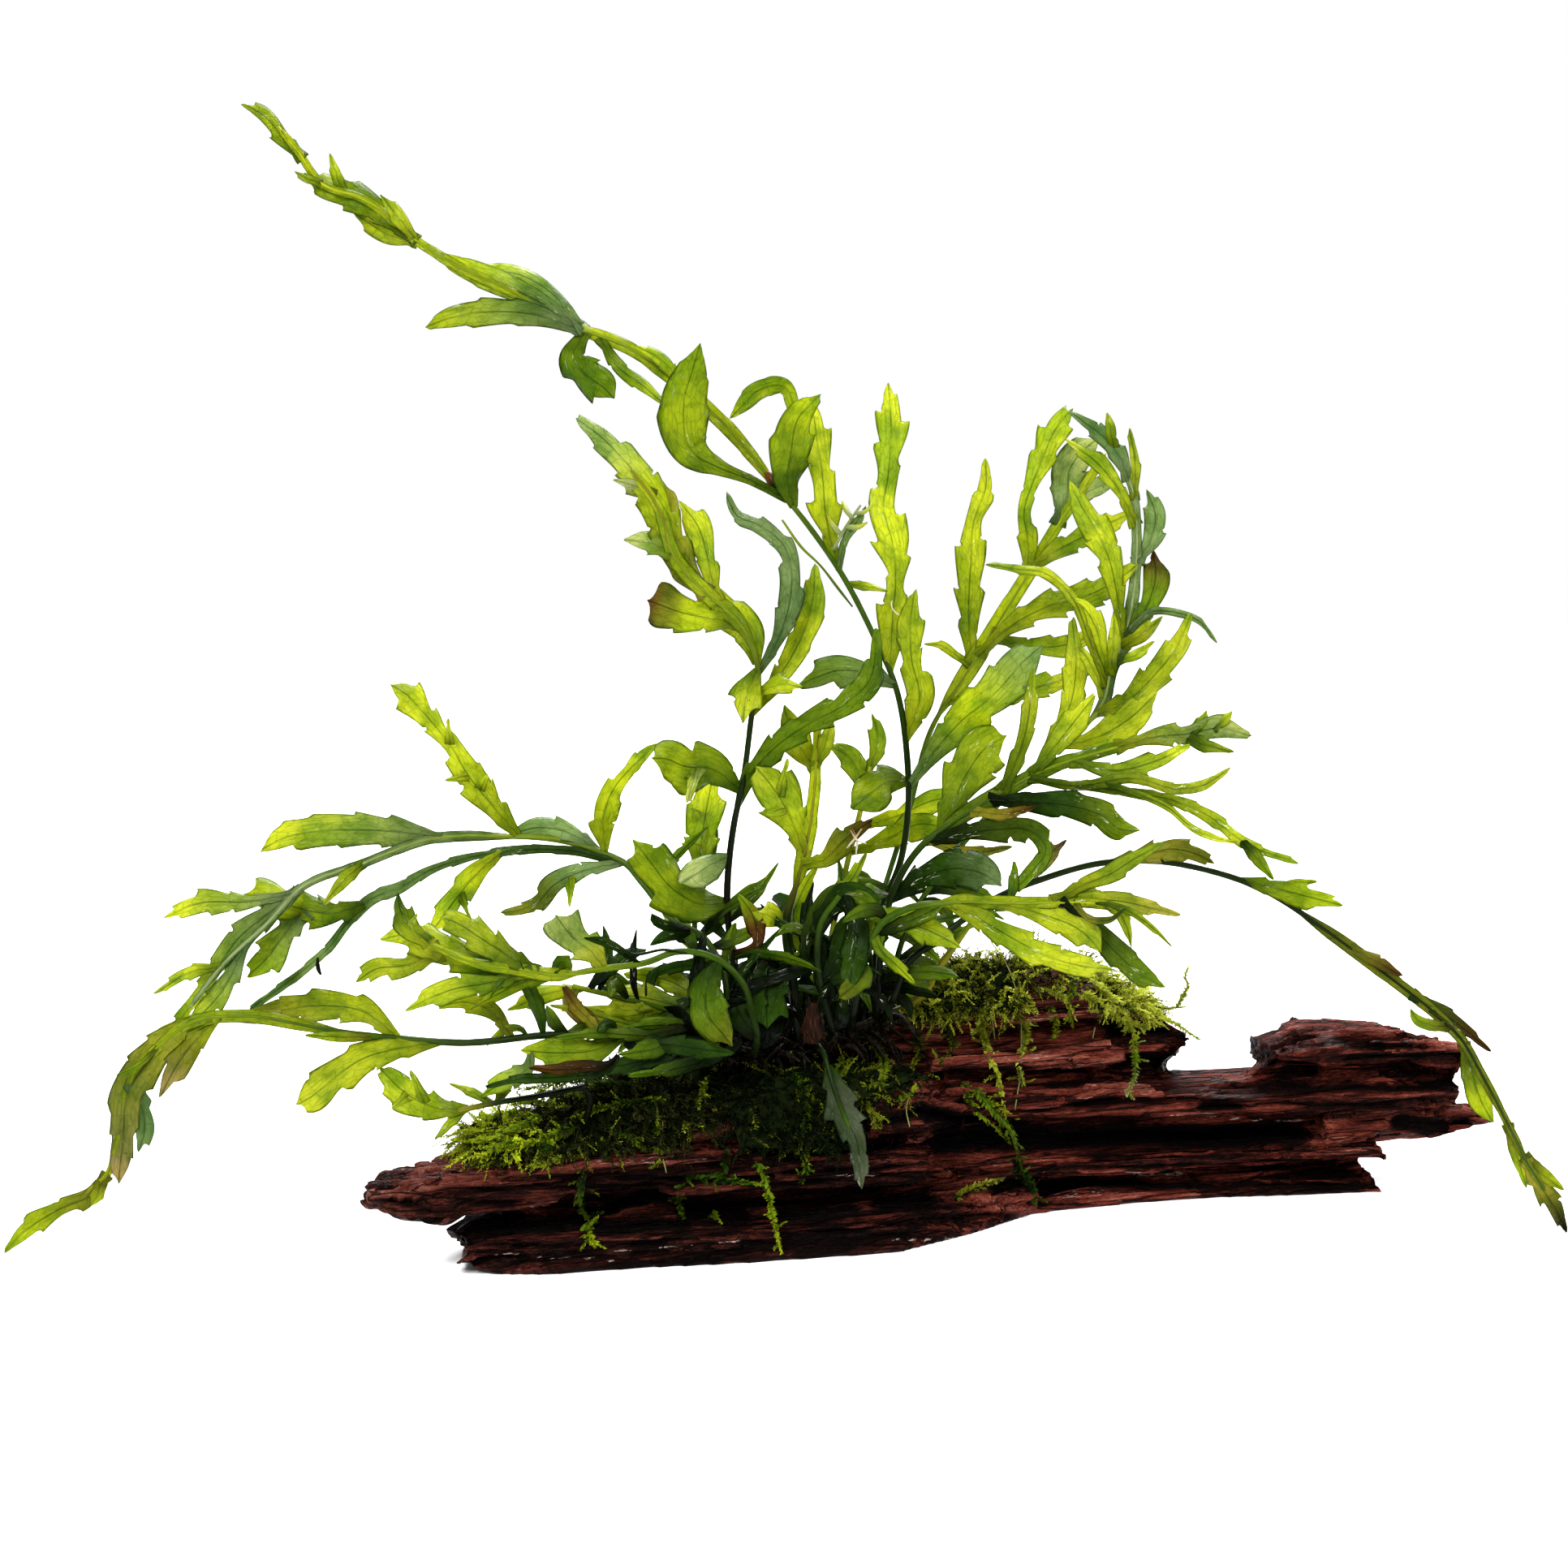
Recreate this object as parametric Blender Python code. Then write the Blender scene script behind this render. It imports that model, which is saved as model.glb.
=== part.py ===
"""African water fern (Bolbitis heudelotii) growing on a log of driftwood, at real size.

The log lies along X with its flat underside on Z = 0. Fronds, moss strands and the places on them are
given as seen in the front view: u to the right, v up and t towards the viewer, all in millimetres.
"""
import math

import bmesh
import bpy
import numpy as np
from mathutils import Vector, noise
from mathutils.bvhtree import BVHTree

MM = 0.001

# The front view: where it looks, from how far, turned about Z and raised
VIEW_TARGET = Vector((0.0, 0.0, 81.0))
VIEW_DISTANCE = 600.0
VIEW_TURN = math.radians(-15.0)
VIEW_RISE = math.radians(12.0)
TOWARDS = Vector((
    math.sin(VIEW_TURN) * math.cos(VIEW_RISE),
    -math.cos(VIEW_TURN) * math.cos(VIEW_RISE),
    math.sin(VIEW_RISE),
))
ACROSS = Vector((math.cos(VIEW_TURN), math.sin(VIEW_TURN), 0.0))
UPWARDS = Vector((
    -math.sin(VIEW_TURN) * math.sin(VIEW_RISE),
    math.cos(VIEW_TURN) * math.sin(VIEW_RISE),
    math.cos(VIEW_RISE),
))

# Driving dimensions, in millimetres
GAP = 0.35
LEAF_THICKNESS = 0.7
STEM_STEP = 14.0
LEAF_STEP = 10.0
STEM_SIDES = 4
LOWEST_TIP = 1.2
WOOD_STEP = 15.0
WOOD_ROUGHNESS = 0.7
WOOD_END_SPLINTERS = 0.9
RHIZOME_WIDTH = 3.6
RHIZOME_LEFT = -15.0
RHIZOME_RIGHT = 18.0
RHIZOME_BACK = -2.0
MOSS_CELL = 5.2
MOSS_EDGE = 1.0
MOSS_ROUNDING = (0.10, 0.16)
MOSS_LUMPS = (0.75, 0.5)
MOSS_LUMP_BEATS = (0.12, 0.17)
MOSS_SLOPE = 4
STRAND_STEP = 3.0
STRAND_REACH = 0.8
STEM_BASE_SHARE = 0.25
LEAF_SWING_POWER = 1.2
LEAF_BOW = 0.05
LINE_STEP = 0.8
PROBES = 5
PROBE_HEIGHT = 100.0
FLOOR_BLOCK = (380.0, 100.0, 20.0)

# A plank's eight corners: how far from front to back, then inwards in millimetres, and how far up
PLANK_CORNERS = (
    (0.0, 1.2, 0.18), (0.0, 0.0, 0.5), (0.0, 0.8, 0.85), (0.3, 0.0, 1.0),
    (1.0, -1.5, 0.88), (1.0, 0.0, 0.5), (1.0, -1.2, 0.15), (0.5, 0.0, 0.0),
)

# How the rough surface's noise is read: its beat along the log, then its steps for a plank, a corner and
# a thickness, how far away the upward noise is read, and the finer beat of the splinters
GRAIN_BEATS = (0.13, 7.3, 3.7, 0.4)
GRAIN_RISE_AWAY = 31.7
SPLINTER_BEAT = 2.3

# How far a stem or a leaf may swing towards or away from the viewer to stay clear of a neighbour
STEM_SHIFTS = (0, 1.5, -1.5, 3, -3, 4.5, -4.5, 6, -6, 8, -8)
LEAF_TURNS = (0, 2.5, -2.5, 5, -5, 8, -8, 11, -11, 15, -15, 20, -20)

# The log's layers from end to end: x, front y, back y, low z, high z
LAYERS = {
    "core": [
        (-52, -5, 9, -3, 15), (-35, -7, 14, -3, 24), (-15, -8, 18, -3, 30.5), (5, -8, 19, -3, 31.5),
        (25, -5, 20, -3, 33), (45, -3, 20, -3, 33), (70, -3, 18, -3, 22.5), (90, -3, 16, -3, 20.5),
        (112, -3, 12, 2, 17),
    ],
    "upper left": [
        (-75.8, -9.5, -1.5, 11.8, 16.6), (-72, -11.2, 2.5, 9.6, 18), (-67, -12, 6, 8.8, 18.8),
        (-58, -12.5, 9.5, 8.8, 19.8), (-45, -13, 12, 9.2, 21.8), (-25, -14, 12, 9.2, 21),
        (-5, -15, 10, 9, 18.8), (12, -16, 8, 9, 16.8), (23, -15.5, 6, 9.4, 15.6),
    ],
    "lower left": [
        (-61.5, -12.5, 2, 1.4, 7.2), (-57, -14, 8, -3, 7.8), (-40, -15.5, 12, -3, 7.8),
        (-18, -18, 13, -3, 7.6), (2, -20, 13, -3, 7.4), (18, -20, 12, -3, 7.8), (28, -16, 10, -3, 8.2),
        (38, -10, 8, -3, 8.4), (46, -7, 8, -3, 7.6),
    ],
    "lower right": [
        (30, -8, 8, 5.4, 10.5), (45, -8.5, 12, 5.4, 10), (62, -9, 14, 5.6, 9.8), (80, -8.5, 15, 5.4, 9.8),
        (95, -10.5, 14, 5, 9.8), (106, -12.5, 12, 4.8, 9.6), (112.5, -12, 9, 4.6, 8.6),
    ],
    "foot right": [
        (34, -8, 8, -3, 4), (50, -6.5, 12, -3, 4.2), (75, -6, 15, -3, 4.2), (95, -9.5, 14, -3, 4.2),
        (107, -12, 12, -3, 4.2), (111, -11.5, 10, -3, 3.8),
    ],
    "middle right": [
        (28, -11, 8, 15.6, 26.5), (45, -9, 12, 15.8, 24), (62, -9.5, 14, 15.8, 23),
        (80, -9.5, 14, 14.6, 21.6), (100, -10, 13, 12.8, 21), (118, -10, 11, 12.2, 20.6),
        (128, -8.5, 7, 12.6, 18.6),
    ],
    "right chunk": [
        (87.5, -6, 9, 22.2, 28), (91, -8, 11, 21.8, 30), (105, -9, 12, 21.4, 29.8),
        (115, -9, 12, 21, 29.2), (124, -8.5, 10, 19.6, 27.4), (129.5, -7.5, 7, 18.6, 25),
    ],
    "right chunk root": [(94, -4, 9, 16, 26), (110, -5, 9, 15, 26), (126, -4, 6, 14.5, 23)],
    "tail": [
        (102, -8, 9, 7, 15), (115, -8, 9, 6.8, 14.6), (128, -6.5, 6, 7, 12.6), (135, -5, 4, 7.4, 10.8),
        (138.5, -4, 2, 7.8, 10.2),
    ],
    "mound": [
        (13, -1, 17, 22, 35), (25, -1, 21, 22, 38.6), (40, 0, 22, 22, 40), (55, 0, 21, 22, 38.6),
        (68, -1, 18, 24, 34.8), (73.5, -2, 14, 26, 33),
    ],
    "mound ledge": [
        (26, -7, 6, 26.4, 30.6), (45, -7, 6, 26.6, 31.6), (60, -6.5, 6, 26.8, 31.4), (70, -5, 5, 26.6, 31),
    ],
    "broken face": [
        (12, -13, 0, 17.6, 26), (19, -14.5, 0, 16.4, 28.6), (26, -15, 0, 14, 27), (30, -13, 0, 17, 23),
    ],
    "back foot": [
        (-42, 8, 16, -3, 9), (-10, 9, 21, -3, 12), (30, 10, 24, -3, 13), (70, 10, 21, -3, 12),
        (98, 8, 16, -3, 9),
    ],
    "back ledge": [(-30, 6, 17, 13, 21), (0, 8, 22, 15, 25), (35, 9, 24.5, 16, 27), (66, 9, 21.5, 15, 23)],
}

# Moss mats on the log's top: left x, right x, front y, back y, thickness
MOSS_MATS = {
    "moss_left": (-57, -15, -11.5, 9, 4.5),
    "moss_front": (-13, 21, -13, -5.2, 3.2),
    "moss_back": (-14, 16, 4.8, 16.5, 2.6),
    "moss_right": (20, 71, -1, 19, 5.0),
}

# Moss strands that hang over the log's front face, as u, v and width; they lie on the wood
MOSS_STRANDS = {
    "moss_strand_front": [(-5, -66, 1.8), (-3, -70, 2), (-2.2, -75, 2), (-1.2, -79, 1.8), (-0.4, -82, 1.2)],
    "moss_strand_middle": [(33, -53, 2), (37, -57.5, 2.4), (40, -61, 2.6), (41.2, -66, 2.6),
                           (42.5, -70, 2)],
    "moss_strand_right": [(61, -44, 1.8), (61.6, -48, 2), (61.4, -51.5, 2), (60, -54.4, 2.4)],
}

# Fronds. A route runs from the base to the tip: u, v, t and width of the stem. A leaf is how far its tip
# comes forward of its base, how much its face leans, and its middle line: u, v and width.
FRONDS = {
    "frond_tall": (
        [
            (14, -40.2, -9, 2), (15.6, -33.4, -9, 1.9), (17.4, -21.1, -8, 1.8), (20.1, -14.4, -7, 1.6),
            (21.7, -4, -6, 1.5), (21.5, 4.7, -5, 1.5), (19.5, 17, -5, 1.4), (15.4, 26.5, -6, 1.3),
            (10.2, 36.5, -7, 1.3), (4, 45.5, -8, 1.3), (-1.9, 52.7, -9, 1.3), (-8.6, 60.9, -10, 1.5),
            (-17.7, 69.5, -11, 1.5), (-26.7, 76, -12, 1.5), (-39.9, 81.3, -13, 1.6),
            (-46.2, 85.4, -13, 1.6),
            (-57.5, 90.8, -13, 1.6), (-63.4, 94.4, -13, 1.7), (-74, 102.5, -12, 1.6),
            (-80.6, 104.8, -11, 1.5),
            (-85.1, 110.7, -10, 1.2), (-88.5, 115, -9, 1),
        ],
        [
            (0, 0.3, [(-84.5, 109.5, 1.2), (-88, 113.5, 3), (-91, 117, 2.4), (-94.3, 118.9, 0)]),
            (3, 0, [(-80.6, 104.8, 1), (-83.5, 106, 1.3), (-85.7, 107.2, 0)]),
            (1, 0.3, [(-64, 95, 1.5), (-70, 99.5, 3.5), (-76, 103, 4.5), (-81, 105, 3), (-84, 107, 0)]),
            (2, 0, [(-77, 104, 1.6), (-78.6, 107.5, 1.4), (-79.5, 110.4, 0)]),
            (-3, -0.4, [(-64.3, 94.8, 1), (-68.8, 95.9, 2.7), (-72.5, 98, 2), (-75.4, 100, 0)]),
            (4, 0.4, [(-64.3, 95.3, 1), (-67, 98.5, 2.2), (-69, 101, 1.8), (-70.4, 103, 0)]),
            (6, 0.4, [(-36, 79.5, 1.5), (-44, 82.2, 3.5), (-53, 82.5, 4), (-58.5, 81.5, 3),
                      (-62.8, 79.9, 0)]),
            (-1, -0.3, [(-36, 80, 1.6), (-43, 84.5, 3), (-50, 87.8, 4), (-57.5, 91, 2.5),
                        (-61, 92.8, 0.7)]),
            (-5, 0.6, [(-34.4, 79.9, 1), (-39.9, 85.3, 1.8), (-45, 88.7, 2.3), (-50, 90, 2),
                       (-54.8, 90.6, 0)]),
            (7, 0.5, [(-35.3, 78.2, 1.5), (-36.8, 74.5, 4), (-34.5, 71.5, 5), (-31.5, 69.3, 4),
                      (-29.8, 67.5, 0)]),
            (9, -0.3, [(-33, 77, 1), (-29, 73, 2), (-25, 70, 2), (-21, 66.5, 0)]),
            (3, 0.2, [(-16.8, 70, 0.8), (-21, 73.8, 2.3), (-26, 76.8, 0)]),
            (18, 0.2, [(0.5, 50, 1.2), (-5.9, 53.2, 1.6), (-11.4, 55.4, 2.6), (-16, 58, 5.5),
                       (-17.6, 66, 7.7),
                       (-16, 72.5, 4.5), (-14.6, 77.2, 0)]),
            (7, -0.5, [(1.2, 49, 1), (2.2, 58, 1.3), (1.8, 65.5, 2), (0, 69.6, 2.4), (-4.6, 68.8, 3),
                       (-6.8, 66.8, 2.5), (-9.5, 63.9, 0)]),
            (14, 0.3, [(1.8, 48.8, 1.2), (0.6, 53, 4), (1.2, 58, 6.3), (2.5, 64, 4.5), (6.5, 68.3, 0)]),
            (-4, 0.4, [(9.5, 37, 1), (8.2, 42.5, 2), (7.2, 47.8, 4.5), (6.8, 53.2, 3.2), (5.8, 60, 4),
                       (5, 65, 2.4), (4.3, 67.5, 0)]),
            (3, 0.2, [(9.8, 37, 0.8), (10.8, 43, 1.2), (12.8, 46, 1.4), (14.4, 48.7, 0)]),
            (3, 0, [(11, 34.8, 0.8), (14.5, 34.6, 1.5), (18.1, 33.7, 0)]),
            (9, -0.4, [(19.3, 17.5, 1), (14, 19.5, 4), (9.5, 19.9, 4.5), (5.5, 18.6, 3), (2.7, 17.4, 0)]),
            (7, 0.5, [(21.8, 0, 1), (18.5, 0.5, 4.5), (15, -1.8, 5.9), (12, -4.2, 0)]),
            (-8, 0.4, [(18.7, 19.5, 1), (19, 29.2, 4.5), (19.5, 34.6, 2.3), (19, 42, 5.4), (17.4, 48.7, 4),
                       (18.1, 53.2, 2.7), (18.7, 61.4, 4.7), (18.3, 70.2, 0)]),
            (6, -0.4, [(21.3, 7, 1), (23.7, 15.3, 4), (22.3, 22.1, 3), (22.1, 28, 3.6), (22.8, 33.7, 0)]),
            (12, 0.5, [(21.8, -1, 1), (26.5, 6, 3), (31, 11, 5), (37, 16, 5.9), (42, 21.5, 4.5),
                       (45.2, 24.3, 0)]),
        ],
    ),
    "frond_left_upright": (
        [
            (-7.9, -44, -4, 2), (-8.8, -33.3, -2, 1.9), (-10, -19.8, 0, 1.7), (-8.8, -7.1, 2, 1.5),
            (-7.2, 0.6, 4, 1.4), (-5.7, 12, 7, 1.3), (-4.6, 20.1, 10, 1.3), (-7.3, 27.4, 14, 1.4),
            (-13.6, 33.3, 18, 1.6), (-19.1, 39.6, 22, 1.6), (-21.8, 47.8, 26, 1.5), (-26.7, 55, 30, 1.4),
        ],
        [
            (8, 0.3, [(-13.5, 33.2, 1.6), (-17.5, 37.5, 4), (-20.3, 44, 4.8), (-22.8, 50, 4.6),
                      (-27, 55.5, 4),
                      (-31.5, 60.3, 3.2), (-36.4, 64, 0)]),
            (3, 0, [(-22.6, 50, 1.2), (-26.5, 52.3, 2.7), (-29.9, 53.2, 0)]),
            (3, 0.3, [(-19.6, 41, 1.2), (-24, 42.3, 3.2), (-27.9, 42.7, 0)]),
            (-4, -0.3, [(-18, 38.5, 1), (-20, 44.5, 2.7), (-20.3, 49.5, 2.4), (-22, 53.7, 0)]),
            (-6, 0.4, [(-12.2, 32, 1.2), (-13.4, 39.6, 3), (-15, 45, 3.6), (-18.4, 49.6, 0)]),
            (5, -0.4, [(-8.5, 28, 1.5), (-13, 29, 4), (-18.5, 30.2, 5.4), (-22, 31.5, 5), (-24, 32.2, 0)]),
            (2, 0.2, [(-4.8, 21, 1.4), (-6.2, 26.5, 4.2), (-11, 31, 3.8), (-15, 35, 1)]),
            (4, 0.4, [(-4.7, 20, 1.2), (-6.4, 16, 4.4), (-7.2, 10.5, 0)]),
            (-7, 0.4, [(-4.6, 19, 0.9), (-1, 25.5, 2.2), (0.9, 31.4, 3.5), (1.3, 36.5, 3), (0, 41.6, 2.6),
                       (-4.5, 45.4, 2.2), (-8.4, 47.2, 1.6), (-10, 50.3, 0)]),
            (-9, -0.5, [(-5.7, 12, 1), (-1, 18.5, 2.6), (3, 25.5, 3.2), (5, 32, 3.4), (5.4, 38.6, 0)]),
            (12, 0.5, [(-8, -4, 1), (-6, 1.5, 2.6), (-2.2, 5.8, 3.4), (4, 10.4, 3.6), (10.2, 13.7, 3.6),
                       (14.6, 17.6, 3.4), (16.4, 27, 0)]),
            (8, -0.3, [(-5, 16, 1), (-0.8, 17.4, 2.7), (3.4, 17, 0)]),
            (18, 0.3, [(-7.8, -1, 1.2), (-12.5, 2.6, 5), (-17.6, 3.2, 7), (-20.6, 4.4, 5),
                       (-23.2, 4.6, 0)]),
            (15, 0.3, [(-15.5, 2.5, 3), (-17, -3.4, 0)]),
            (22, 0.4, [(-10, -21, 1.4), (-14.5, -21, 5), (-19.5, -18.3, 6.8), (-23.4, -13.6, 5.4),
                       (-26.6, -9.6, 0)]),
            (10, -0.4, [(-9.7, -13, 1.2), (-13, -14.2, 4.2), (-15.5, -15.8, 4), (-18, -17.5, 0)]),
            (5, 0.3, [(-9.4, -29.5, 0.8), (-5, -28.5, 2), (-5.5, -23, 2.6), (-8, -19.3, 0)]),
        ],
    ),
    "frond_left_long": (
        [
            (-9.8, -42.6, 3, 2), (-11, -32, 2, 1.9), (-14.5, -26.5, 0, 1.8), (-18.8, -24.3, -2, 1.7),
            (-24.7, -17.5, -4, 1.6), (-27.7, -14, -5, 1.8), (-32.1, -11.9, -6, 1.6), (-40.2, -9.7, -7, 1.6),
            (-48.4, -9.2, -8, 1.5), (-62, -9.7, -8, 1.5), (-73.9, -14, -7, 1.5), (-84.8, -18.4, -6, 1.5),
            (-89.7, -23.7, -4, 1.5), (-98.5, -32, -1, 1.4), (-104, -39.2, 2, 1),
        ],
        [
            (6, 0.4, [(-46.7, -9.2, 1), (-51, -3.8, 4), (-55.3, 1.6, 4.1), (-58.6, 7, 2.6),
                      (-62.5, 11.8, 3.4),
                      (-67, 16.4, 3.2), (-68.8, 17.4, 0)]),
            (3, 0.2, [(-53.5, -1, 1.6), (-51.8, 1.8, 0)]),
            (3, 0.2, [(-55.3, 1.6, 1.6), (-59.5, 0.6, 0)]),
            (3, 0.2, [(-58.4, 7, 1.4), (-58.8, 11.4, 0)]),
            (-6, -0.4, [(-60, -9.4, 1), (-67, -8.4, 3.8), (-76, -8, 4.4), (-84, -8.6, 4), (-88, -9.6, 3.4),
                        (-91.3, -11.4, 0)]),
            (5, 0.3, [(-31.2, -12, 0.8), (-31.6, -5.5, 4), (-29.6, -0.5, 2.4), (-27.2, 2.4, 1.6),
                      (-22.4, 7.1, 0)]),
            (-3, 0.4, [(-32, -11.9, 1), (-38, -8.4, 3), (-43, -7.6, 3), (-47.5, -8.6, 0)]),
            (-5, 0.3, [(-85.8, -19, 1), (-94, -20.6, 2.4), (-102, -20.8, 3.4), (-108.6, -23.4, 0)]),
            (3, 0.4, [(-84.5, -18.3, 1.4), (-90, -22.5, 3.4), (-95.5, -27, 3.4), (-99, -32, 2.6),
                      (-103, -37.5, 2), (-107.4, -43.6, 0)]),
            (-4, -0.3, [(-98.5, -32, 1), (-103.5, -32.8, 2.2), (-110.1, -36.7, 0)]),
            (5, 0.4, [(-94, -28, 1.2), (-98.5, -36.5, 3.2), (-102.5, -41, 2), (-104.5, -43.5, 0)]),
            (5, -0.3, [(-73.5, -13.8, 1), (-77, -16.8, 2.2), (-80.5, -21, 0)]),
            (7, 0.4, [(-28.4, -14, 1), (-34.8, -15.1, 2.4), (-40.2, -17.6, 3), (-43.5, -21, 2.2),
                      (-49.5, -22.6, 0)]),
            (4, 0.2, [(-37.5, -16.4, 2), (-37.4, -21.4, 0)]),
            (-14, 0.3, [(-28.5, -13.5, 1.3), (-35.9, -11.9, 1.4), (-42.9, -11.4, 1.4), (-49.5, -11.9, 1.4),
                        (-56.5, -13.2, 1.4), (-62, -15.1, 1.5), (-67.4, -18.2, 1.8), (-72, -20, 2),
                        (-76.4, -24.3, 1.5), (-79.7, -28.7, 1.3), (-84.7, -33.1, 1.3), (-89.1, -36.4, 1.2),
                        (-93.5, -39.4, 0)]),
            (3, 0.3, [(-73.5, -21, 1.2), (-79, -22.6, 4), (-86, -21.4, 5), (-91.5, -19.6, 4.6),
                      (-94.6, -19.2, 0)]),
            (4, 0.4, [(-84, -22, 1.5), (-87.5, -26.5, 4.2), (-90.5, -30.5, 4.4), (-94, -33.8, 0)]),
            (6, -0.4, [(-49.5, -11.9, 1), (-53.5, -15.4, 3), (-57, -19.5, 3.3), (-59.8, -23.3, 2.8),
                       (-62.5, -27.1, 0)]),
            (4, 0.2, [(-56.5, -19, 1.4), (-54.6, -24.4, 0)]),
        ],
    ),
    "frond_left_low": (
        [
            (-11.5, -44.4, 8, 2), (-18.5, -44.6, 9, 1.9), (-29.4, -43.9, 10, 1.9), (-40.2, -43.9, 11, 1.8),
            (-56.5, -45.3, 12, 1.8), (-66.2, -44.7, 12, 1.7), (-76.4, -43.6, 13, 1.6),
            (-83, -42.4, 14, 1.5),
            (-94.6, -40.6, 15, 1.8), (-104, -41.9, 16, 1.6), (-108.5, -45.2, 16, 1.6),
            (-113.3, -50.1, 16, 1.6),
            (-116, -61.3, 16, 1.6), (-118.5, -68.5, 16, 1.4), (-124.5, -73.4, 16, 1.3),
        ],
        [
            (1, 0.4, [(-100, -41, 1.5), (-106.5, -43.5, 3.6), (-111.5, -48.8, 5), (-115, -55, 4.6),
                      (-115.6, -62, 3.4), (-116.2, -67, 2.4), (-116.4, -70, 0)]),
            (1, 0.3, [(-118, -68.3, 1.2), (-121.5, -72, 2.6), (-127, -74.5, 2.4), (-132.5, -78, 3),
                      (-136.2, -81.5, 0)]),
            (1, 0, [(-119.5, -69.5, 1.2), (-120.4, -72.4, 1.8), (-121.4, -74, 0)]),
            (-6, 0.3, [(-98.5, -40.8, 0.9), (-104, -41, 1.1), (-109.7, -43.1, 0)]),
            (3, 0.2, [(-109.5, -46, 0.8), (-113, -49.3, 0.9), (-116.9, -51, 0)]),
            (-7, -0.3, [(-113.8, -52, 1.2), (-112.5, -56, 3), (-111.8, -60, 3), (-112.9, -64.4, 0)]),
            (6, 0.4, [(-99, -41, 1.2), (-103.5, -45.5, 3.2), (-107, -50.5, 3.2), (-109, -54.6, 0)]),
            (-5, -0.4, [(-67, -44.6, 1), (-73.6, -39.8, 4), (-81.9, -38.8, 4.4), (-88, -39.6, 3.4),
                        (-95.5, -40.8, 0)]),
            (5, 0.2, [(-71, -44, 0.8), (-79, -44.2, 1.5), (-83.8, -43.9, 0)]),
            (7, 0.5, [(-60, -45.2, 1), (-67, -46.2, 3.4), (-73.6, -48, 4.4), (-79.2, -51.9, 5),
                      (-82.5, -54.6, 4.4),
                      (-85.2, -56.2, 0)]),
            (-7, 0.4, [(-47.3, -44.3, 1), (-51.1, -39.9, 2.7), (-55.5, -38.2, 2.7), (-60.5, -38.9, 0)]),
            (6, 0.4, [(-28, -44, 1), (-33, -46.5, 3.6), (-40, -47, 4.6), (-46.2, -46.6, 0)]),
            (5, -0.3, [(-17.5, -44.6, 1), (-23, -46.4, 3), (-29, -47.4, 0)]),
        ],
    ),
    "frond_left_lobed": (
        [
            (-5, -42.4, 7, 1.8), (-7.5, -34.5, 8, 1.8), (-11.5, -30.8, 9, 1.7), (-18.8, -29.4, 10, 1.6),
            (-23.9, -31.2, 12, 1.5), (-32.1, -32.4, 14, 1.5), (-40.2, -33.4, 17, 1.5),
            (-45.7, -32.6, 19, 1.5),
            (-55.5, -30.9, 22, 1.4), (-62, -28, 24, 1.2),
        ],
        [
            (3, 0.2, [(-43, -33, 1.6), (-48, -31.9, 5.2), (-55, -30.6, 4.6), (-61, -28.6, 4.6),
                      (-65.8, -26.4, 4),
                      (-70.4, -27.2, 0)]),
            (3, 0.2, [(-62, -27.8, 2), (-66.2, -24, 3.4), (-67.3, -21.5, 2.2), (-67.4, -19.2, 0)]),
            (2, 0, [(-62.5, -27.6, 1.4), (-65, -24.4, 1.5), (-64.1, -22.5, 0)]),
            (6, 0.4, [(-43, -33, 1), (-48.4, -30, 3.4), (-53.3, -26.8, 4.3), (-57.5, -24.2, 3.4),
                      (-60.3, -23.3, 0)]),
            (5, -0.3, [(-44, -33.2, 1), (-52.2, -34.9, 3), (-57.6, -35.8, 3.3), (-62, -37.5, 2.6),
                       (-66, -39.4, 0)]),
            (-4, 0.3, [(-60, -29.6, 1.2), (-66.5, -31.8, 3.2), (-71.5, -32.4, 2.8), (-75, -34.7, 0)]),
            (9, 0.3, [(-31, -32.2, 1.2), (-33.6, -29.5, 4.2), (-37.2, -26.6, 5.4), (-39.2, -24, 4),
                      (-40, -22.8, 0)]),
            (8, 0.4, [(-11, -31, 1.2), (-13.6, -36, 5), (-13.2, -40.5, 6.2), (-10.5, -44, 3),
                      (-9, -46, 0)]),
        ],
    ),
    "frond_centre": (
        [
            (2.6, -44.2, -6, 2.4), (1.4, -34, -4, 2.4), (0.7, -22, -2, 2.2), (2, -18, -1, 1.6),
            (4.1, -9.8, 0, 1.5), (5.4, 0.1, 1, 1.4), (5.9, 10.1, 2, 1.2), (6.3, 14.2, 2, 0.7),
        ],
        [
            (4, 0.3, [(3.4, -12, 1.2), (1.4, -6.5, 4.5), (-0.8, -2.3, 6.4), (-3.2, 1, 4), (-5, 3, 0)]),
            (2, 0.2, [(0.2, -4.4, 1.8), (-3.4, -5.4, 0)]),
            (3, 0.2, [(-0.8, -2.3, 1.8), (0.6, 4.6, 0)]),
            (-3, -0.3, [(5.6, 2.4, 1), (3.4, 5.6, 3.2), (1.2, 9.6, 4), (0, 13.7, 0)]),
            (3, 0.3, [(5.6, 3, 0.9), (7.4, 7.5, 2.3), (8.4, 12.4, 0)]),
            (7, 0.4, [(3.2, -14.5, 1), (7, -13.2, 2.6), (10.5, -9.8, 3.2), (15.6, -6.2, 0)]),
            (5, 0.3, [(0.8, -24.3, 1), (-2.4, -23.2, 3.4), (-5, -22.3, 0)]),
            (8, 0.4, [(1.1, -30, 1.2), (-2.2, -34, 5), (-3, -39, 5.6), (-2.9, -43, 0)]),
        ],
    ),
    "frond_right_glossy": (
        [
            (16.4, -39, -6, 2), (16.8, -30, -3, 1.9), (18.3, -21, 2, 1.8), (23.7, -11.2, 5, 1.7),
            (30.9, -5.8, 6, 1.6), (37.7, -1.7, 7, 1.5), (45.4, 2.4, 7, 1.5), (54.9, 5.5, 7, 1.4),
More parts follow.
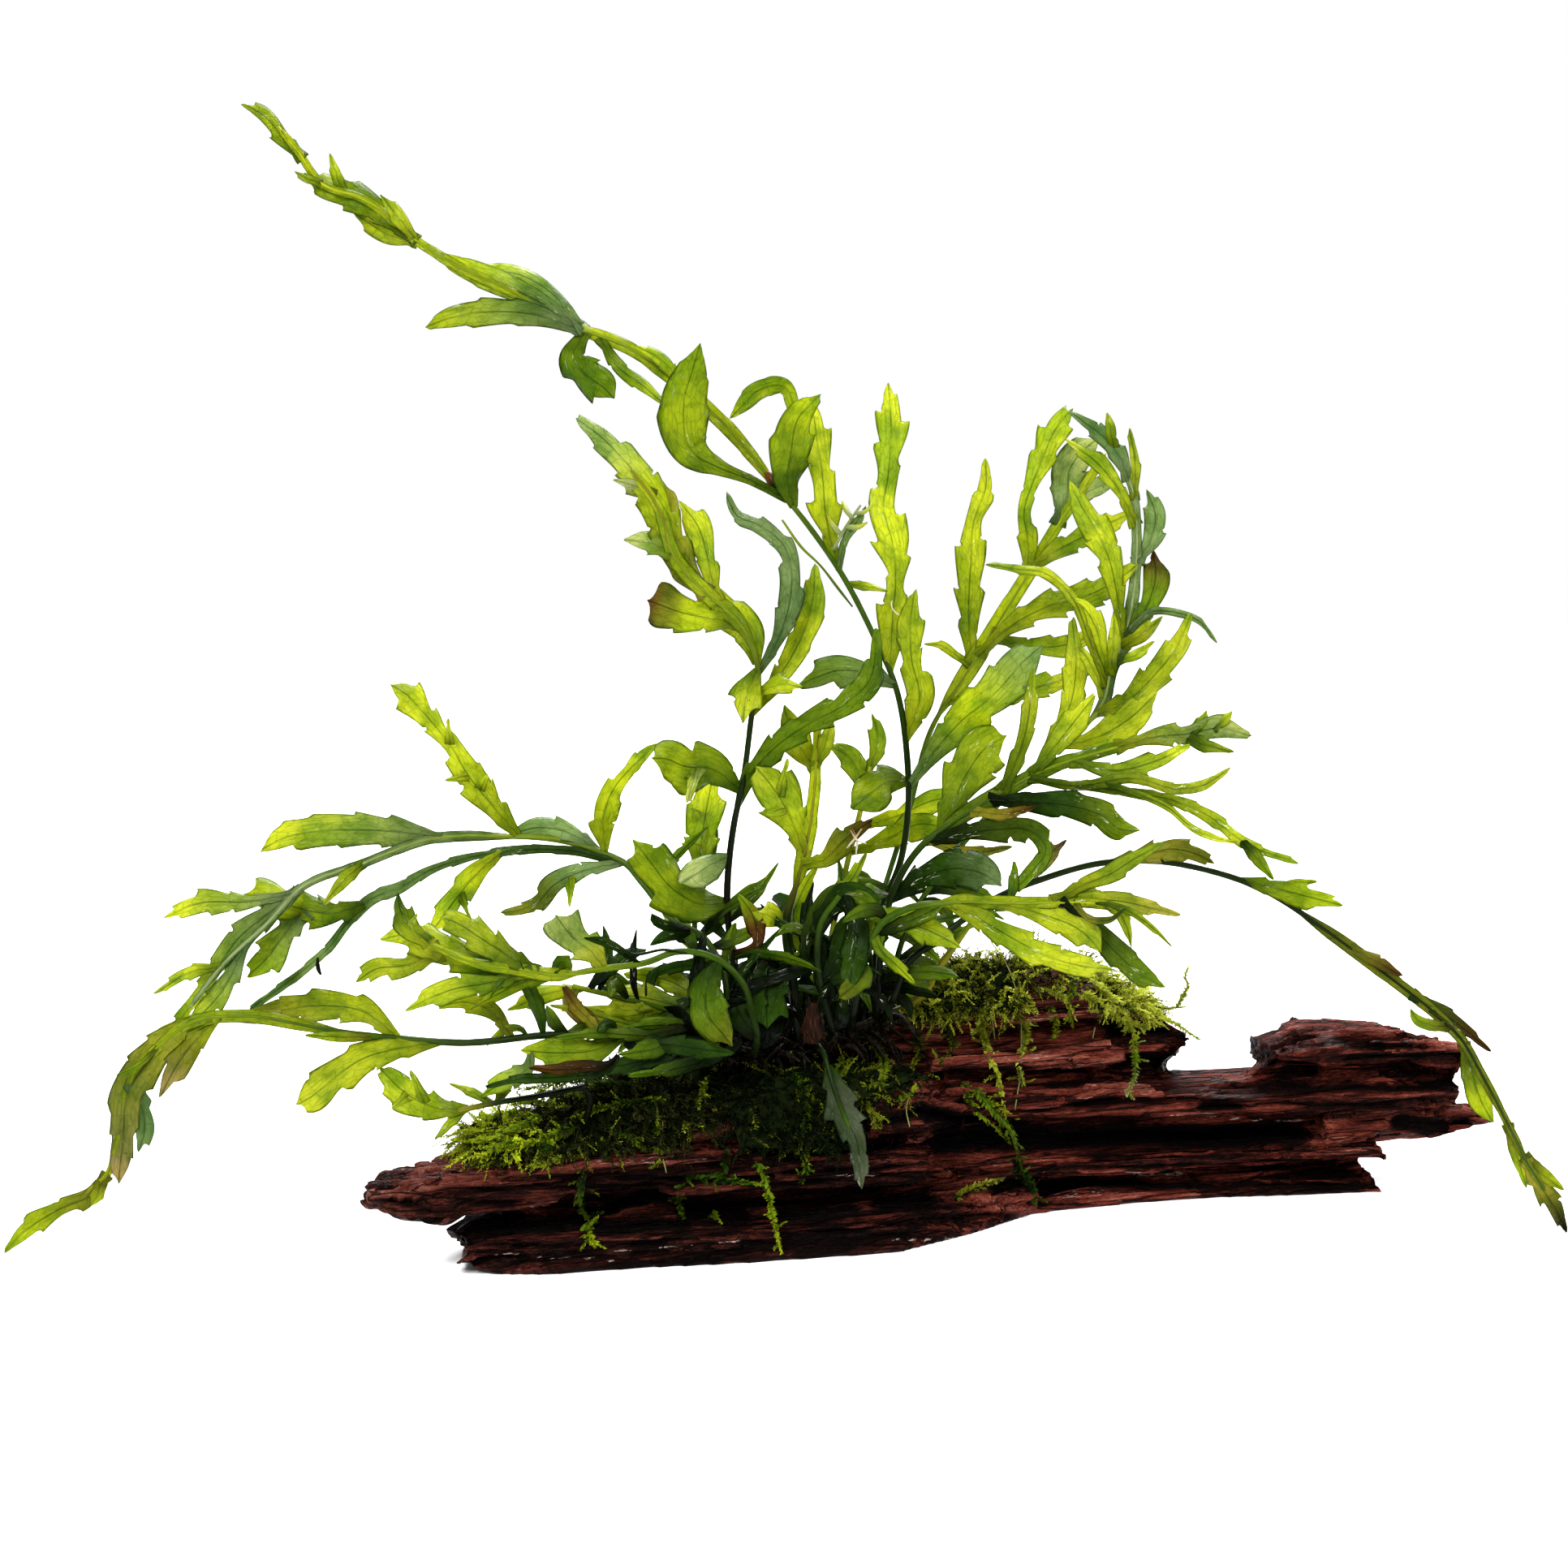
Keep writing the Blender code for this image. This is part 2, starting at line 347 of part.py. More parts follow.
            (65.4, 8.1, 6, 1.3), (72, 8.6, 6, 1),
        ],
        [
            (0, 0.3, [(58, 6.3, 1), (66, 8.4, 3), (71, 8.8, 3.2), (76, 9.8, 3.4), (81.9, 8.4, 0)]),
            (1, 0, [(71, 9, 1.2), (73, 11, 1.6), (74, 13, 0)]),
            (1, 0, [(75, 9.8, 1.2), (77, 11.2, 1.6), (78.4, 12.8, 0)]),
            (4, 0.2, [(69.5, 8.4, 1), (74, 6.8, 2.2), (78.7, 5.6, 0)]),
            (-5, 0.5, [(27.3, -8.5, 1.2), (29.5, -3.5, 4.5), (31.8, 1.5, 6.6), (35.5, 6.5, 6.4),
                       (39.1, 8.6, 0)]),
            (4, -0.4, [(38.2, -1.5, 1), (40.5, 3.7, 2.2), (42.4, 9.6, 2.3), (43.2, 15.3, 2),
                       (43.6, 20.2, 0)]),
            (6, 0.4, [(43.6, 1.5, 1), (48.1, 7.5, 3), (51.8, 12.2, 3.2), (54.5, 15.5, 0)]),
            (4, -0.4, [(50, 3.8, 1), (58, 2.4, 2.4), (65, 4, 2.7), (71, 7, 0)]),
            (7, 0.3, [(43, 1.2, 1), (51, -0.3, 1.6), (61.8, 1, 1.7), (68.6, -0.8, 1.7),
                      (73.1, -0.3, 1.6), (78.2, 2.9, 0)]),
            (-4, 0.2, [(56, 0.2, 0.9), (62, -1.8, 1.1), (67, -4, 1.1), (72, -8, 1.1), (75.3, -9.4, 1.1),
                       (79.9, -10.3, 0)]),
            (-4, 0.4, [(51, -0.2, 1), (61.8, -1.7, 1.6), (68.6, -3, 1.8), (74, -5.4, 2.1),
                       (80.5, -10.2, 1.8),
                       (90.1, -13.9, 0)]),
            (2, 0.3, [(80, -9.8, 0.9), (82.8, -13, 2.1), (85.6, -16.7, 0)]),
            (9, 0.5, [(36, -2.8, 1), (44, -3.2, 3), (50, -3.8, 4), (55.4, -5.3, 3.8), (58.7, -7.8, 3),
                      (62.2, -8.2, 0)]),
            (12, -0.3, [(33, -4.8, 0.9), (38.5, -5.2, 2), (44, -4, 0)]),
            (9, 0.4, [(24.5, -10.7, 1), (30, -9, 2.5), (37, -8, 3.6), (43.5, -8.4, 3.4), (45.8, -11, 2.6),
                      (42.7, -16.1, 2), (39.1, -19.3, 0)]),
            (-4, 0.3, [(25.5, -10, 0.9), (33, -12, 2), (40, -11, 0)]),
            (11, -0.4, [(18.6, -20.2, 1.2), (25, -16, 4.5), (31, -14.8, 5.6), (35.5, -16, 4),
                        (38.2, -18, 0)]),
        ],
    ),
    "frond_right_low": (
        [
            (12.2, -39.6, 1, 1.9), (14, -31, 5, 1.8), (17.5, -24, 9, 1.7), (22, -21.6, 12, 1.6),
            (28, -20.8, 14, 1.6), (41.3, -20.9, 16, 1.5), (50, -20.7, 17, 1.3), (58, -21, 18, 1),
        ],
        [
            (1, 0.3, [(46, -20.8, 1), (52, -20.4, 2.4), (58, -20.4, 2.7), (64, -21.6, 2),
                      (69.3, -22.9, 0)]),
            (6, 0.5, [(28, -20.9, 1), (35.4, -24.3, 3.4), (40.9, -27.5, 4), (46.3, -30.2, 4),
                      (52, -31.8, 3),
                      (57.7, -32.5, 0)]),
            (3, -0.4, [(37, -21, 1), (45.8, -23, 3.4), (51.3, -25.3, 4), (54, -27.5, 3), (55.6, -29.5, 0)]),
            (-5, 0.4, [(48, -20.8, 1), (54, -25.3, 3), (58, -29.4, 3.6), (63.1, -33.8, 2.6),
                       (66.8, -35.6, 0)]),
            (5, 0.3, [(47, -20.8, 0.9), (52.7, -17.5, 2.4), (57.2, -15.7, 2.7), (60.8, -13.4, 2.4),
                      (66.3, -10.2, 0)]),
            (6, 0, [(50.5, -20.8, 0.8), (53.5, -23.6, 1.1), (56.8, -23.8, 1.1), (59.7, -21.8, 0)]),
        ],
    ),
    "frond_right_arching": (
        [
            (19.4, -36.6, -1, 2), (21.9, -31, 0, 1.9), (25.5, -28.2, 1, 1.8), (31, -24, 1, 1.8),
            (37.3, -19.8, -1, 1.7), (45.8, -16.4, -4, 1.7), (54.9, -13.9, -7, 1.6), (65.4, -13.5, -9, 1.5),
            (73, -14.8, -11, 1.4), (83.5, -18.3, -13, 1.6), (94.1, -25.1, -14, 1.9), (104.6, -32.8, -14, 2),
            (115.1, -41.2, -12, 2.2), (118.3, -44.4, -11, 1.5), (122, -50.7, -9, 1.5),
            (127.8, -61.8, -6, 1.6),
            (129.9, -66, -4, 1.6), (133.1, -71.2, -2, 1.4),
        ],
        [
            (-8, 0.4, [(41.3, -18, 0.9), (45, -13.5, 2.7), (49.6, -9.6, 0)]),
            (4, 0.4, [(58, -13.6, 1), (63, -12.4, 3), (68, -11.4, 3.2), (72, -12.2, 2.4), (75.5, -14, 0)]),
            (4, 0.4, [(80, -16.8, 1), (86, -18.2, 3), (92, -19.8, 3.2), (97.8, -21.2, 0)]),
            (-3, 0.2, [(85, -18.6, 0.9), (89.5, -17.5, 1.5), (93.2, -17, 0)]),
            (3, 0.3, [(99, -29, 1), (104.5, -31.5, 2), (108.3, -33.6, 0)]),
            (3, -0.3, [(109.5, -36.8, 1), (115, -40, 2.4), (119.5, -43.3, 1.6), (123.7, -46.8, 0)]),
            (3, 0.2, [(116.5, -42.3, 1), (112.8, -42.1, 1.7), (110.6, -41, 1.4), (109.6, -39.3, 0)]),
            (-4, 0.4, [(118.6, -45, 1), (120.5, -51, 3), (122, -55.5, 3.2), (124, -59.2, 0)]),
            (-3, 0.2, [(126.5, -59.5, 1), (128.2, -65, 1.8), (130, -70.7, 0)]),
            (2, 0.2, [(129.5, -65.2, 1.2), (133, -68.6, 2.2), (136.5, -71, 0)]),
            (0, 0.3, [(129.9, -66, 1.2), (132.4, -70.5, 3), (134.8, -74, 2.4), (136.9, -78.6, 0)]),
        ],
    ),
    "frond_right_high": (
        [
            (18.2, -36, -16, 2), (22, -24, -16, 1.9), (30, -12, -16, 1.8), (38, -3, -17, 1.6),
            (45, 4, -18, 1.5), (52, 9.5, -19, 1.4), (55.9, 14.4, -19, 1.4), (57.2, 19.9, -20, 1.4),
            (59.5, 25.3, -21, 1.3), (61.3, 34.8, -22, 1.3), (61.7, 43.9, -23, 1.2), (60.9, 51.6, -24, 1.1),
            (57.7, 58.8, -25, 1),
        ],
        [
            (-2, 0.3, [(60.5, 53, 1), (58.6, 57.5, 2.6), (55.4, 61.2, 2.4), (52.7, 63.2, 1.5),
                       (50.4, 65, 0)]),
            (2, 0, [(57.6, 59, 0.9), (57, 62.5, 1.6), (56.6, 64.9, 0)]),
            (-3, 0.3, [(61, 50, 0.9), (61.4, 56.5, 1.6), (60.4, 62.2, 0)]),
            (-3, -0.4, [(61.5, 38.5, 1), (64.3, 43, 3), (65, 47, 3), (63.4, 51.6, 0)]),
            (3, 0.3, [(61.5, 45, 1), (58.5, 51.5, 2), (55, 56, 2.7), (49.3, 60.2, 0)]),
            (5, 0.4, [(59.3, 25, 1), (58.2, 33.4, 2.6), (57, 39, 3.6), (54.5, 44.5, 4.3),
                      (51.8, 49, 2.4), (50, 53, 0)]),
            (-4, 0.4, [(59.3, 24.5, 1), (61.8, 28, 2.2), (63.6, 31.5, 3), (65, 36, 3.6), (64.6, 41, 0)]),
            (5, -0.4, [(57, 19, 1), (55.6, 23.5, 2.2), (54.5, 27.5, 3), (52.3, 31, 2.2), (49.1, 32.7, 0)]),
            (9, 0.3, [(56.6, 17, 0.9), (53.5, 25, 1.3), (50.5, 32.5, 1.5), (45.4, 37, 1.6),
                      (40.9, 37.6, 1.4),
                      (35.5, 38.5, 0)]),
            (-5, 0.3, [(56, 15, 0.9), (53, 22, 1.8), (49.5, 25.8, 0)]),
            (7, 0.3, [(57.2, 19.8, 0.9), (57.7, 25, 2), (57.7, 29.8, 0)]),
            (-5, 0.4, [(45, 4, 1), (48, 9.5, 2.4), (50.4, 15, 3.2), (51, 22, 3.2), (50.4, 28.7, 0)]),
            (3, 0, [(59.8, 26.5, 0.9), (64.5, 30.2, 1.2), (69.5, 29.8, 1.2), (72.6, 28.5, 1),
                    (75.8, 24.6, 0)]),
            (5, 0.3, [(58.8, 23.5, 0.9), (62.5, 26.2, 2.3), (66.3, 29.4, 0)]),
            (-2, 0, [(57.8, 21.3, 0.8), (61.5, 22.6, 1.6), (64.9, 25, 0)]),
            (6, 0.4, [(54.5, 12.4, 1), (60, 14.5, 3.4), (64.8, 19, 4), (68.7, 24, 3), (71.3, 29.8, 0)]),
            (9, 0.4, [(48, 6.4, 1), (55, 8.3, 3.4), (60.5, 11.5, 4.5), (65.4, 16.2, 0)]),
        ],
    ),
    "frond_back_right": (
        [
            (12, -37.4, -16, 1.8), (17, -20, -20, 1.7), (22, -4, -23, 1.5), (25.9, 9.9, -25, 1.4),
            (32.3, 19.9, -27, 1.4), (37.3, 28, -29, 1.3), (42.7, 36.6, -31, 1.2), (48.1, 45.7, -34, 1.2),
            (53.1, 52.9, -36, 1.1), (56.3, 57.9, -38, 0.8),
        ],
        [
            (-2, 0.3, [(32.6, 20.5, 1), (32.3, 30, 3.4), (32.7, 39.3, 4.3), (33.2, 46, 2.2),
                       (35.3, 52, 2.6),
                       (35.2, 56.8, 0)]),
            (-3, -0.3, [(42.5, 36.5, 1), (42.7, 42.5, 2.7), (42, 47.5, 1.8), (43.4, 52.4, 2.2),
                        (45.4, 57.4, 3.6),
                        (47.7, 62.4, 3.9), (50.6, 65.8, 0)]),
            (-6, 0.4, [(43, 37.2, 1), (48, 41, 2.8), (53, 43.6, 3.2), (58, 46.2, 2.2), (62, 48, 0)]),
            (5, 0.4, [(34, 22.5, 1), (39.5, 27.5, 2.6), (46, 31, 4), (53, 33, 4), (58.5, 35.8, 3),
                      (62, 38.5, 0)]),
            (-4, -0.3, [(29, 15, 1), (37, 15, 2.2), (45.5, 17.3, 3.2), (54, 19.9, 0)]),
            (4, 0, [(32.6, 20.3, 0.9), (30, 22.6, 1.3), (27.7, 24.2, 1.3), (24.4, 24.5, 0)]),
            (-10, 0.4, [(47.8, 45.3, 1), (49.5, 50, 4), (50, 55, 5), (52.5, 58.5, 3.5), (55, 60.5, 0)]),
            (-8, 0.3, [(51, 50, 1), (54.5, 51.8, 3), (58.5, 53, 0)]),
            (-9, 0.4, [(36, 26, 1), (43, 24, 2.6), (50, 24.5, 3), (56, 27, 0)]),
        ],
    ),
    "frond_centre_behind": (
        [
            (6, -40.6, -15, 1.8), (8, -28, -19, 1.6), (11, -14, -22, 1.5), (13.5, -4, -24, 1.3),
            (15, 3, -25, 1),
        ],
        [
            (-2, 0.2, [(15, 2, 1), (16.4, 7.5, 2.7), (15.4, 12.5, 0)]),
            (-3, 0.4, [(14, -1.5, 1), (11.5, 4.6, 3.2), (7.5, 7, 0)]),
            (-4, 0.3, [(12.6, -8, 1), (20, -5.5, 2.4), (26, -2.9, 3.6), (30.1, -2.1, 0)]),
            (3, 0.4, [(11.5, -12, 1), (18, -9.6, 3), (24, -7, 4), (28, -7.5, 0)]),
        ],
    ),
    "frond_centre_curled": (
        [
            (8.2, -42, -2, 2), (6.6, -36, 0, 1.8), (5.8, -30, 2, 1.7), (6.6, -24, 4, 1.4),
            (9.7, -19.6, 6, 1.2),
        ],
        [
            (3, 0.4, [(5.9, -27, 1.2), (7.6, -21.8, 4), (11.5, -19.2, 4), (15, -20.4, 2.5),
                      (17.2, -22.6, 0)]),
            (6, 0.3, [(10.5, -19.6, 1), (12.8, -25.5, 3.4), (12, -31.5, 4), (11, -37.5, 0)]),
            (-5, 0.3, [(6.3, -34.5, 1), (9.4, -30.5, 3), (11.2, -24.5, 3), (12.6, -22, 0)]),
        ],
    ),
    "frond_left_small": (
        [
            (-13.4, -42, -1, 1.6), (-18.5, -40.1, 0, 1.5), (-27.7, -37.6, 2, 1.4), (-37, -35.4, 4, 1.2),
        ],
        [
            (3, 0.3, [(-35, -35.8, 1), (-42, -36.8, 2.7), (-45.5, -38.4, 2), (-48.4, -39.5, 0)]),
            (-4, 0.3, [(-18, -40.4, 1), (-23, -38.2, 3.2), (-27.5, -36.4, 3), (-31, -35.4, 0)]),
            (4, -0.4, [(-21, -39.6, 1), (-26, -40.4, 3.8), (-31.5, -40.6, 3.6), (-36.5, -39.6, 0)]),
            (5, 0.4, [(-36, -35.6, 0.9), (-37.5, -38, 2.4), (-34.5, -41, 2.4), (-32, -43, 0)]),
            (-3, 0, [(-28.7, -37.4, 0.8), (-30.6, -33.8, 1.5), (-29.6, -31.4, 0)]),
        ],
    ),
    "frond_behind_left": (
        [
            (-12.5, -41.6, -9, 1.7), (-15.5, -30, -12, 1.6), (-14.6, -14.4, -15, 1.4),
            (-13.2, -5, -16, 1.2),
        ],
        [
            (-2, 0.3, [(-14.8, -17, 1.2), (-14.4, -9.5, 4.6), (-13.4, -3.5, 4.5), (-12, 3.4, 0)]),
            (1, 0, [(-14.6, -11.5, 1.8), (-18, -10.3, 0)]),
            (1, 0, [(-13.8, -6.5, 1.8), (-17, -4.4, 0)]),
            (-6, 0.4, [(-15.4, -29, 1), (-18.8, -23.5, 3.4), (-19.4, -19, 2.6), (-17.5, -15, 0)]),
        ],
    ),
    "leaf_lower_left": (
        [
            (-36, -53.2, 9, 1.8), (-43, -54.6, 10, 1.8), (-51, -55.9, 11, 1.7), (-57, -57.2, 12, 1.3),
        ],
        [
            (2, 0.4, [(-55, -56.8, 1.2), (-61, -56.6, 3.6), (-66.3, -54, 4.9), (-69, -51.5, 3),
                      (-70.9, -49.4, 0)]),
            (2, 0, [(-63, -55.8, 1.8), (-65.4, -50, 0)]),
            (2, 0, [(-65.5, -54.4, 1.8), (-68.6, -56.8, 0)]),
            (3, 0, [(-55.5, -57, 0.9), (-58.6, -59.6, 1.5), (-61.1, -62.3, 0)]),
            (-3, 0, [(-51, -56, 0.9), (-55, -53.8, 1.4), (-58.6, -52.4, 0)]),
            (-9, 0.3, [(-50, -55.8, 1), (-48.5, -52, 2.6), (-45.7, -49.4, 0)]),
        ],
    ),
    "frond_near_right": (
        [
            (25, -36, -14, 1.7), (26.8, -32.6, -12, 1.7), (29.1, -29.3, -10, 1.6), (32.7, -24.3, -8, 1.2),
        ],
        [
            (3, 0.3, [(25.8, -34.6, 1), (22, -35.4, 3.2), (17, -35.4, 0)]),
        ],
    ),
    "leaf_hanging": (
        [
            (7.4, -48.4, 5, 1.2), (9, -54, 7, 1.2), (11.6, -60.5, 6, 1.2),
        ],
        [
            (2, 0.3, [(7.8, -49.6, 1.2), (9.4, -56, 5.4), (11.6, -61, 4.4), (13, -66, 2.2),
                      (13.6, -71, 0)]),
        ],
    ),
}

# The dry brown scale in front of the stem bases
SCALE_ROUTE = [(4.3, -39.2, 3), (5.2, -42.4, 4), (4.8, -45.6, 4)]
SCALE_WIDTHS = [0.8, 2.7, 2.2]


def clear_scene():
    """Empties the scene."""
    for obj in list(bpy.data.objects):
        bpy.data.objects.remove(obj, do_unlink=True)


def place(u, v, t):
    """Gives the point in metres of a place in the front view."""
    spread = (VIEW_DISTANCE - t) / VIEW_DISTANCE
    return (VIEW_TARGET + (ACROSS * u + UPWARDS * v) * spread + TOWARDS * t) * MM


def smooth(points, step):
    """Resamples rows of numbers along a smooth curve through them, about one step apart."""
    rows = np.array(points, float)
    gaps = np.maximum(np.linalg.norm(np.diff(rows[:, :2], axis=0), axis=1), 1e-6)
    along = np.concatenate([[0.0], np.cumsum(gaps)])
    slopes = np.gradient(rows, along, axis=0)
    fewest = 2 if along[-1] < step / 2 else 3
    count = max(fewest, round(along[-1] / step) + 1)
    where = np.linspace(0.0, along[-1], count)
    k = np.clip(np.searchsorted(along, where, side="right") - 1, 0, len(along) - 2)
    span = (along[k + 1] - along[k])[:, None]
    s = (where - along[k])[:, None] / span
    start = (2 * s**3 - 3 * s**2 + 1) * rows[k] + (s**3 - 2 * s**2 + s) * span * slopes[k]
    end = (3 * s**2 - 2 * s**3) * rows[k + 1] + (s**3 - s**2) * span * slopes[k + 1]
    return start + end


def material(name, colour, roughness):
    """Makes a plain Principled material."""
    made = bpy.data.materials.new(name)
    made.use_nodes = True
    shader = made.node_tree.nodes["Principled BSDF"]
    shader.inputs["Base Color"].default_value = (*colour, 1.0)
    shader.inputs["Roughness"].default_value = roughness
    shader.inputs["Metallic"].default_value = 0.0
    return made


def new_object(name, mesh, look=None):
    """Links a mesh to the scene under a name, with its material."""
    obj = bpy.data.objects.new(name, mesh)
    bpy.context.collection.objects.link(obj)
    if look is not None:
        obj.data.materials.append(look)
    return obj


def mesh_from_rings(rings, name, pointed=False):
    """Joins rings of points into one closed mesh; a pointed one ends in the last ring's middle."""
    bm = bmesh.new()
    sides = len(rings[0])
    body = rings[:-1] if pointed else rings
    verts = [[bm.verts.new(point) for point in ring] for ring in body]
    bm.faces.new(list(reversed(verts[0])))
    for low, high in zip(verts, verts[1:]):
        for i in range(sides):
            j = (i + 1) % sides
            bm.faces.new((low[i], low[j], high[j], high[i]))
    if pointed:
        tip = bm.verts.new(sum(rings[-1], Vector()) / sides)
        for i in range(sides):
            bm.faces.new((verts[-1][i], verts[-1][(i + 1) % sides], tip))
    else:
        bm.faces.new(verts[-1])
    bmesh.ops.triangulate(bm, faces=bm.faces)
    bmesh.ops.recalc_face_normals(bm, faces=bm.faces)
    mesh = bpy.data.meshes.new(name)
    bm.to_mesh(mesh)
    bm.free()
    return mesh


def tree_of(mesh):
    """Makes a search tree of a mesh in world space."""
    bm = bmesh.new()
    bm.from_mesh(mesh)
    tree = BVHTree.FromBMesh(bm)
    bm.free()
    return tree


def fuse(name, meshes, look):
    """Unites meshes into one solid object."""
    base = new_object(name, meshes[0], look)
    if len(meshes) > 1:
        parts = bpy.data.collections.new(name + " parts")
        bpy.context.scene.collection.children.link(parts)
        for number, mesh in enumerate(meshes[1:]):
            parts.objects.link(bpy.data.objects.new(f"{name} piece {number}", mesh))
        union = base.modifiers.new("union", "BOOLEAN")
        union.operation = "UNION"
        union.solver = "EXACT"
        union.operand_type = "COLLECTION"
        union.collection = parts
        union.use_self = True
        apply_modifiers(base)
        for piece in list(parts.objects):
            bpy.data.objects.remove(piece, do_unlink=True)
        bpy.data.collections.remove(parts)
    return base


def apply_modifiers(obj):
    """Replaces an object's mesh by its evaluated one, in triangles."""
    bpy.context.view_layer.update()
    evaluated = obj.evaluated_get(bpy.context.evaluated_depsgraph_get())
    mesh = bpy.data.meshes.new_from_object(evaluated)
    obj.modifiers.clear()
    bm = bmesh.new()
    bm.from_mesh(mesh)
    bmesh.ops.triangulate(bm, faces=bm.faces)
    bm.to_mesh(mesh)
    bm.free()
    obj.data = mesh


def layer_mesh(name, stations):
    """Lofts one layer of the log: an eight-sided split plank with rough faces and splintered ends."""
    rows = smooth([(x, 0.0, front, back, low, high) for x, front, back, low, high in stations], WOOD_STEP)
    rings = []
    for number, (x, _, front, back, low, high) in enumerate(rows):
        thick = high - low
        at_end = number in (0, len(rows) - 1)
        ring = []
        for side, (share, inwards, up) in enumerate(PLANK_CORNERS):
            y = front + share * (back - front) + inwards
            z = low + up * thick
            beat, plank_step, corner_step, thick_step = GRAIN_BEATS
            seed = Vector((x * beat + len(name) * plank_step, side * corner_step, thick * thick_step))
            bulge = 2 * WOOD_ROUGHNESS * noise.noise(seed)
            rise = WOOD_ROUGHNESS * noise.noise(seed + Vector((GRAIN_RISE_AWAY, 0, 0)))
            splinter = 2 * WOOD_END_SPLINTERS * noise.noise(seed * SPLINTER_BEAT) if at_end else 0.0
            ring.append(Vector((x + splinter, y + bulge, z + rise)) * MM)
        rings.append(ring)
    return mesh_from_rings(rings, name)


def make_driftwood(look):
    """Unites the layers and cuts the log off flat where it rests."""
    wood = fuse("driftwood", [layer_mesh(name, stations) for name, stations in LAYERS.items()], look)
    length, width, depth = FLOOR_BLOCK
    bm = bmesh.new()
    bmesh.ops.create_cube(bm, size=1.0)
    for vert in bm.verts:
        vert.co = Vector((vert.co.x * length, vert.co.y * width, (vert.co.z - 0.5) * depth)) * MM
    block = bpy.data.meshes.new("floor block")
    bm.to_mesh(block)
    bm.free()
    cutter = new_object("floor cutter", block)
    cut = wood.modifiers.new("flat underside", "BOOLEAN")
    cut.operation = "DIFFERENCE"
    cut.solver = "EXACT"
    cut.object = cutter
    apply_modifiers(wood)
    bpy.data.objects.remove(cutter, do_unlink=True)
    keep_largest(wood)
    return wood


def keep_largest(obj):
    """Deletes loose chips that the cut left beside the main body."""
    bm = bmesh.new()
    bm.from_mesh(obj.data)
    unseen = set(bm.verts)
    shells = []
    while unseen:
        stack = [unseen.pop()]
        shell = set(stack)
        while stack:
            for edge in stack.pop().link_edges:
                for vert in edge.verts:
                    if vert in unseen:
                        unseen.remove(vert)
                        shell.add(vert)
                        stack.append(vert)
        shells.append(shell)
    shells.sort(key=len)
    for shell in shells[:-1]:
        bmesh.ops.delete(bm, geom=list(shell), context="VERTS")
    bm.to_mesh(obj.data)
    bm.free()


def wood_height(wood_tree, x, y, reach):
    """Gives the log's highest point in millimetres within reach of a place, or None off the log."""
    heights = []
    for dx in np.linspace(-reach, reach, PROBES):
        for dy in np.linspace(-reach, reach, PROBES):
            above = Vector((x + dx, y + dy, PROBE_HEIGHT)) * MM
            hit = wood_tree.ray_cast(above, Vector((0, 0, -1)))[0]
            if hit is not None:
                heights.append(hit.z / MM)
    return max(heights) if heights else None


def wood_depth(wood_tree, u, v, reach):
    """Gives how far towards the viewer the log comes within reach of a place in the front view."""
    eye = place(0, 0, VIEW_DISTANCE - 0.001)
    depths = []
    for du in (-reach, 0, reach):
        for dv in (-reach, 0, reach):
            aim = (place(u + du, v + dv, 0) - eye).normalized()
            hit = wood_tree.ray_cast(eye, aim)[0]
            if hit is not None:
                depths.append((hit / MM - VIEW_TARGET).dot(TOWARDS))
    return max(depths) if depths else 0.0


def make_moss_mat(name, wood_tree, look):
    """Lays a mat of moss on the log: its underside follows the wood and its top is lumpy."""
    left, right, front, back, thickness = MOSS_MATS[name]
    columns = max(3, round((right - left) / MOSS_CELL))
    rows = max(3, round((back - front) / MOSS_CELL))
    reach = 0.55 * MOSS_CELL
    end_rounding, side_rounding = MOSS_ROUNDING
    least_lump, lump_range = MOSS_LUMPS
    beat_x, beat_y = MOSS_LUMP_BEATS
    bm = bmesh.new()
    under = []
    over = []
    for i in range(columns + 1):
        for j in range(rows + 1):
            s = i / columns
            r = j / rows
            round_off = 1.0 - side_rounding * (2 * s - 1) ** 4
            x = left + (right - left) * (0.5 + (s - 0.5) * (1.0 - end_rounding * (2 * r - 1) ** 4))
            y = (front + back) / 2 + (back - front) * (r - 0.5) * round_off
            height = wood_height(wood_tree, x, y, reach)
            edge = min(s, 1 - s, r, 1 - r) * MOSS_SLOPE
            lump = least_lump + lump_range * noise.noise(Vector((x * beat_x, y * beat_y, len(name))))
            rise = MOSS_EDGE + (thickness - MOSS_EDGE) * min(1.0, edge) * lump
            under.append(bm.verts.new(Vector((x, y, height + GAP)) * MM))
            over.append(bm.verts.new(Vector((x, y, height + GAP + rise)) * MM))
    stride = rows + 1
    for i in range(columns):
        for j in range(rows):
            a, b, c, d = (i * stride + j, (i + 1) * stride + j, (i + 1) * stride + j + 1, i * stride + j + 1)
            bm.faces.new((over[a], over[b], over[c], over[d]))
            bm.faces.new((under[d], under[c], under[b], under[a]))
    rim = [i * stride for i in range(columns)]
    rim += [columns * stride + j for j in range(rows)]
    rim += [i * stride + rows for i in range(columns, 0, -1)]
    rim += list(range(rows, 0, -1))
    for a, b in zip(rim, rim[1:] + rim[:1]):
        bm.faces.new((under[a], under[b], over[b], over[a]))
    bmesh.ops.triangulate(bm, faces=bm.faces)
    bmesh.ops.recalc_face_normals(bm, faces=bm.faces)
    mesh = bpy.data.meshes.new(name)
    bm.to_mesh(mesh)
    bm.free()
    return new_object(name, mesh, look)


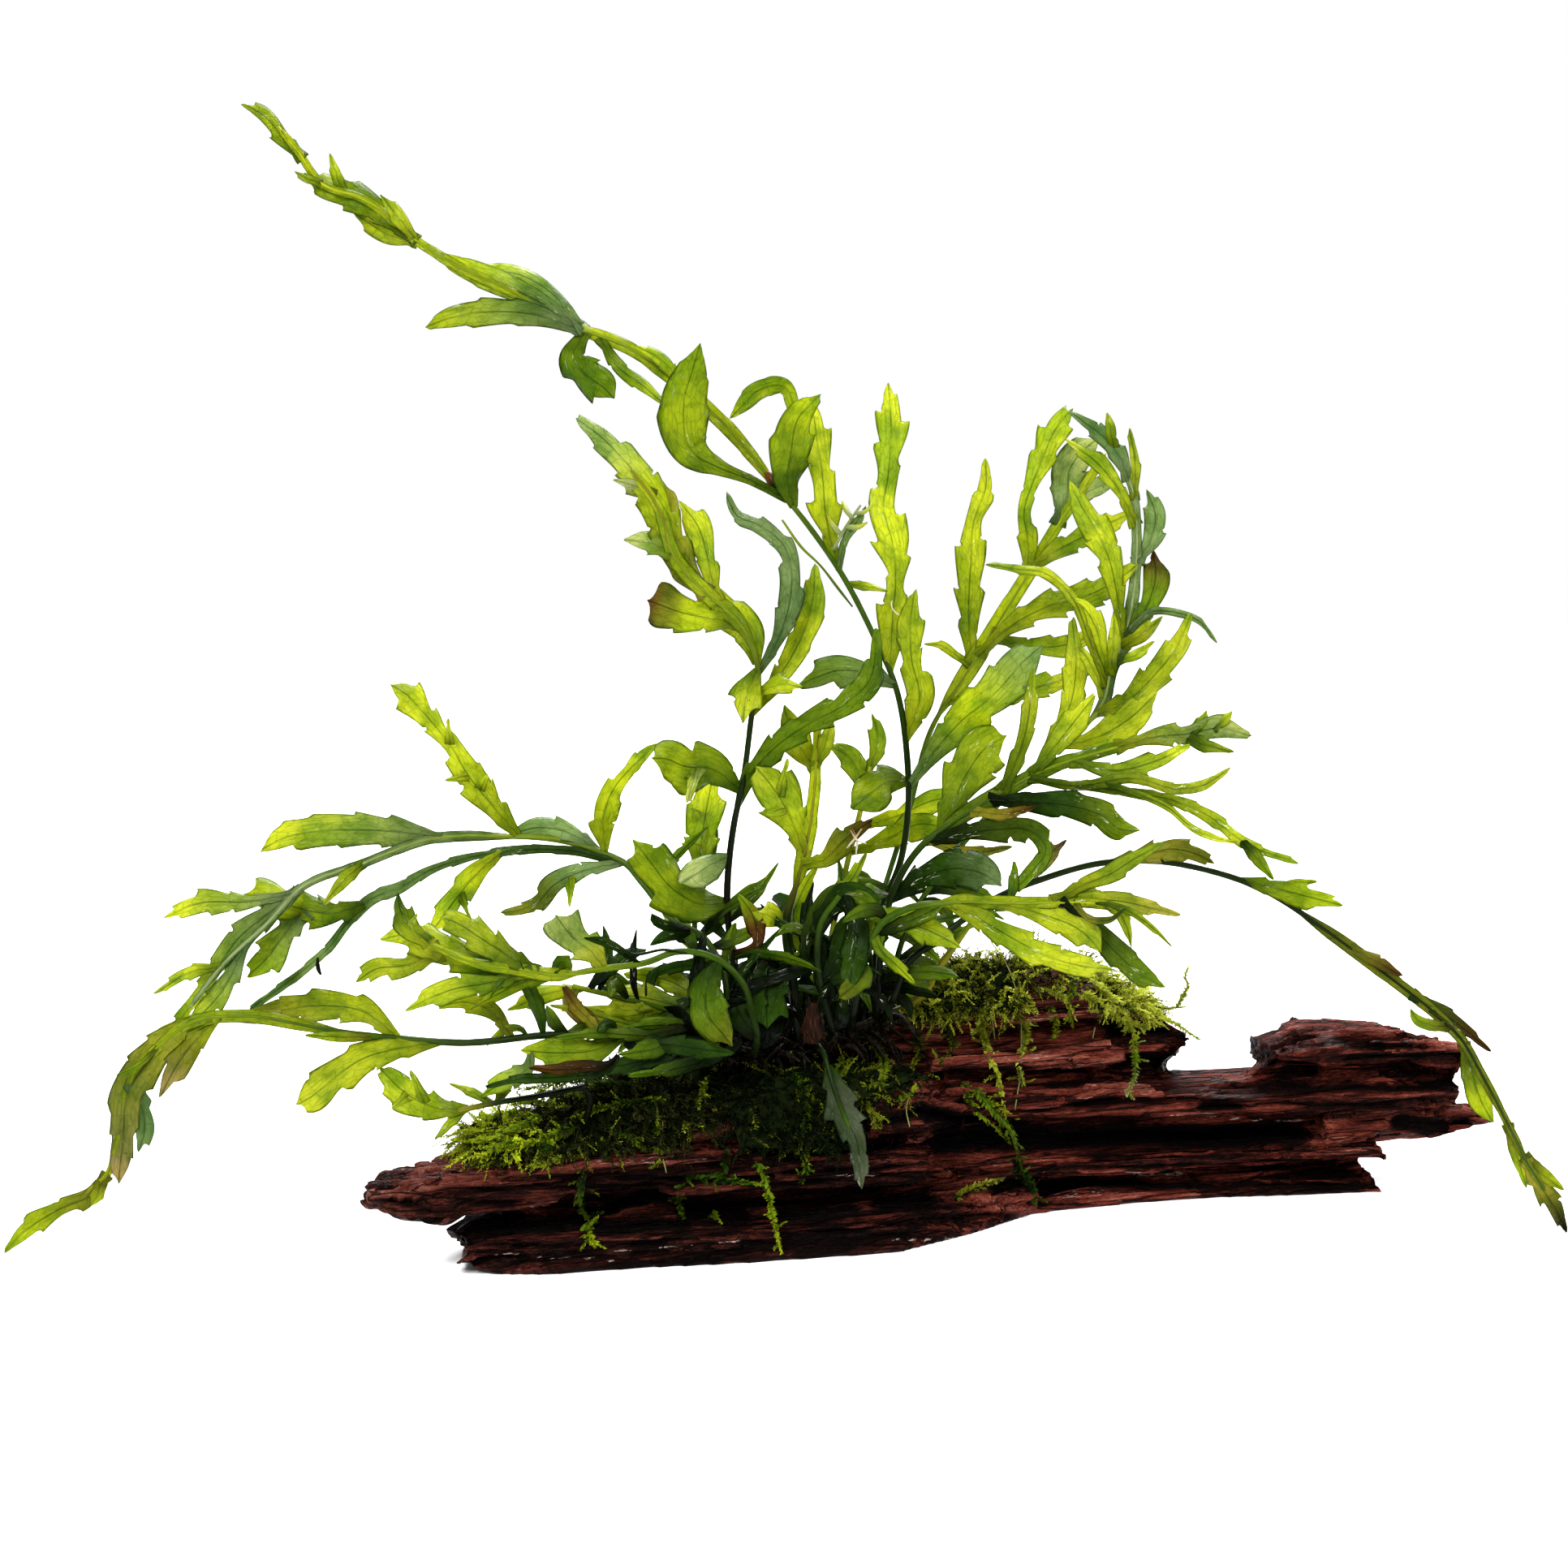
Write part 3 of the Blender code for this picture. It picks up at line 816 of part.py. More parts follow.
def tube_mesh(name, points, widths, sides=STEM_SIDES):
    """Runs a tube with pointed or blunt ends through points in metres; widths are in millimetres."""
    rings = []
    for number, point in enumerate(points):
        before = points[max(0, number - 1)]
        after = points[min(len(points) - 1, number + 1)]
        side = (after - before).cross(TOWARDS).normalized()
        other = side.cross(after - before).normalized()
        radius = widths[number] * MM / 2
        ring = []
        for k in range(sides):
            angle = 2 * math.pi * (k + 0.5) / sides
            ring.append(point + (side * math.cos(angle) + other * math.sin(angle)) * radius)
        rings.append(ring)
    return mesh_from_rings(rings, name)


def make_rhizome(wood_tree, look):
    """Lays the creeping rhizome along the log's top."""
    points = []
    for x in np.linspace(RHIZOME_LEFT, RHIZOME_RIGHT, 8):
        height = wood_height(wood_tree, x, RHIZOME_BACK, RHIZOME_WIDTH / 2 + 1)
        points.append(Vector((x, RHIZOME_BACK, height + RHIZOME_WIDTH / 2 + GAP)) * MM)
    widths = [RHIZOME_WIDTH * share for share in (0.6, 0.95, 1, 1, 1, 1, 0.9, 0.55)]
    return new_object("rhizome", tube_mesh("rhizome", points, widths, sides=8), look)


def make_moss_strand(name, wood_tree, look):
    """Hangs a strand of moss down the log's front face."""
    points = []
    widths = []
    for u, v, width in smooth(MOSS_STRANDS[name], STRAND_STEP):
        depth = wood_depth(wood_tree, u, v, width / 2 + STRAND_REACH) + width / 2 + GAP
        points.append(place(u, v, depth))
        widths.append(width)
    return new_object(name, tube_mesh(name, points, widths, sides=5), look)


def route_points(route, shift):
    """Samples a frond's route and swings it towards the viewer by a shift, but not at its base."""
    rows = smooth(route, STEM_STEP)
    share = np.linspace(0.0, 1.0, len(rows))
    rows[:, 2] += shift * np.minimum(1.0, share / STEM_BASE_SHARE)
    return rows


def middle_line(rows):
    """Gives the places along a built stem's or leaf's middle, on its straight stretches."""
    line = []
    for before, after in zip(rows[:-1, :3], rows[1:, :3]):
        steps = max(2, round(float(np.linalg.norm(after - before)) / LINE_STEP))
        line += [before + (after - before) * k / steps for k in range(steps + 1)]
    return np.array(line)


def stem_mesh(name, rows, extra=0.0):
    """Makes a stem's tube, a little wider all over where extra clearance is wanted."""
    points = [place(u, v, t) for u, v, t, _ in rows]
    return tube_mesh(name, points, [width + 2 * extra for width in rows[:, 3]])


def leaf_rows(line, base_depth, out):
    """Samples a leaf's middle line: u, v, t and width, bowed a little out of its own plane."""
    rows = smooth(line, LEAF_STEP)
    share = np.linspace(0.0, 1.0, len(rows))
    bow = LEAF_BOW * abs(out) * np.sin(math.pi * share)
    depth = base_depth + out * share**LEAF_SWING_POWER + bow
    return np.column_stack([rows[:, 0], rows[:, 1], depth, np.maximum(rows[:, 2], 0.0)])


def leaf_mesh(name, rows, lean, extra=0.0):
    """Makes a leaf as a tapered strap with a ridge along its middle, or a wider hull that holds it."""
    rings = []
    for number, (u, v, t, width) in enumerate(rows):
        run = rows[min(len(rows) - 1, number + 1)][:2] - rows[max(0, number - 1)][:2]
        across = np.array((-run[1], run[0])) / max(1e-6, float(np.hypot(*run)))
        half = width / 2 + extra
        left = (u + across[0] * half, v + across[1] * half, t - LEAF_THICKNESS / 2 + lean * half)
        right = (u - across[0] * half, v - across[1] * half, t - LEAF_THICKNESS / 2 - lean * half)
        ring = [left, right, (u, v, t + LEAF_THICKNESS / 2)]
        if extra:
            behind = [(x, y, z - extra) for x, y, z in (left, right)]
            before = [(x, y, z + extra) for x, y, z in (right, ring[2], left)]
            ring = behind + before
        rings.append([place(*corner) for corner in ring])
    return mesh_from_rings(rings, name, pointed=not extra)


def touches(mesh, neighbours):
    """Says how many face pairs of a mesh cross those of the neighbours."""
    tree = tree_of(mesh)
    return sum(len(tree.overlap(other)) for other in neighbours)


def lowest(mesh):
    """Gives a mesh's lowest point in millimetres."""
    return min(vert.co.z for vert in mesh.vertices) / MM


def first_clear(make, choices, neighbours):
    """Takes the first choice whose widened mesh clears the neighbours, or else the one that touches least."""
    best = None
    for choice in choices:
        trial = make(choice, GAP)
        count = touches(trial, neighbours) + (1000 if lowest(trial) < LOWEST_TIP else 0)
        bpy.data.meshes.remove(trial)
        if best is None or count < best[0]:
            best = (count, choice)
        if count == 0:
            break
    return best[1]


def make_frond(name, neighbours, look):
    """Grows a frond: its stem first, then each leaf from the stem or from an earlier leaf."""
    route, leaves = FRONDS[name]
    shift = first_clear(
        lambda value, extra: stem_mesh(name, route_points(route, value), extra), STEM_SHIFTS, neighbours
    )
    stem = route_points(route, shift)
    grown = middle_line(stem)
    meshes = [stem_mesh(name, stem)]
    for number, (out, lean, line) in enumerate(leaves):
        nearest = grown[np.argmin(np.hypot(grown[:, 0] - line[0][0], grown[:, 1] - line[0][1]))]
        joined = [(nearest[0], nearest[1], line[0][2]), *line[1:]]
        label = f"{name} leaf {number}"

        def grow(turn, extra):
            return leaf_mesh(label, leaf_rows(joined, nearest[2], out + turn), lean, extra)

        turn = first_clear(grow, LEAF_TURNS, neighbours)
        meshes.append(grow(turn, 0.0))
        grown = np.concatenate([grown, middle_line(leaf_rows(joined, nearest[2], out + turn))])
    return fuse(name, meshes, look)


def make_scale(look):
    """Makes the dry brown scale as a small curved blade."""
    rows = np.array([(u, v, t, w) for (u, v, t), w in zip(SCALE_ROUTE, SCALE_WIDTHS)])
    return new_object("brown_scale", leaf_mesh("brown_scale", smooth(rows, 2.0), 0.2), look)


def main():
    """Builds the log, then the moss, the rhizome and the fronds, each clear of what is there."""
    clear_scene()
    wood = make_driftwood(material("driftwood", (0.055, 0.018, 0.014), 0.35))
    wood_tree = tree_of(wood.data)
    neighbours = [wood_tree]
    for name in MOSS_MATS:
        mat = make_moss_mat(name, wood_tree, material(name, (0.13, 0.21, 0.02), 0.8))
        neighbours.append(tree_of(mat.data))
    rhizome = make_rhizome(wood_tree, material("rhizome", (0.02, 0.02, 0.012), 0.6))
    neighbours.append(tree_of(rhizome.data))
    scale = make_scale(material("brown_scale", (0.25, 0.11, 0.03), 0.6))
    neighbours.append(tree_of(scale.data))
    for name in MOSS_STRANDS:
        strand = make_moss_strand(name, wood_tree, material(name, (0.16, 0.24, 0.02), 0.8))
        neighbours.append(tree_of(strand.data))
    for name in FRONDS:
        frond = make_frond(name, neighbours, material(name, (0.22, 0.36, 0.02), 0.4))
        neighbours.append(tree_of(frond.data))


main()
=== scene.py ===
"""The looks of an african water fern (Bolbitis heudelotii) growing on driftwood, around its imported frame."""
import math

import bmesh
import bpy
import numpy as np
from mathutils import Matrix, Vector, noise
from mathutils.bvhtree import BVHTree


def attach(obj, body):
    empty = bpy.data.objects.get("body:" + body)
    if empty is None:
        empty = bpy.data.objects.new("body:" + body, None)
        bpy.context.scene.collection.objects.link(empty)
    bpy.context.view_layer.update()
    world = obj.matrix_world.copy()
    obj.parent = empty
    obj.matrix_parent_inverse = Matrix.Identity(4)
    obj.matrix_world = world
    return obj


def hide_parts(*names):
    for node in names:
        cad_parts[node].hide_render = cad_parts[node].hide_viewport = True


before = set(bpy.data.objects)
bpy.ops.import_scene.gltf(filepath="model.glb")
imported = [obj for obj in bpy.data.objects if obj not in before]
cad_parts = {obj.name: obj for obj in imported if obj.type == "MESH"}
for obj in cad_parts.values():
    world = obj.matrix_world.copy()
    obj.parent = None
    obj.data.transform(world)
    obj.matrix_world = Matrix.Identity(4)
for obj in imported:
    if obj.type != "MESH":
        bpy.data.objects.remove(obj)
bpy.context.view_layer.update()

MM = 0.001

# The photograph's view: where it looks, from how far, turned about Z and raised, and its lens
VIEW_TARGET = np.array((0.0, 0.0, 81.0))
VIEW_DISTANCE = 600.0
VIEW_TURN = math.radians(-15.0)
VIEW_RISE = math.radians(12.0)
VIEW_LENS = 78.73
SENSOR = 36.0
TOWARDS = np.array((
    math.sin(VIEW_TURN) * math.cos(VIEW_RISE),
    -math.cos(VIEW_TURN) * math.cos(VIEW_RISE),
    math.sin(VIEW_RISE),
))
ACROSS = np.array((math.cos(VIEW_TURN), math.sin(VIEW_TURN), 0.0))
UPWARDS = np.array((
    -math.sin(VIEW_TURN) * math.sin(VIEW_RISE),
    math.cos(VIEW_TURN) * math.sin(VIEW_RISE),
    math.cos(VIEW_RISE),
))

# How far apart in millimetres the cross-sections are of leaves, of stems, of the thin things on the fronds,
# of moss shoots and of hairs, and those of stems and leaves while their swing is searched for
LEAF_STEP = 0.45
STEM_STEP = 0.9
STRAND_STEP = 0.6
SHOOT_STEP = 0.7
HAIR_STEP = 0.8
SEARCH_STEP = 4

# Leaves: their thickness in millimetres, how much wider they are than in the tables, how far up a leaf the
# web at its base reaches, the midrib's height and half width, and how strongly painted wet glints usually
# show on them
LEAF_THICKNESS = 0.3
LEAF_WIDENING = 1.15
WEB_LENGTH = 5.0
RIB_HEIGHT = 0.14
RIB_WIDTH = 0.3
USUAL_GLINT_SHARE = 0.35

# Stems: the sides of the round part, how knobbly and how ridged it is, and how much thinner between wings
STEM_SIDES = 9
STEM_KNOBS = 0.06
STEM_RIDGES = 0.05
WING_THINNING = 0.45

# A stem's foot: how many millimetres nearer than the rhizome the log has to be to carry it, how far it goes
# in, its cross-sections, how far along the stem's direction it bends, and how much wider it is below
ROOT_PREFERENCE = 4.0
FOOT_DEPTH = 0.6
FOOT_SECTIONS = 12
FOOT_BEND = 0.45
FOOT_FLARE = 0.3

# The log: the size of its fine mesh, how softly grooves end, the heights between which its relief fades out
# towards its underside, and how far that stays above the floor, all in millimetres
WOOD_VOXEL = 0.62
GROOVE_END = 1.5
RESTING = (0.3, 2.5)
WOOD_CLEARANCE = 0.02

# The layers of the split wood: thickness, how far each runs before it breaks off, height and a seed
WOOD_LAYERS = ((4.2, 46.0, 1.7, 3), (1.9, 24.0, 1.0, 17))

# Moss: how far below a mat's top its dark core lies, the lengths and widths of a mat's shoots and how much
# they droop, the gap between the leaves of a mat's shoots and of others, and the steps of a curled path
MAT_DEPTH = 2.0
SHOOT_LENGTHS = (3.5, 7.5)
SHOOT_WIDTHS = (1.1, 2.1)
SHOOT_DROOP = 1.3
MOSS_LEAF_GAP = 0.24
WISP_LEAF_GAP = 0.1
CURL_STEP = 0.8

# How far down the faces may look that moss grows on
LOWEST_NORMAL = -0.2

# The rhizome: its radius in millimetres and its sides
RHIZOME_RADIUS = 1.62
RHIZOME_SIDES = 14

# How many wiry roots grow from it, their sides, and how many steps of which length they creep; how many short
# stubs grow from it, and their lengths
ROOTS = 130
ROOT_SIDES = 4
ROOT_STEPS = (8, 26)
ROOT_STEP = 0.9
STUBS = 240
STUB_LENGTHS = (3, 10)

# Where the random draws for each kind of piece start
SEEDS = {"frond": 100, "foot": 500, "mat": 500, "strand": 700, "wisps": 800, "rhizome": 900, "scale": 950}

# The floor's half width and the distances between which it fades out, in metres
FLOOR_HALF = 1.2
FLOOR_FADE = (0.28, 0.75)

# The lamps' names, places, widths and powers, and the place that they shine at
LAMPS = (
    ("light_behind", (0.3, 0.7, 0.8), 0.8, 30.0), ("light_front", (-0.45, -0.6, 0.75), 0.5, 17.0),
    ("light_right", (0.7, -0.5, 0.5), 0.4, 7.0),
)
LAMP_AIM = (0, 0, 0.07)

# The corners of a box's faces, its far four first
BOX_FACES = ((3, 2, 1, 0), (4, 5, 6, 7), (0, 1, 5, 4), (1, 2, 6, 5), (2, 3, 7, 6), (3, 0, 4, 7))

# Small dark leaves in the plant's crown: between which heights and how far left they grow, the gap between
# their cross-sections, their lengths and widths, and the share of the width at places along them
CROWN_LOW = -47.0
CROWN_HIGH = -17.0
CROWN_LEFT = -46
CROWN_STEP = 0.8
CROWN_LENGTHS = (7, 16)
CROWN_WIDTHS = (1.0, 2.5)
CROWN_SHAPE = ((0, 0.3), (0.25, 0.8), (0.55, 1.0), (0.8, 0.7), (1.0, 0.0))

# How many of them each frond has, and their colours from the lowest to the highest, darker lower down and
# further in as painted shade of the crown
CROWN_LEAVES = {
    "frond_left_upright": 9, "frond_left_long": 8, "frond_left_lobed": 8, "frond_centre": 7,
    "frond_centre_behind": 8, "frond_centre_curled": 8, "frond_behind_left": 9, "frond_left_small": 11,
    "frond_right_glossy": 8, "frond_tall": 8, "frond_right_low": 8, "frond_back_right": 7,
    "frond_right_high": 7, "frond_left_low": 8,
}
CROWN_SHADE_COLOURS = (
    ("black", "black"), ("black", "dark"), ("dark", "deep"), ("dark", "mid"), ("deep", "mid"),
    ("deep", "lime"), ("mid", "lime"),
)

# The swings that the frame's stems and leaves were given one of, to stay clear of each other
STEM_SHIFTS = (0, 1.5, -1.5, 3, -3, 4.5, -4.5, 6, -6, 8, -8)
LEAF_TURNS = (0, 2.5, -2.5, 5, -5, 8, -8, 11, -11, 15, -15, 20, -20)

# Colours by name, in linear red, green and blue
COLOURS = {
    "bright": (0.47, 0.52, 0.028),
    "lime": (0.37, 0.44, 0.011),
    "mid": (0.15, 0.235, 0.006),
    "deep": (0.036, 0.088, 0.004),
    "dark": (0.008, 0.020, 0.002),
    "grey": (0.21, 0.30, 0.11),
    "pale": (0.43, 0.48, 0.20),
    "yellow": (0.38, 0.36, 0.03),
    "olive": (0.17, 0.185, 0.010),
    "brown": (0.11, 0.045, 0.008),
    "tan": (0.36, 0.28, 0.11),
    "black": (0.003, 0.005, 0.0015),
    "straw": (0.32, 0.31, 0.04),
    "moss_dim": (0.04, 0.045, 0.006),
    "moss_gold": (0.22, 0.25, 0.011),
    "moss_tip": (0.53, 0.58, 0.055),
    "ash": (0.12, 0.14, 0.085),
    "white": (0.66, 0.66, 0.5),
}

# How much of a stem's width in the routes is the round stem itself; the rest is its thin wings
STEM_SHARE = 0.78

# Each frond's usual look: its leaves' colours from base to tip, the spacing and depth of their teeth, how
# strong their painted wet glints are, the stem's greatest width and its colours upwards, and for a winged stem
# the share at which its wings start, their width and their colour
FROND_LOOKS = {
    "frond_tall": {
        "leaf": ("lime", "bright"), "teeth": (7.0, 0.6), "stem": 1.6,
        "stem_colours": ("black", "dark", "deep", "mid", "mid", "lime"), "wing": (0.42, 2.3),
        "wing_colour": "lime",
    },
    "frond_left_upright": {
        "leaf": ("lime", "bright"), "teeth": (6.5, 0.6), "stem": 1.6,
        "stem_colours": ("black", "black", "dark", "mid", "olive"), "wing": (0.6, 3.4), "wing_colour": "lime",
    },
    "frond_left_long": {
        "leaf": ("lime", "bright"), "teeth": (6.0, 0.58), "stem": 1.5,
        "stem_colours": ("dark", "deep", "mid", "grey", "grey"), "wing": (0.4, 1.7), "wing_colour": "grey",
    },
    "frond_left_low": {
        "leaf": ("olive", "lime"), "teeth": (6.5, 0.5), "stem": 1.6, "wet": 0.12,
        "stem_colours": ("black", "dark", "deep", "mid", "olive"), "wing": (0.45, 2.2), "wing_colour": "lime",
    },
    "frond_left_lobed": {
        "leaf": ("mid", "bright"), "teeth": (6.0, 0.6), "stem": 1.5,
        "stem_colours": ("dark", "deep", "mid", "mid"), "wing": (0.55, 2.6), "wing_colour": "lime",
    },
    "frond_centre": {
        "leaf": ("lime", "bright"), "teeth": (6.0, 0.75), "stem": 3.4,
        "stem_colours": ("black", "dark", "olive", "lime"), "wing": (0.4, 2.4), "wing_colour": "lime",
    },
    "frond_right_glossy": {
        "leaf": ("mid", "bright"), "teeth": (6.5, 0.5), "stem": 1.6,
        "stem_colours": ("black", "dark", "deep", "mid", "lime"), "wing": (0.36, 2.6), "wing_colour": "mid",
        "wet": 1.0,
    },
    "frond_right_low": {
        "leaf": ("lime", "bright"), "teeth": (7.0, 0.45), "stem": 1.6,
        "stem_colours": ("black", "deep", "mid", "lime"), "wing": (0.42, 2.6), "wing_colour": "lime",
        "wet": 1.0,
    },
    "frond_right_arching": {
        "leaf": ("olive", "lime"), "teeth": (6.0, 0.58), "stem": 1.5,
        "stem_colours": ("black", "dark", "dark", "dark", "dark", "deep"), "wing": (0.5, 2.2),
        "wing_colour": "olive",
    },
    "frond_right_high": {
        "leaf": ("lime", "bright"), "teeth": (6.5, 0.55), "stem": 1.4,
        "stem_colours": ("dark", "deep", "mid", "grey", "grey"), "wing": (0.5, 2.4), "wing_colour": "grey",
    },
    "frond_back_right": {
        "leaf": ("lime", "bright"), "teeth": (6.5, 0.55), "stem": 1.3,
        "stem_colours": ("deep", "deep", "mid", "lime"), "wing": (0.45, 2.8), "wing_colour": "lime",
    },
    "frond_centre_behind": {
        "leaf": ("lime", "bright"), "teeth": (6.0, 0.55), "stem": 1.4,
        "stem_colours": ("dark", "mid", "lime"),
    },
    "frond_centre_curled": {
        "leaf": ("dark", "deep"), "teeth": (6.0, 0.25), "stem": 1.6,
        "stem_colours": ("black", "dark", "deep"), "wet": 1.0,
    },
    "frond_left_small": {
        "leaf": ("lime", "bright"), "teeth": (5.0, 0.5), "stem": 1.3, "stem_colours": ("dark", "deep", "mid"),
    },
    "frond_behind_left": {
        "leaf": ("lime", "bright"), "teeth": (5.0, 0.65), "stem": 1.3,
        "stem_colours": ("dark", "deep", "mid"),
    },
    "leaf_lower_left": {
        "leaf": ("lime", "bright"), "teeth": (3.8, 0.65), "stem": 1.3,
        "stem_colours": ("black", "black", "dark", "olive"),
    },
    "frond_near_right": {
        "leaf": ("mid", "lime"), "teeth": (6.0, 0.2), "stem": 1.7, "stem_colours": ("olive", "olive", "mid"),
        "wet": 1.0,
    },
    "leaf_hanging": {
        "leaf": (("deep", "ash", "ash"), "ash"), "teeth": (4.6, 0.6), "stem": 1.1, "wet": 1.0,
        "stem_colours": ("dark", "dark", "deep"),
    },
}

# Leaves that differ from their frond's usual look, by their place in its list: colours from base to tip, and
# for some the depth of their teeth
LEAF_LOOKS = {
    "frond_tall": {
        0: ("mid", "lime", 0.8), 2: ("mid", "lime", 0.3), 6: ("grey", "lime", 0.3), 7: ("grey", "lime", 0.1),
        8: ("grey", "lime", 0.1), 9: ("mid", "mid"), 10: ("mid", "lime"), 12: ("mid", "lime", 0.12),
        13: ("mid", "lime", 0.15), 14: ("mid", "lime", 0.3), 16: ("grey", "grey"), 18: ("grey", "mid"),
        19: ("mid", "lime"), 20: ("lime", "bright"), 22: (("grey", "lime"), "grey", 0.5),
    },
    "frond_left_upright": {
        0: (("straw", "lime"), "pale"), 1: ("olive", "pale"), 2: ("lime", "pale"), 3: ("lime", "straw"),
        5: (("lime", "lime", "lime", "olive"), "brown"), 8: ("grey", "grey"), 10: ("mid", "mid"),
        12: ("mid", "lime"), 14: ("mid", "lime"), 15: ("grey", "pale"), 16: (("brown", "brown"), "lime"),
    },
    "frond_left_long": {
        6: ("grey", "grey"), 4: ("grey", "bright"), 7: ("grey", "bright"), 8: ("grey", "lime"),
        10: ("grey", "lime"), 12: (("grey", "grey", "olive"), "olive"), 14: ("deep", "grey"),
        15: ("mid", "lime"), 16: ("grey", "lime"),
    },
    "frond_left_low": {
        0: (("lime", "straw"), "tan"), 5: ("grey", "grey"), 6: (("lime", "olive"), "tan"),
        7: ("lime", "olive"), 9: ("lime", "bright"), 11: ("mid", "lime"), 12: ("deep", "mid"),
    },
    "frond_left_lobed": {
        1: ("lime", "deep"), 5: ("bright", "bright"), 6: ("bright", "pale"),
        7: (("deep", "mid"), "olive", 0.3),
    },
    "frond_left_small": {3: ("straw", "brown")},
    "frond_centre": {5: (("lime", "olive"), "brown"), 7: ("dark", "deep")},
    "frond_right_glossy": {
        0: ("lime", "pale"), 4: ("mid", "lime"), 11: ("deep", "lime"), 12: (("dark", "deep"), "lime"),
        13: ("yellow", "brown"), 14: ("dark", "mid"), 15: ("yellow", "olive"), 16: (("dark", "deep"), "grey"),
    },
    "frond_right_low": {0: ("lime", "straw"), 3: ("dark", "mid"), 5: ("straw", "olive")},
    "frond_right_arching": {
        0: (("lime", "straw"), "brown"), 1: ("straw", "olive"), 2: ("mid", "lime"), 4: ("olive", "brown"),
        5: ("deep", "brown"), 10: ("yellow", "black"),
    },
    "frond_right_high": {
        6: (("deep", "mid"), "brown"), 12: ("grey", "grey"), 3: ("grey", "grey"), 0: ("grey", "grey"),
    },
    "frond_back_right": {6: ("grey", "pale"), 7: ("pale", "grey")},
}

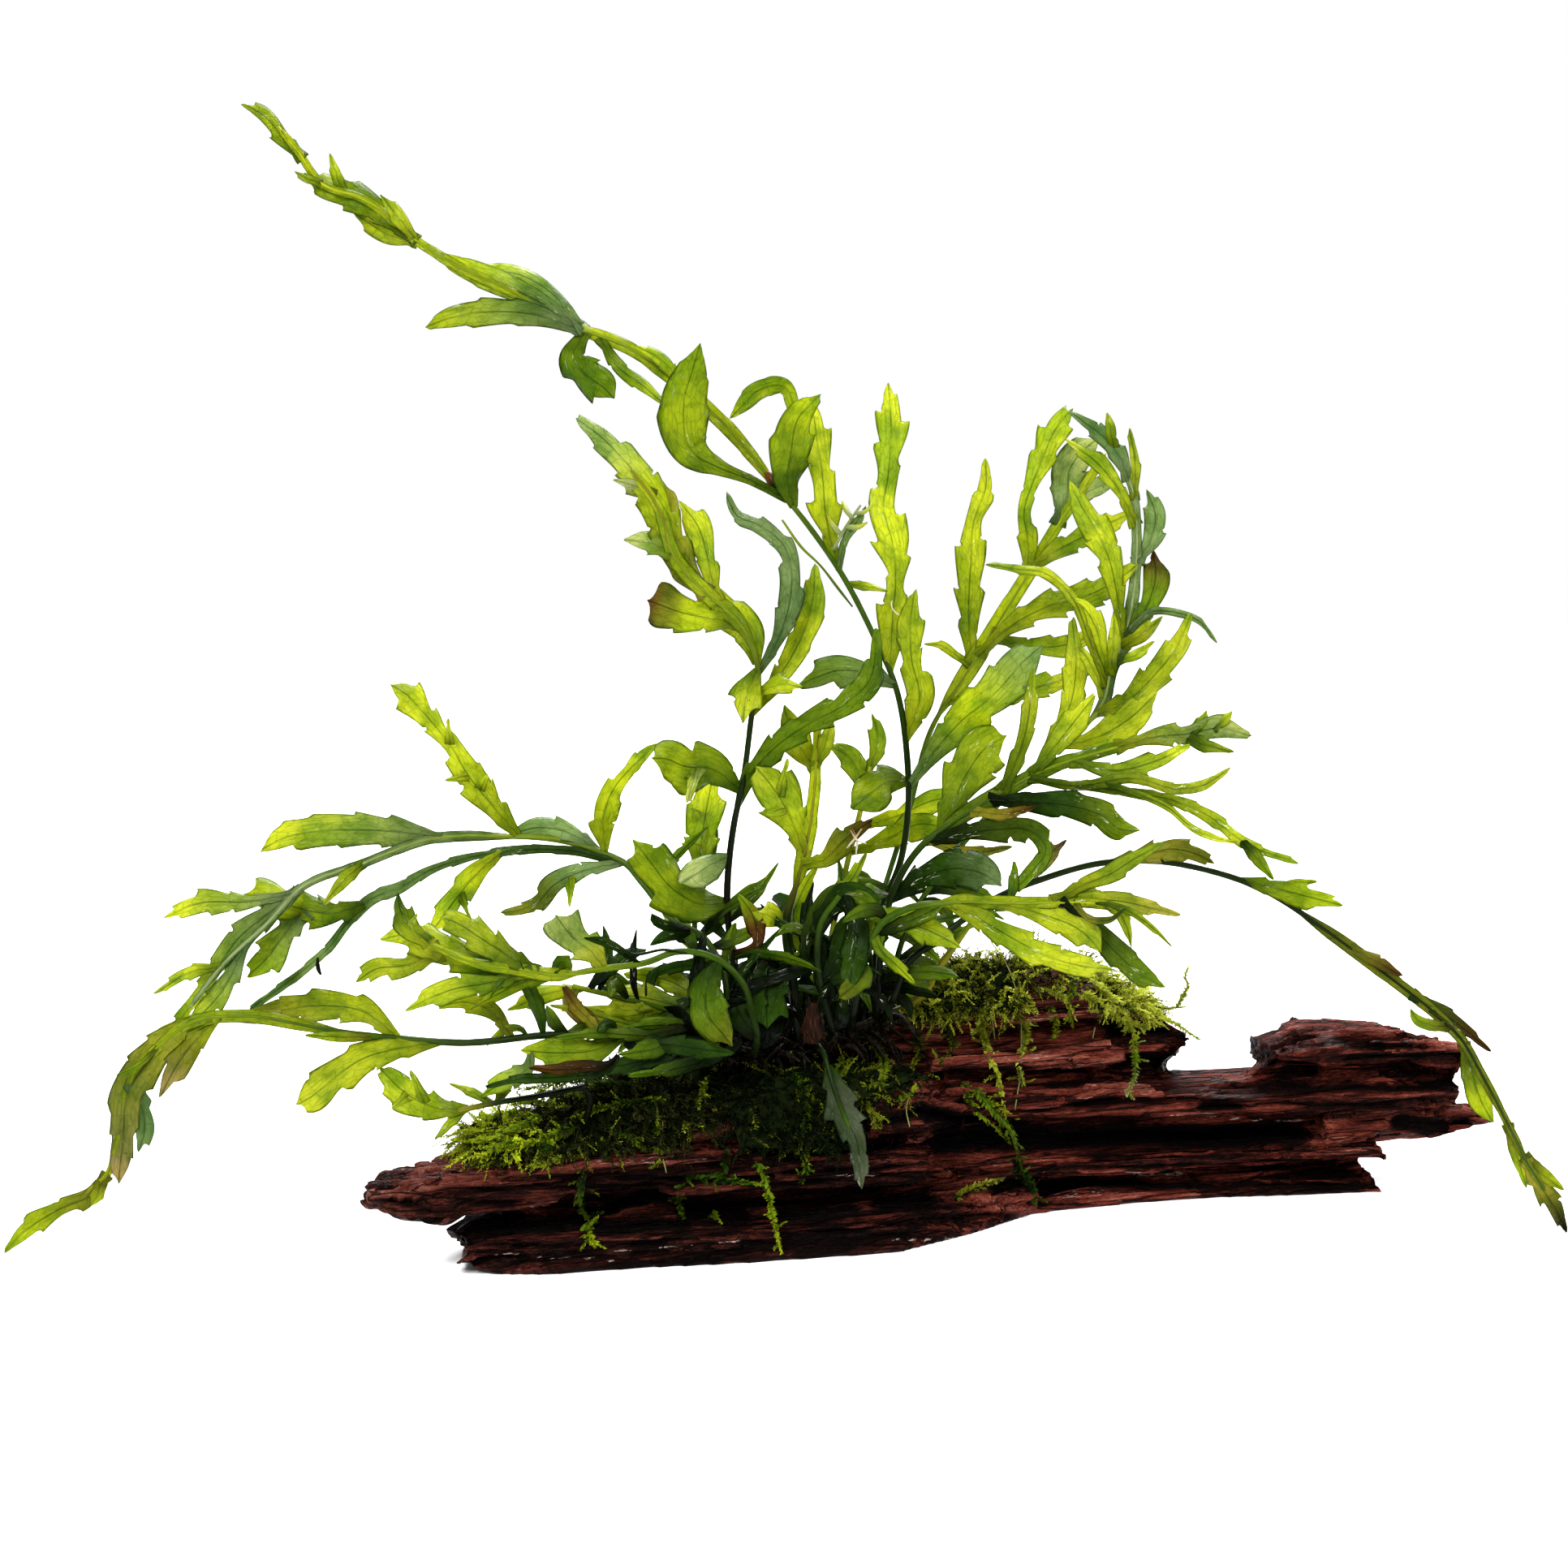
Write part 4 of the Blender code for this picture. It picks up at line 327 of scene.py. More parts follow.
# Leaves close to the crown that have no solid of their own in the frame: each as in the fronds, with its
# colours from base to tip
EXTRA_LEAVES = {
    "frond_left_low": [
        (2, 0.3, [(-27.7, -45.1, 1), (-20, -45.6, 3), (-13, -46.6, 2.4), (-8.6, -47, 0)], "dark", "deep"),
        (3, -0.3, [(-30, -48.6, 1), (-35, -49.6, 2.0), (-40, -50, 1.8),
            (-44.4, -49.6, 0)], "black", "brown"),
        (-4, 0.4, [(-44.6, -49.4, 2.2), (-49, -52, 3), (-53, -54.6, 0)], "grey", "lime"),
        (2, 0.9, [(-12, -44, 1.2), (-20, -47, 2.6), (-29, -49.4, 2.4), (-36, -50.6, 0)], "dark", "deep"),
        (3, -0.9, [(-8, -45, 1.2), (-13, -48, 2.4), (-20, -50, 2), (-27, -51, 0)], ("black", "dark"), "mid"),
        (1, 0.5, [(-30, -46, 1.2), (-37, -47, 2.4), (-44, -46.4, 0)], "dark", "lime"),
        (6, 0.2, [(-16, -43.6, 1), (-24, -44, 1.8), (-33, -43.6, 1.6), (-40, -44.4, 0)], "black", "mid"),
        (5, 0.9, [(-30, -49.4, 0.8), (-38, -51.2, 1.6), (-46, -51.6, 1.4), (-52, -53, 0)], "dark", "deep"),
        (1, -0.6, [(-14, -44.6, 1), (-19, -42.4, 2.2), (-25, -42.4, 2), (-30, -43.6, 0)], "dark", "mid"),
    ],
    "frond_left_small": [
        (3, 0.4, [(-14, -40.5, 1.2), (-20, -38.4, 3.4), (-27, -37, 3.6), (-32, -36.8, 0)], "deep", "bright"),
        (1, -0.3, [(-18, -42, 1.2), (-24, -41, 3), (-31, -40.6, 2.8), (-36.5, -41, 0)], "mid", "lime"),
        (-3, 0.5, [(-24, -43, 1), (-28, -42.4, 2.4), (-33, -43.4, 2.4), (-37, -44, 0)], "lime", "bright"),
        (5, 0.4, [(-32, -43.6, 1), (-35, -40.4, 2.2), (-37.4, -37.6, 1.8),
            (-38.8, -35.4, 0)], "yellow", "brown"),
        (-5, 0.3, [(-12, -41, 1), (-17, -36, 2.6), (-23, -33.6, 2.8), (-28, -33.4, 0)], "dark", "lime"),
        (4, -0.5, [(-9, -42, 1), (-14, -43.4, 2.4), (-20, -43, 2), (-25, -42.6, 0)], "black", "deep"),
        (2, 0.6, [(-16, -38, 1), (-21, -40.6, 2.4), (-26, -44, 2), (-29, -46.6, 0)], "dark", "mid"),
        (6, 0.2, [(-20, -42.6, 0.8), (-29, -41.6, 1.6), (-36, -39.6, 1.4),
            (-41, -38.8, 0)], "mid", "bright"),
    ],
    "frond_centre": [
        (5, 0.5, [(-3.4, -30, 2.4), (-5.4, -33.4, 4.8), (-5.4, -37.4, 3.6),
            (-2.6, -42.6, 0)], "black", "deep"),
        (-4, 0.4, [(3, -30, 1.4), (1.6, -24, 2.4), (3.6, -18, 2), (6, -14, 0)], "mid", "lime"),
        (-5, 0.3, [(5.6, -43, 1.6), (5.2, -39.6, 4.2), (4.2, -36, 4), (3.4, -31.4, 0)], "black", "dark"),
        (-4, 0.3, [(-4.6, -44, 1.6), (-6.8, -41.6, 3.6), (-8.4, -39, 3.6),
            (-10.4, -35, 0)], "black", "deep"),
        (-5, 0, [(-3.4, -45.6, 1.6), (-2.6, -43, 4), (-1.8, -40, 3), (-1.2, -37, 0)], "black", "black"),
    ],
    "frond_centre_curled": [
        (3, 0.4, [(12.6, -30.4, 1.4), (13.6, -33, 3.2), (11.4, -36, 2.6), (9.4, -37.6, 0)], "mid", "olive"),
        (6, 0.5, [(4.6, -31, 1.2), (5.2, -24, 2.4), (9, -19.4, 2.8), (13.6, -20, 2.6), (16, -24, 2.2),
            (17, -30, 0)], "dark", "mid"),
        (-3, 0.3, [(5.5, -26, 1.6), (8, -21, 2.6), (12, -16.4, 2.2), (14.4, -12, 0)], "deep", "lime"),
        (4, -0.4, [(15.4, -22, 1.6), (20, -23.6, 3.6), (26, -26, 3.8), (31, -28.6, 0)], "mid", "lime"),
        (5, 0.3, [(15.5, -24, 1), (16.4, -28, 1.8), (20.6, -32.6, 1.4), (23, -35, 0)], "mid", "lime"),
        (-5, -0.3, [(9.6, -42, 1.6), (9.6, -37.6, 3.8), (8.8, -33.6, 3.8),
            (9.8, -29.6, 0)], "black", "deep"),
    ],
}

# Thin things that hang on the fronds or lie on them: colours from end to end, and the line as u, v and width
EXTRA_STRANDS = {
    "frond_tall": [
        (("mid", "deep"), [(-0.3, 46.2, 0.4), (3.1, 41.4, 0.5), (6.3, 38.3, 0.4), (9.5, 34.2, 0.5),
            (12, 31, 0.3)]),
        (("brown", "black"), [(-3, 54.6, 1), (-2.2, 53.2, 2), (-1.4, 51.8, 1.4)]),
        (("grey", "grey"), [(8.6, 41, 0.6), (10.6, 44.6, 0.6), (13.4, 48.8, 0.4)]),
        (("grey", "lime"), [(10, 43.6, 0.8), (8.4, 45.4, 1), (7.6, 47, 0.3)]),
        (("grey", "lime"), [(10.8, 45, 0.8), (13, 45, 1), (14.6, 45.8, 0.3)]),
        (("grey", "lime"), [(11.8, 46.6, 0.8), (10.6, 48.4, 0.9), (10.2, 49.6, 0.3)]),
        (("grey", "lime"), [(12.4, 47.4, 0.7), (14, 47.6, 0.8), (15.4, 48.8, 0.3)]),
        (("white", "white"), [(19.2, 33, 0.22), (18.8, 31.2, 0.25), (19.7, 29.8, 0.25), (21.3, 29.2, 0.2)]),
    ],
    "frond_left_lobed": [
        (("black", "dark"), [(-31, -28.4, 0.45), (-26, -29.8, 0.5), (-21, -29, 0.5), (-17, -29.6, 0.4)]),
    ],
    "frond_left_low": [
        (("brown", "olive"), [(-96, -41.2, 1), (-92.4, -40.8, 2.3), (-88, -40.2, 1.2)]),
    ],
    "frond_left_long": [
        (("black", "black"), [(-81.6, -30.4, 0.4), (-81.4, -32.6, 0.8), (-81, -33.4, 0.4)]),
    ],
    "frond_centre": [
        (("white", "tan"), [(11, -11.2, 0.2), (12.2, -9.8, 0.45), (13.6, -7.8, 0.2)]),
        (("tan", "white"), [(11.6, -8, 0.2), (12.8, -9.8, 0.35), (14.4, -10.4, 0.2)]),
        (("white", "brown"), [(12.6, -12.4, 0.2), (12.7, -9.8, 0.4), (11.8, -7.4, 0.2)]),
    ],
}

# Moss mats: the colours that their shoots run through, how many shoots grow on each square millimetre, the
# share of shoots that stay dark as painted shade, and the painted pool of light where fewer do: u, v and reach
MOSS_LOOKS = {
    "moss_left": (("black", "moss_dim", "lime"), 1.2, 0.97, (-51, -61, 8)),
    "moss_front": (("black", "dark", "moss_gold"), 1.0, 0.9, (12, -52, 6)),
    "moss_back": (("dark", "moss_dim", "lime"), 0.8, 0.5, (60, -40, 20)),
    "moss_right": (("black", "moss_gold", "moss_tip"), 1.15, 0.62, (60, -37, 8)),
}

# Where a mat's shoots leave the wood bare: the middle in the front view and the reach
MOSS_BARE = {"moss_right": (48.5, -38, 6.5, 4.2)}

# How far forward a shoot stands that has only air behind it: that of the mound's right end
MOUND_END_DEPTH = -27.0

# Small moss shoots beside the mats and strands: colours, length of side shoots, and the route as u, v and
# width
MOSS_WISPS = [
    (("dark", "deep", "mid"), 2, [(-18, -68.6, 1.4), (-10, -69, 1.6), (-3, -70.4, 1.4)]),
    (("dark", "deep", "mid"), 1.5, [(-17.4, -69.5, 1), (-18.4, -73, 1.4), (-17.6, -76, 1.8)]),
    (("black", "dark", "mid"), 2.5, [(-35, -67, 1.6), (-35.6, -73, 2.2), (-34, -77, 2.4)]),
    (("deep", "mid", "lime"), 2.5, [(-34, -76.5, 2), (-34.5, -79, 2.4), (-33, -80.5, 1.6)]),
    (("dark", "mid", "lime"), 1.5, [(-12.8, -75, 1.4), (-11.2, -77, 1.6)]),
    (("moss_gold", "moss_gold", "moss_tip"), 0, [(61.5, -39.4, 1.2), (64.5, -39.5, 1.2), (67.4, -39.2, 1.2),
        (70.3, -39, 0.9)]),
    (("mid", "moss_gold", "moss_tip"), 0, [(68.8, -39.2, 1), (69.6, -37.4, 1.4), (70.7, -35.2, 1.4),
        (70.2, -33.8, 1.1), (70.8, -32, 0.8)]),
    (("moss_gold", "moss_tip", "mid"), 0, [(61, -38, 1.4), (65, -40.2, 1.6), (67.5, -41.4, 1.5),
        (72.6, -44.7, 1)]),
    (("moss_gold", "moss_tip", "moss_tip"), 2.4, [(54, -34.4, 2), (57, -37, 2), (61, -39.4, 1.8),
        (66, -42, 1.4)]),
    (("moss_gold", "moss_tip", "moss_tip"), 2.6, [(52, -36, 1.8), (56, -39.6, 2), (60, -41.6, 1.8),
        (64, -42.6, 1.4)]),
    (("moss_dim", "moss_gold", "moss_tip"), 2, [(44, -35.4, 1.6), (47.6, -36.6, 1.6), (50, -38.4, 1.4),
        (51, -41, 1.2)]),
    (("dark", "mid", "moss_gold"), 1.8, [(50.6, -34, 1.6), (50, -38, 1.6), (50.6, -42.4, 1.2)]),
    (("moss_gold", "moss_tip", "moss_tip"), 2.4, [(57, -37, 1.8), (60, -40.6, 2), (61.5, -44.6, 1.8)]),
    (("moss_dim", "moss_gold", "moss_tip"), 2.4, [(34.6, -39, 1.8), (35.4, -46, 2), (37.4, -51, 1.8),
        (38.4, -56, 1.5)]),
    (("moss_dim", "moss_gold", "moss_tip"), 2.2, [(38, -38, 1.8), (42.4, -44, 1.8), (41, -48.6, 1.6),
        (41.8, -52.6, 1.4)]),
    (("moss_dim", "moss_dim", "moss_gold"), 2, [(27.4, -40, 1.8), (29.6, -45.6, 1.6), (27.6, -48.6, 1.4),
        (26.2, -46.6, 1)]),
    (("moss_dim", "moss_dim", "moss_gold"), 1.8, [(21.6, -41, 1.6), (23.6, -46, 1.6), (22.4, -50, 1.4)]),
    (("moss_dim", "moss_gold", "moss_gold"), 1.8, [(46, -38, 1.6), (47.6, -42.6, 1.4), (46.8, -45, 1.2)]),
    (("deep", "mid", "lime"), 1.4, [(19.6, -55.6, 1.2), (22, -54.4, 1.6), (23.8, -51.6, 1.4)]),
    (("black", "dark", "deep"), 2.5, [(40, -65.5, 2), (42.4, -69, 2.4), (44, -73, 2)]),
    (("dark", "olive", "straw"), 2, [(29.6, -72.6, 1.2), (33.6, -70.6, 1.8), (38.4, -69, 1.4)]),
    (("dark", "mid", "lime"), 0.8, [(30.6, -52, 0.8), (34, -54.4, 1.4), (38, -57, 1.5), (41, -58.6, 1.3)]),
    (("dark", "mid", "lime"), 0.8, [(31.4, -53.6, 0.8), (33.6, -57, 1.2), (37, -60, 1.4), (39.6, -63, 1.2)]),
    (("dark", "mid", "lime"), 1.6, [(-9, -48, 1.5), (-13.4, -52, 1.7), (-15, -56.6, 1.7), (-14, -61, 1.4)]),
    (("dark", "mid", "lime"), 1.6, [(-22.6, -59, 1.6), (-21.6, -63, 1.6), (-22, -66.4, 1.3)]),
    (("dark", "deep", "lime"), 1.8, [(-31, -60, 1.6), (-26, -62.4, 1.8), (-21.6, -64.6, 1.5)]),
    (("dark", "deep", "mid"), 1.8, [(1.4, -50, 1.8), (4, -56, 1.6), (3, -62.4, 1.4)]),
    (("dark", "mid", "lime"), 1.8, [(10.6, -48, 1.8), (9.2, -53, 1.6), (10.4, -58, 1.4)]),
    (("dark", "mid", "straw"), 1.8, [(15.4, -44, 1.6), (17.6, -50, 1.6), (15.4, -56, 1.6),
        (15.8, -60, 1.2)]),
    (("dark", "mid", "lime"), 2, [(-44, -59, 1.8), (-50, -61.6, 1.8), (-55.6, -62.4, 1.4)]),
    (("deep", "mid", "lime"), 2, [(-46, -62, 1.8), (-52, -64.2, 1.8), (-56.4, -64.8, 1.4)]),
    (("deep", "mid", "lime"), 2, [(-46, -57, 1.8), (-50, -58, 1.8), (-54, -58.4, 1.2)]),
    (("dark", "deep", "lime"), 2.4, [(-40, -63, 1.8), (-47, -65.6, 1.8), (-54, -66.6, 1.4)]),
    (("dark", "mid", "lime"), 2.4, [(-36, -60, 1.8), (-43, -62.4, 1.8), (-50, -64, 1.4)]),
    (("dark", "deep", "lime"), 2.2, [(-30, -52.4, 1.4), (-38, -52.2, 1.4), (-46, -53.4, 1.2)]),
    (("dark", "mid", "lime"), 2.2, [(-42, -58, 1.6), (-47, -60, 1.6), (-54, -60.6, 1.2)]),
    (("black", "deep", "lime"), 2.2, [(-22, -55, 1.4), (-30, -56.4, 1.6), (-37, -58.4, 1.2)]),
    (("dark", "mid", "bright"), 2.2, [(-30, -63, 1.8), (-38, -65.4, 1.8), (-45, -67, 1.4)]),
    (("dark", "mid", "lime"), 2, [(-38, -56.6, 1.6), (-43, -55.6, 1.6), (-48, -56.2, 1.2)]),
    (("dark", "mid", "lime"), 2, [(-34, -54.4, 1.6), (-39, -53.8, 1.6), (-44, -54.4, 1.2)]),
    (("black", "deep", "mid"), 2, [(-26, -53, 1.6), (-31, -52.4, 1.6), (-36, -53.2, 1.2)]),
    (("black", "dark", "deep"), 2.4, [(-12, -62, 1.8), (-10, -66, 2), (-12, -70, 1.6)]),
    (("black", "deep", "mid"), 2, [(2, -62, 1.8), (4, -66, 1.8), (3, -69.6, 1.4)]),
]

# Moss strands that hang over the log's front: the route as u, v and width, as in the frame
MOSS_STRANDS = {
    "moss_strand_front": [(-5, -66, 1.8), (-3, -70, 2), (-2.2, -75, 2), (-1.2, -79, 1.8), (-0.4, -82, 1.2)],
    "moss_strand_middle": [(33, -53, 2), (37, -57.5, 2.4), (40, -61, 2.6), (41.2, -66, 2.6), (42.5, -70, 2)],
    "moss_strand_right": [(61, -44, 1.8), (61.6, -48, 2), (61.4, -51.5, 2), (60, -54.4, 2.4)],
}

# The hanging strands' colours, from the top down
STRAND_COLOURS = {
    "moss_strand_front": ("deep", "mid", "lime"),
    "moss_strand_middle": ("dark", "deep", "mid", "dark", "black"),
    "moss_strand_right": ("moss_gold", "mid", "mid", "pale"),
}

# Fine pale hairs that hang over the mound and the log: u and v
HAIRS = [
    [(36.2, -27.5), (39.1, -31.9), (40.4, -35.4), (41.4, -40.6), (41.5, -46), (41.4, -50.2), (40.4, -57)],
    [(35.6, -38), (36.4, -41), (36.9, -45)],
    [(54.4, -42.6), (54, -44.6)],
    [(22, -54), (21.4, -57), (22, -60)],
    [(-21, -58), (-21.6, -63), (-20.6, -68)],
]
HAIR_WIDTH = 0.22

# Grooves, holes and undercuts on the log's front, carved in and painted dark as shade: u and v of both ends,
# half height and depth
WOOD_GROOVES = [
    (28, -62.5, 90, -62, 1.6, 4.5), (38, -70, 100, -70, 0.9, 2.6), (84, -52.4, 118, -52.6, 0.8, 2.2),
    (83, -49.2, 92, -50, 0.9, 2.5), (108, -59.5, 119, -60, 1.3, 3.6), (74.4, -56.5, 79.6, -56.5, 0.8, 3.0),
    (60, -48.5, 66, -48.7, 0.6, 2.2), (58, -43.2, 64.5, -43.0, 0.8, 3.0), (17, -72.4, 25, -72.6, 1.4, 3.0),
    (-17, -74.8, -8, -74.6, 1.5, 3.0), (0, -74.2, 12, -74, 0.9, 2.2), (-57, -76.4, -18, -76.8, 1.1, 2.8),
    (31, -56, 58, -55.4, 0.7, 1.8), (30, -50, 52, -49.6, 0.6, 1.4), (-16, -84, -12, -84, 0.9, 1.5),
    (86, -45.6, 112, -45.8, 0.5, 1.2), (90, -43.6, 116, -44.2, 0.4, 1.0), (-60, -70.6, -30, -71, 0.5, 1.2),
    (-28, -69.8, 6, -70.2, 0.5, 1.3), (-50, -80.6, -22, -80.4, 0.5, 1.2), (-12, -78.4, 14, -78, 0.5, 1.2),
    (44, -67, 66, -67.2, 0.5, 1.2), (70, -66.6, 98, -66.8, 0.4, 1.0), (-66, -73, -48, -73.6, 0.4, 0.9),
    (-40, -83.4, -8, -82.6, 0.4, 0.9), (94, -47.8, 118, -48.4, 0.4, 0.9), (36, -52.6, 60, -52.2, 0.5, 1.2),
    (84, -56.2, 112, -56.8, 0.5, 1.4), (46, -64.8, 84, -65.2, 0.4, 1.2), (-30, -73.4, -2, -73, 0.4, 1.0),
    (24, -57, 34, -60, 1.2, 3.0),
]

# Parts of the log that are blunter or fuller than in the frame: the middle and reach in u and v, and the push
WOOD_PUSHES = [
    (79, -45.6, 7, 5, 4.0, 0), (-63.5, -75.6, 6.5, 3.4, 0, -2.0), (-64, -59, 9, 7, 0, -3.2),
    (70, -45.2, 6, 2.7, 3.2, 0), (-60, -80.5, 4.5, 3.5, 1.8, 0),
]

# Dark wood deep inside an undercut: u and v of both corners, and how far back and forward it reaches
WOOD_FILLS = [(54, -49.8, 66.8, -46.2, -45, -31)]

# Thin lines and patches painted bright on the wood as highlights of standing water: u and v of both ends, and
# half height
PAINTED_GLINT_LINES = [
    (-50, -82.2, -30, -84, 0.24), (-29, -82.2, -8, -80.2, 0.26), (-62, -79.6, -50, -80.2, 0.2),
    (60, -68.2, 70, -68, 0.4), (68, -58.2, 90, -59.2, 0.3), (9, -68.4, 20, -68.6, 0.35),
    (-24, -66.4, -14, -65.8, 0.4), (-66, -76.2, -54, -76.6, 0.2), (20, -80.4, 29, -79.4, 0.25),
]

# The dry scale's two layers: how each leans, how far it lies back and its share of the width; and their
# middle line from the top down: right, up and width
SCALE_LAYERS = ((0.35, 0.0, 1.0), (-0.5, 0.5, 0.75))
SCALE_LINE = ((0.2, 3.4, 1.0), (0, 1.4, 2.0), (-0.1, -1, 3.0), (0.1, -2.8, 3.4), (0.4, -3.7, 2.6))

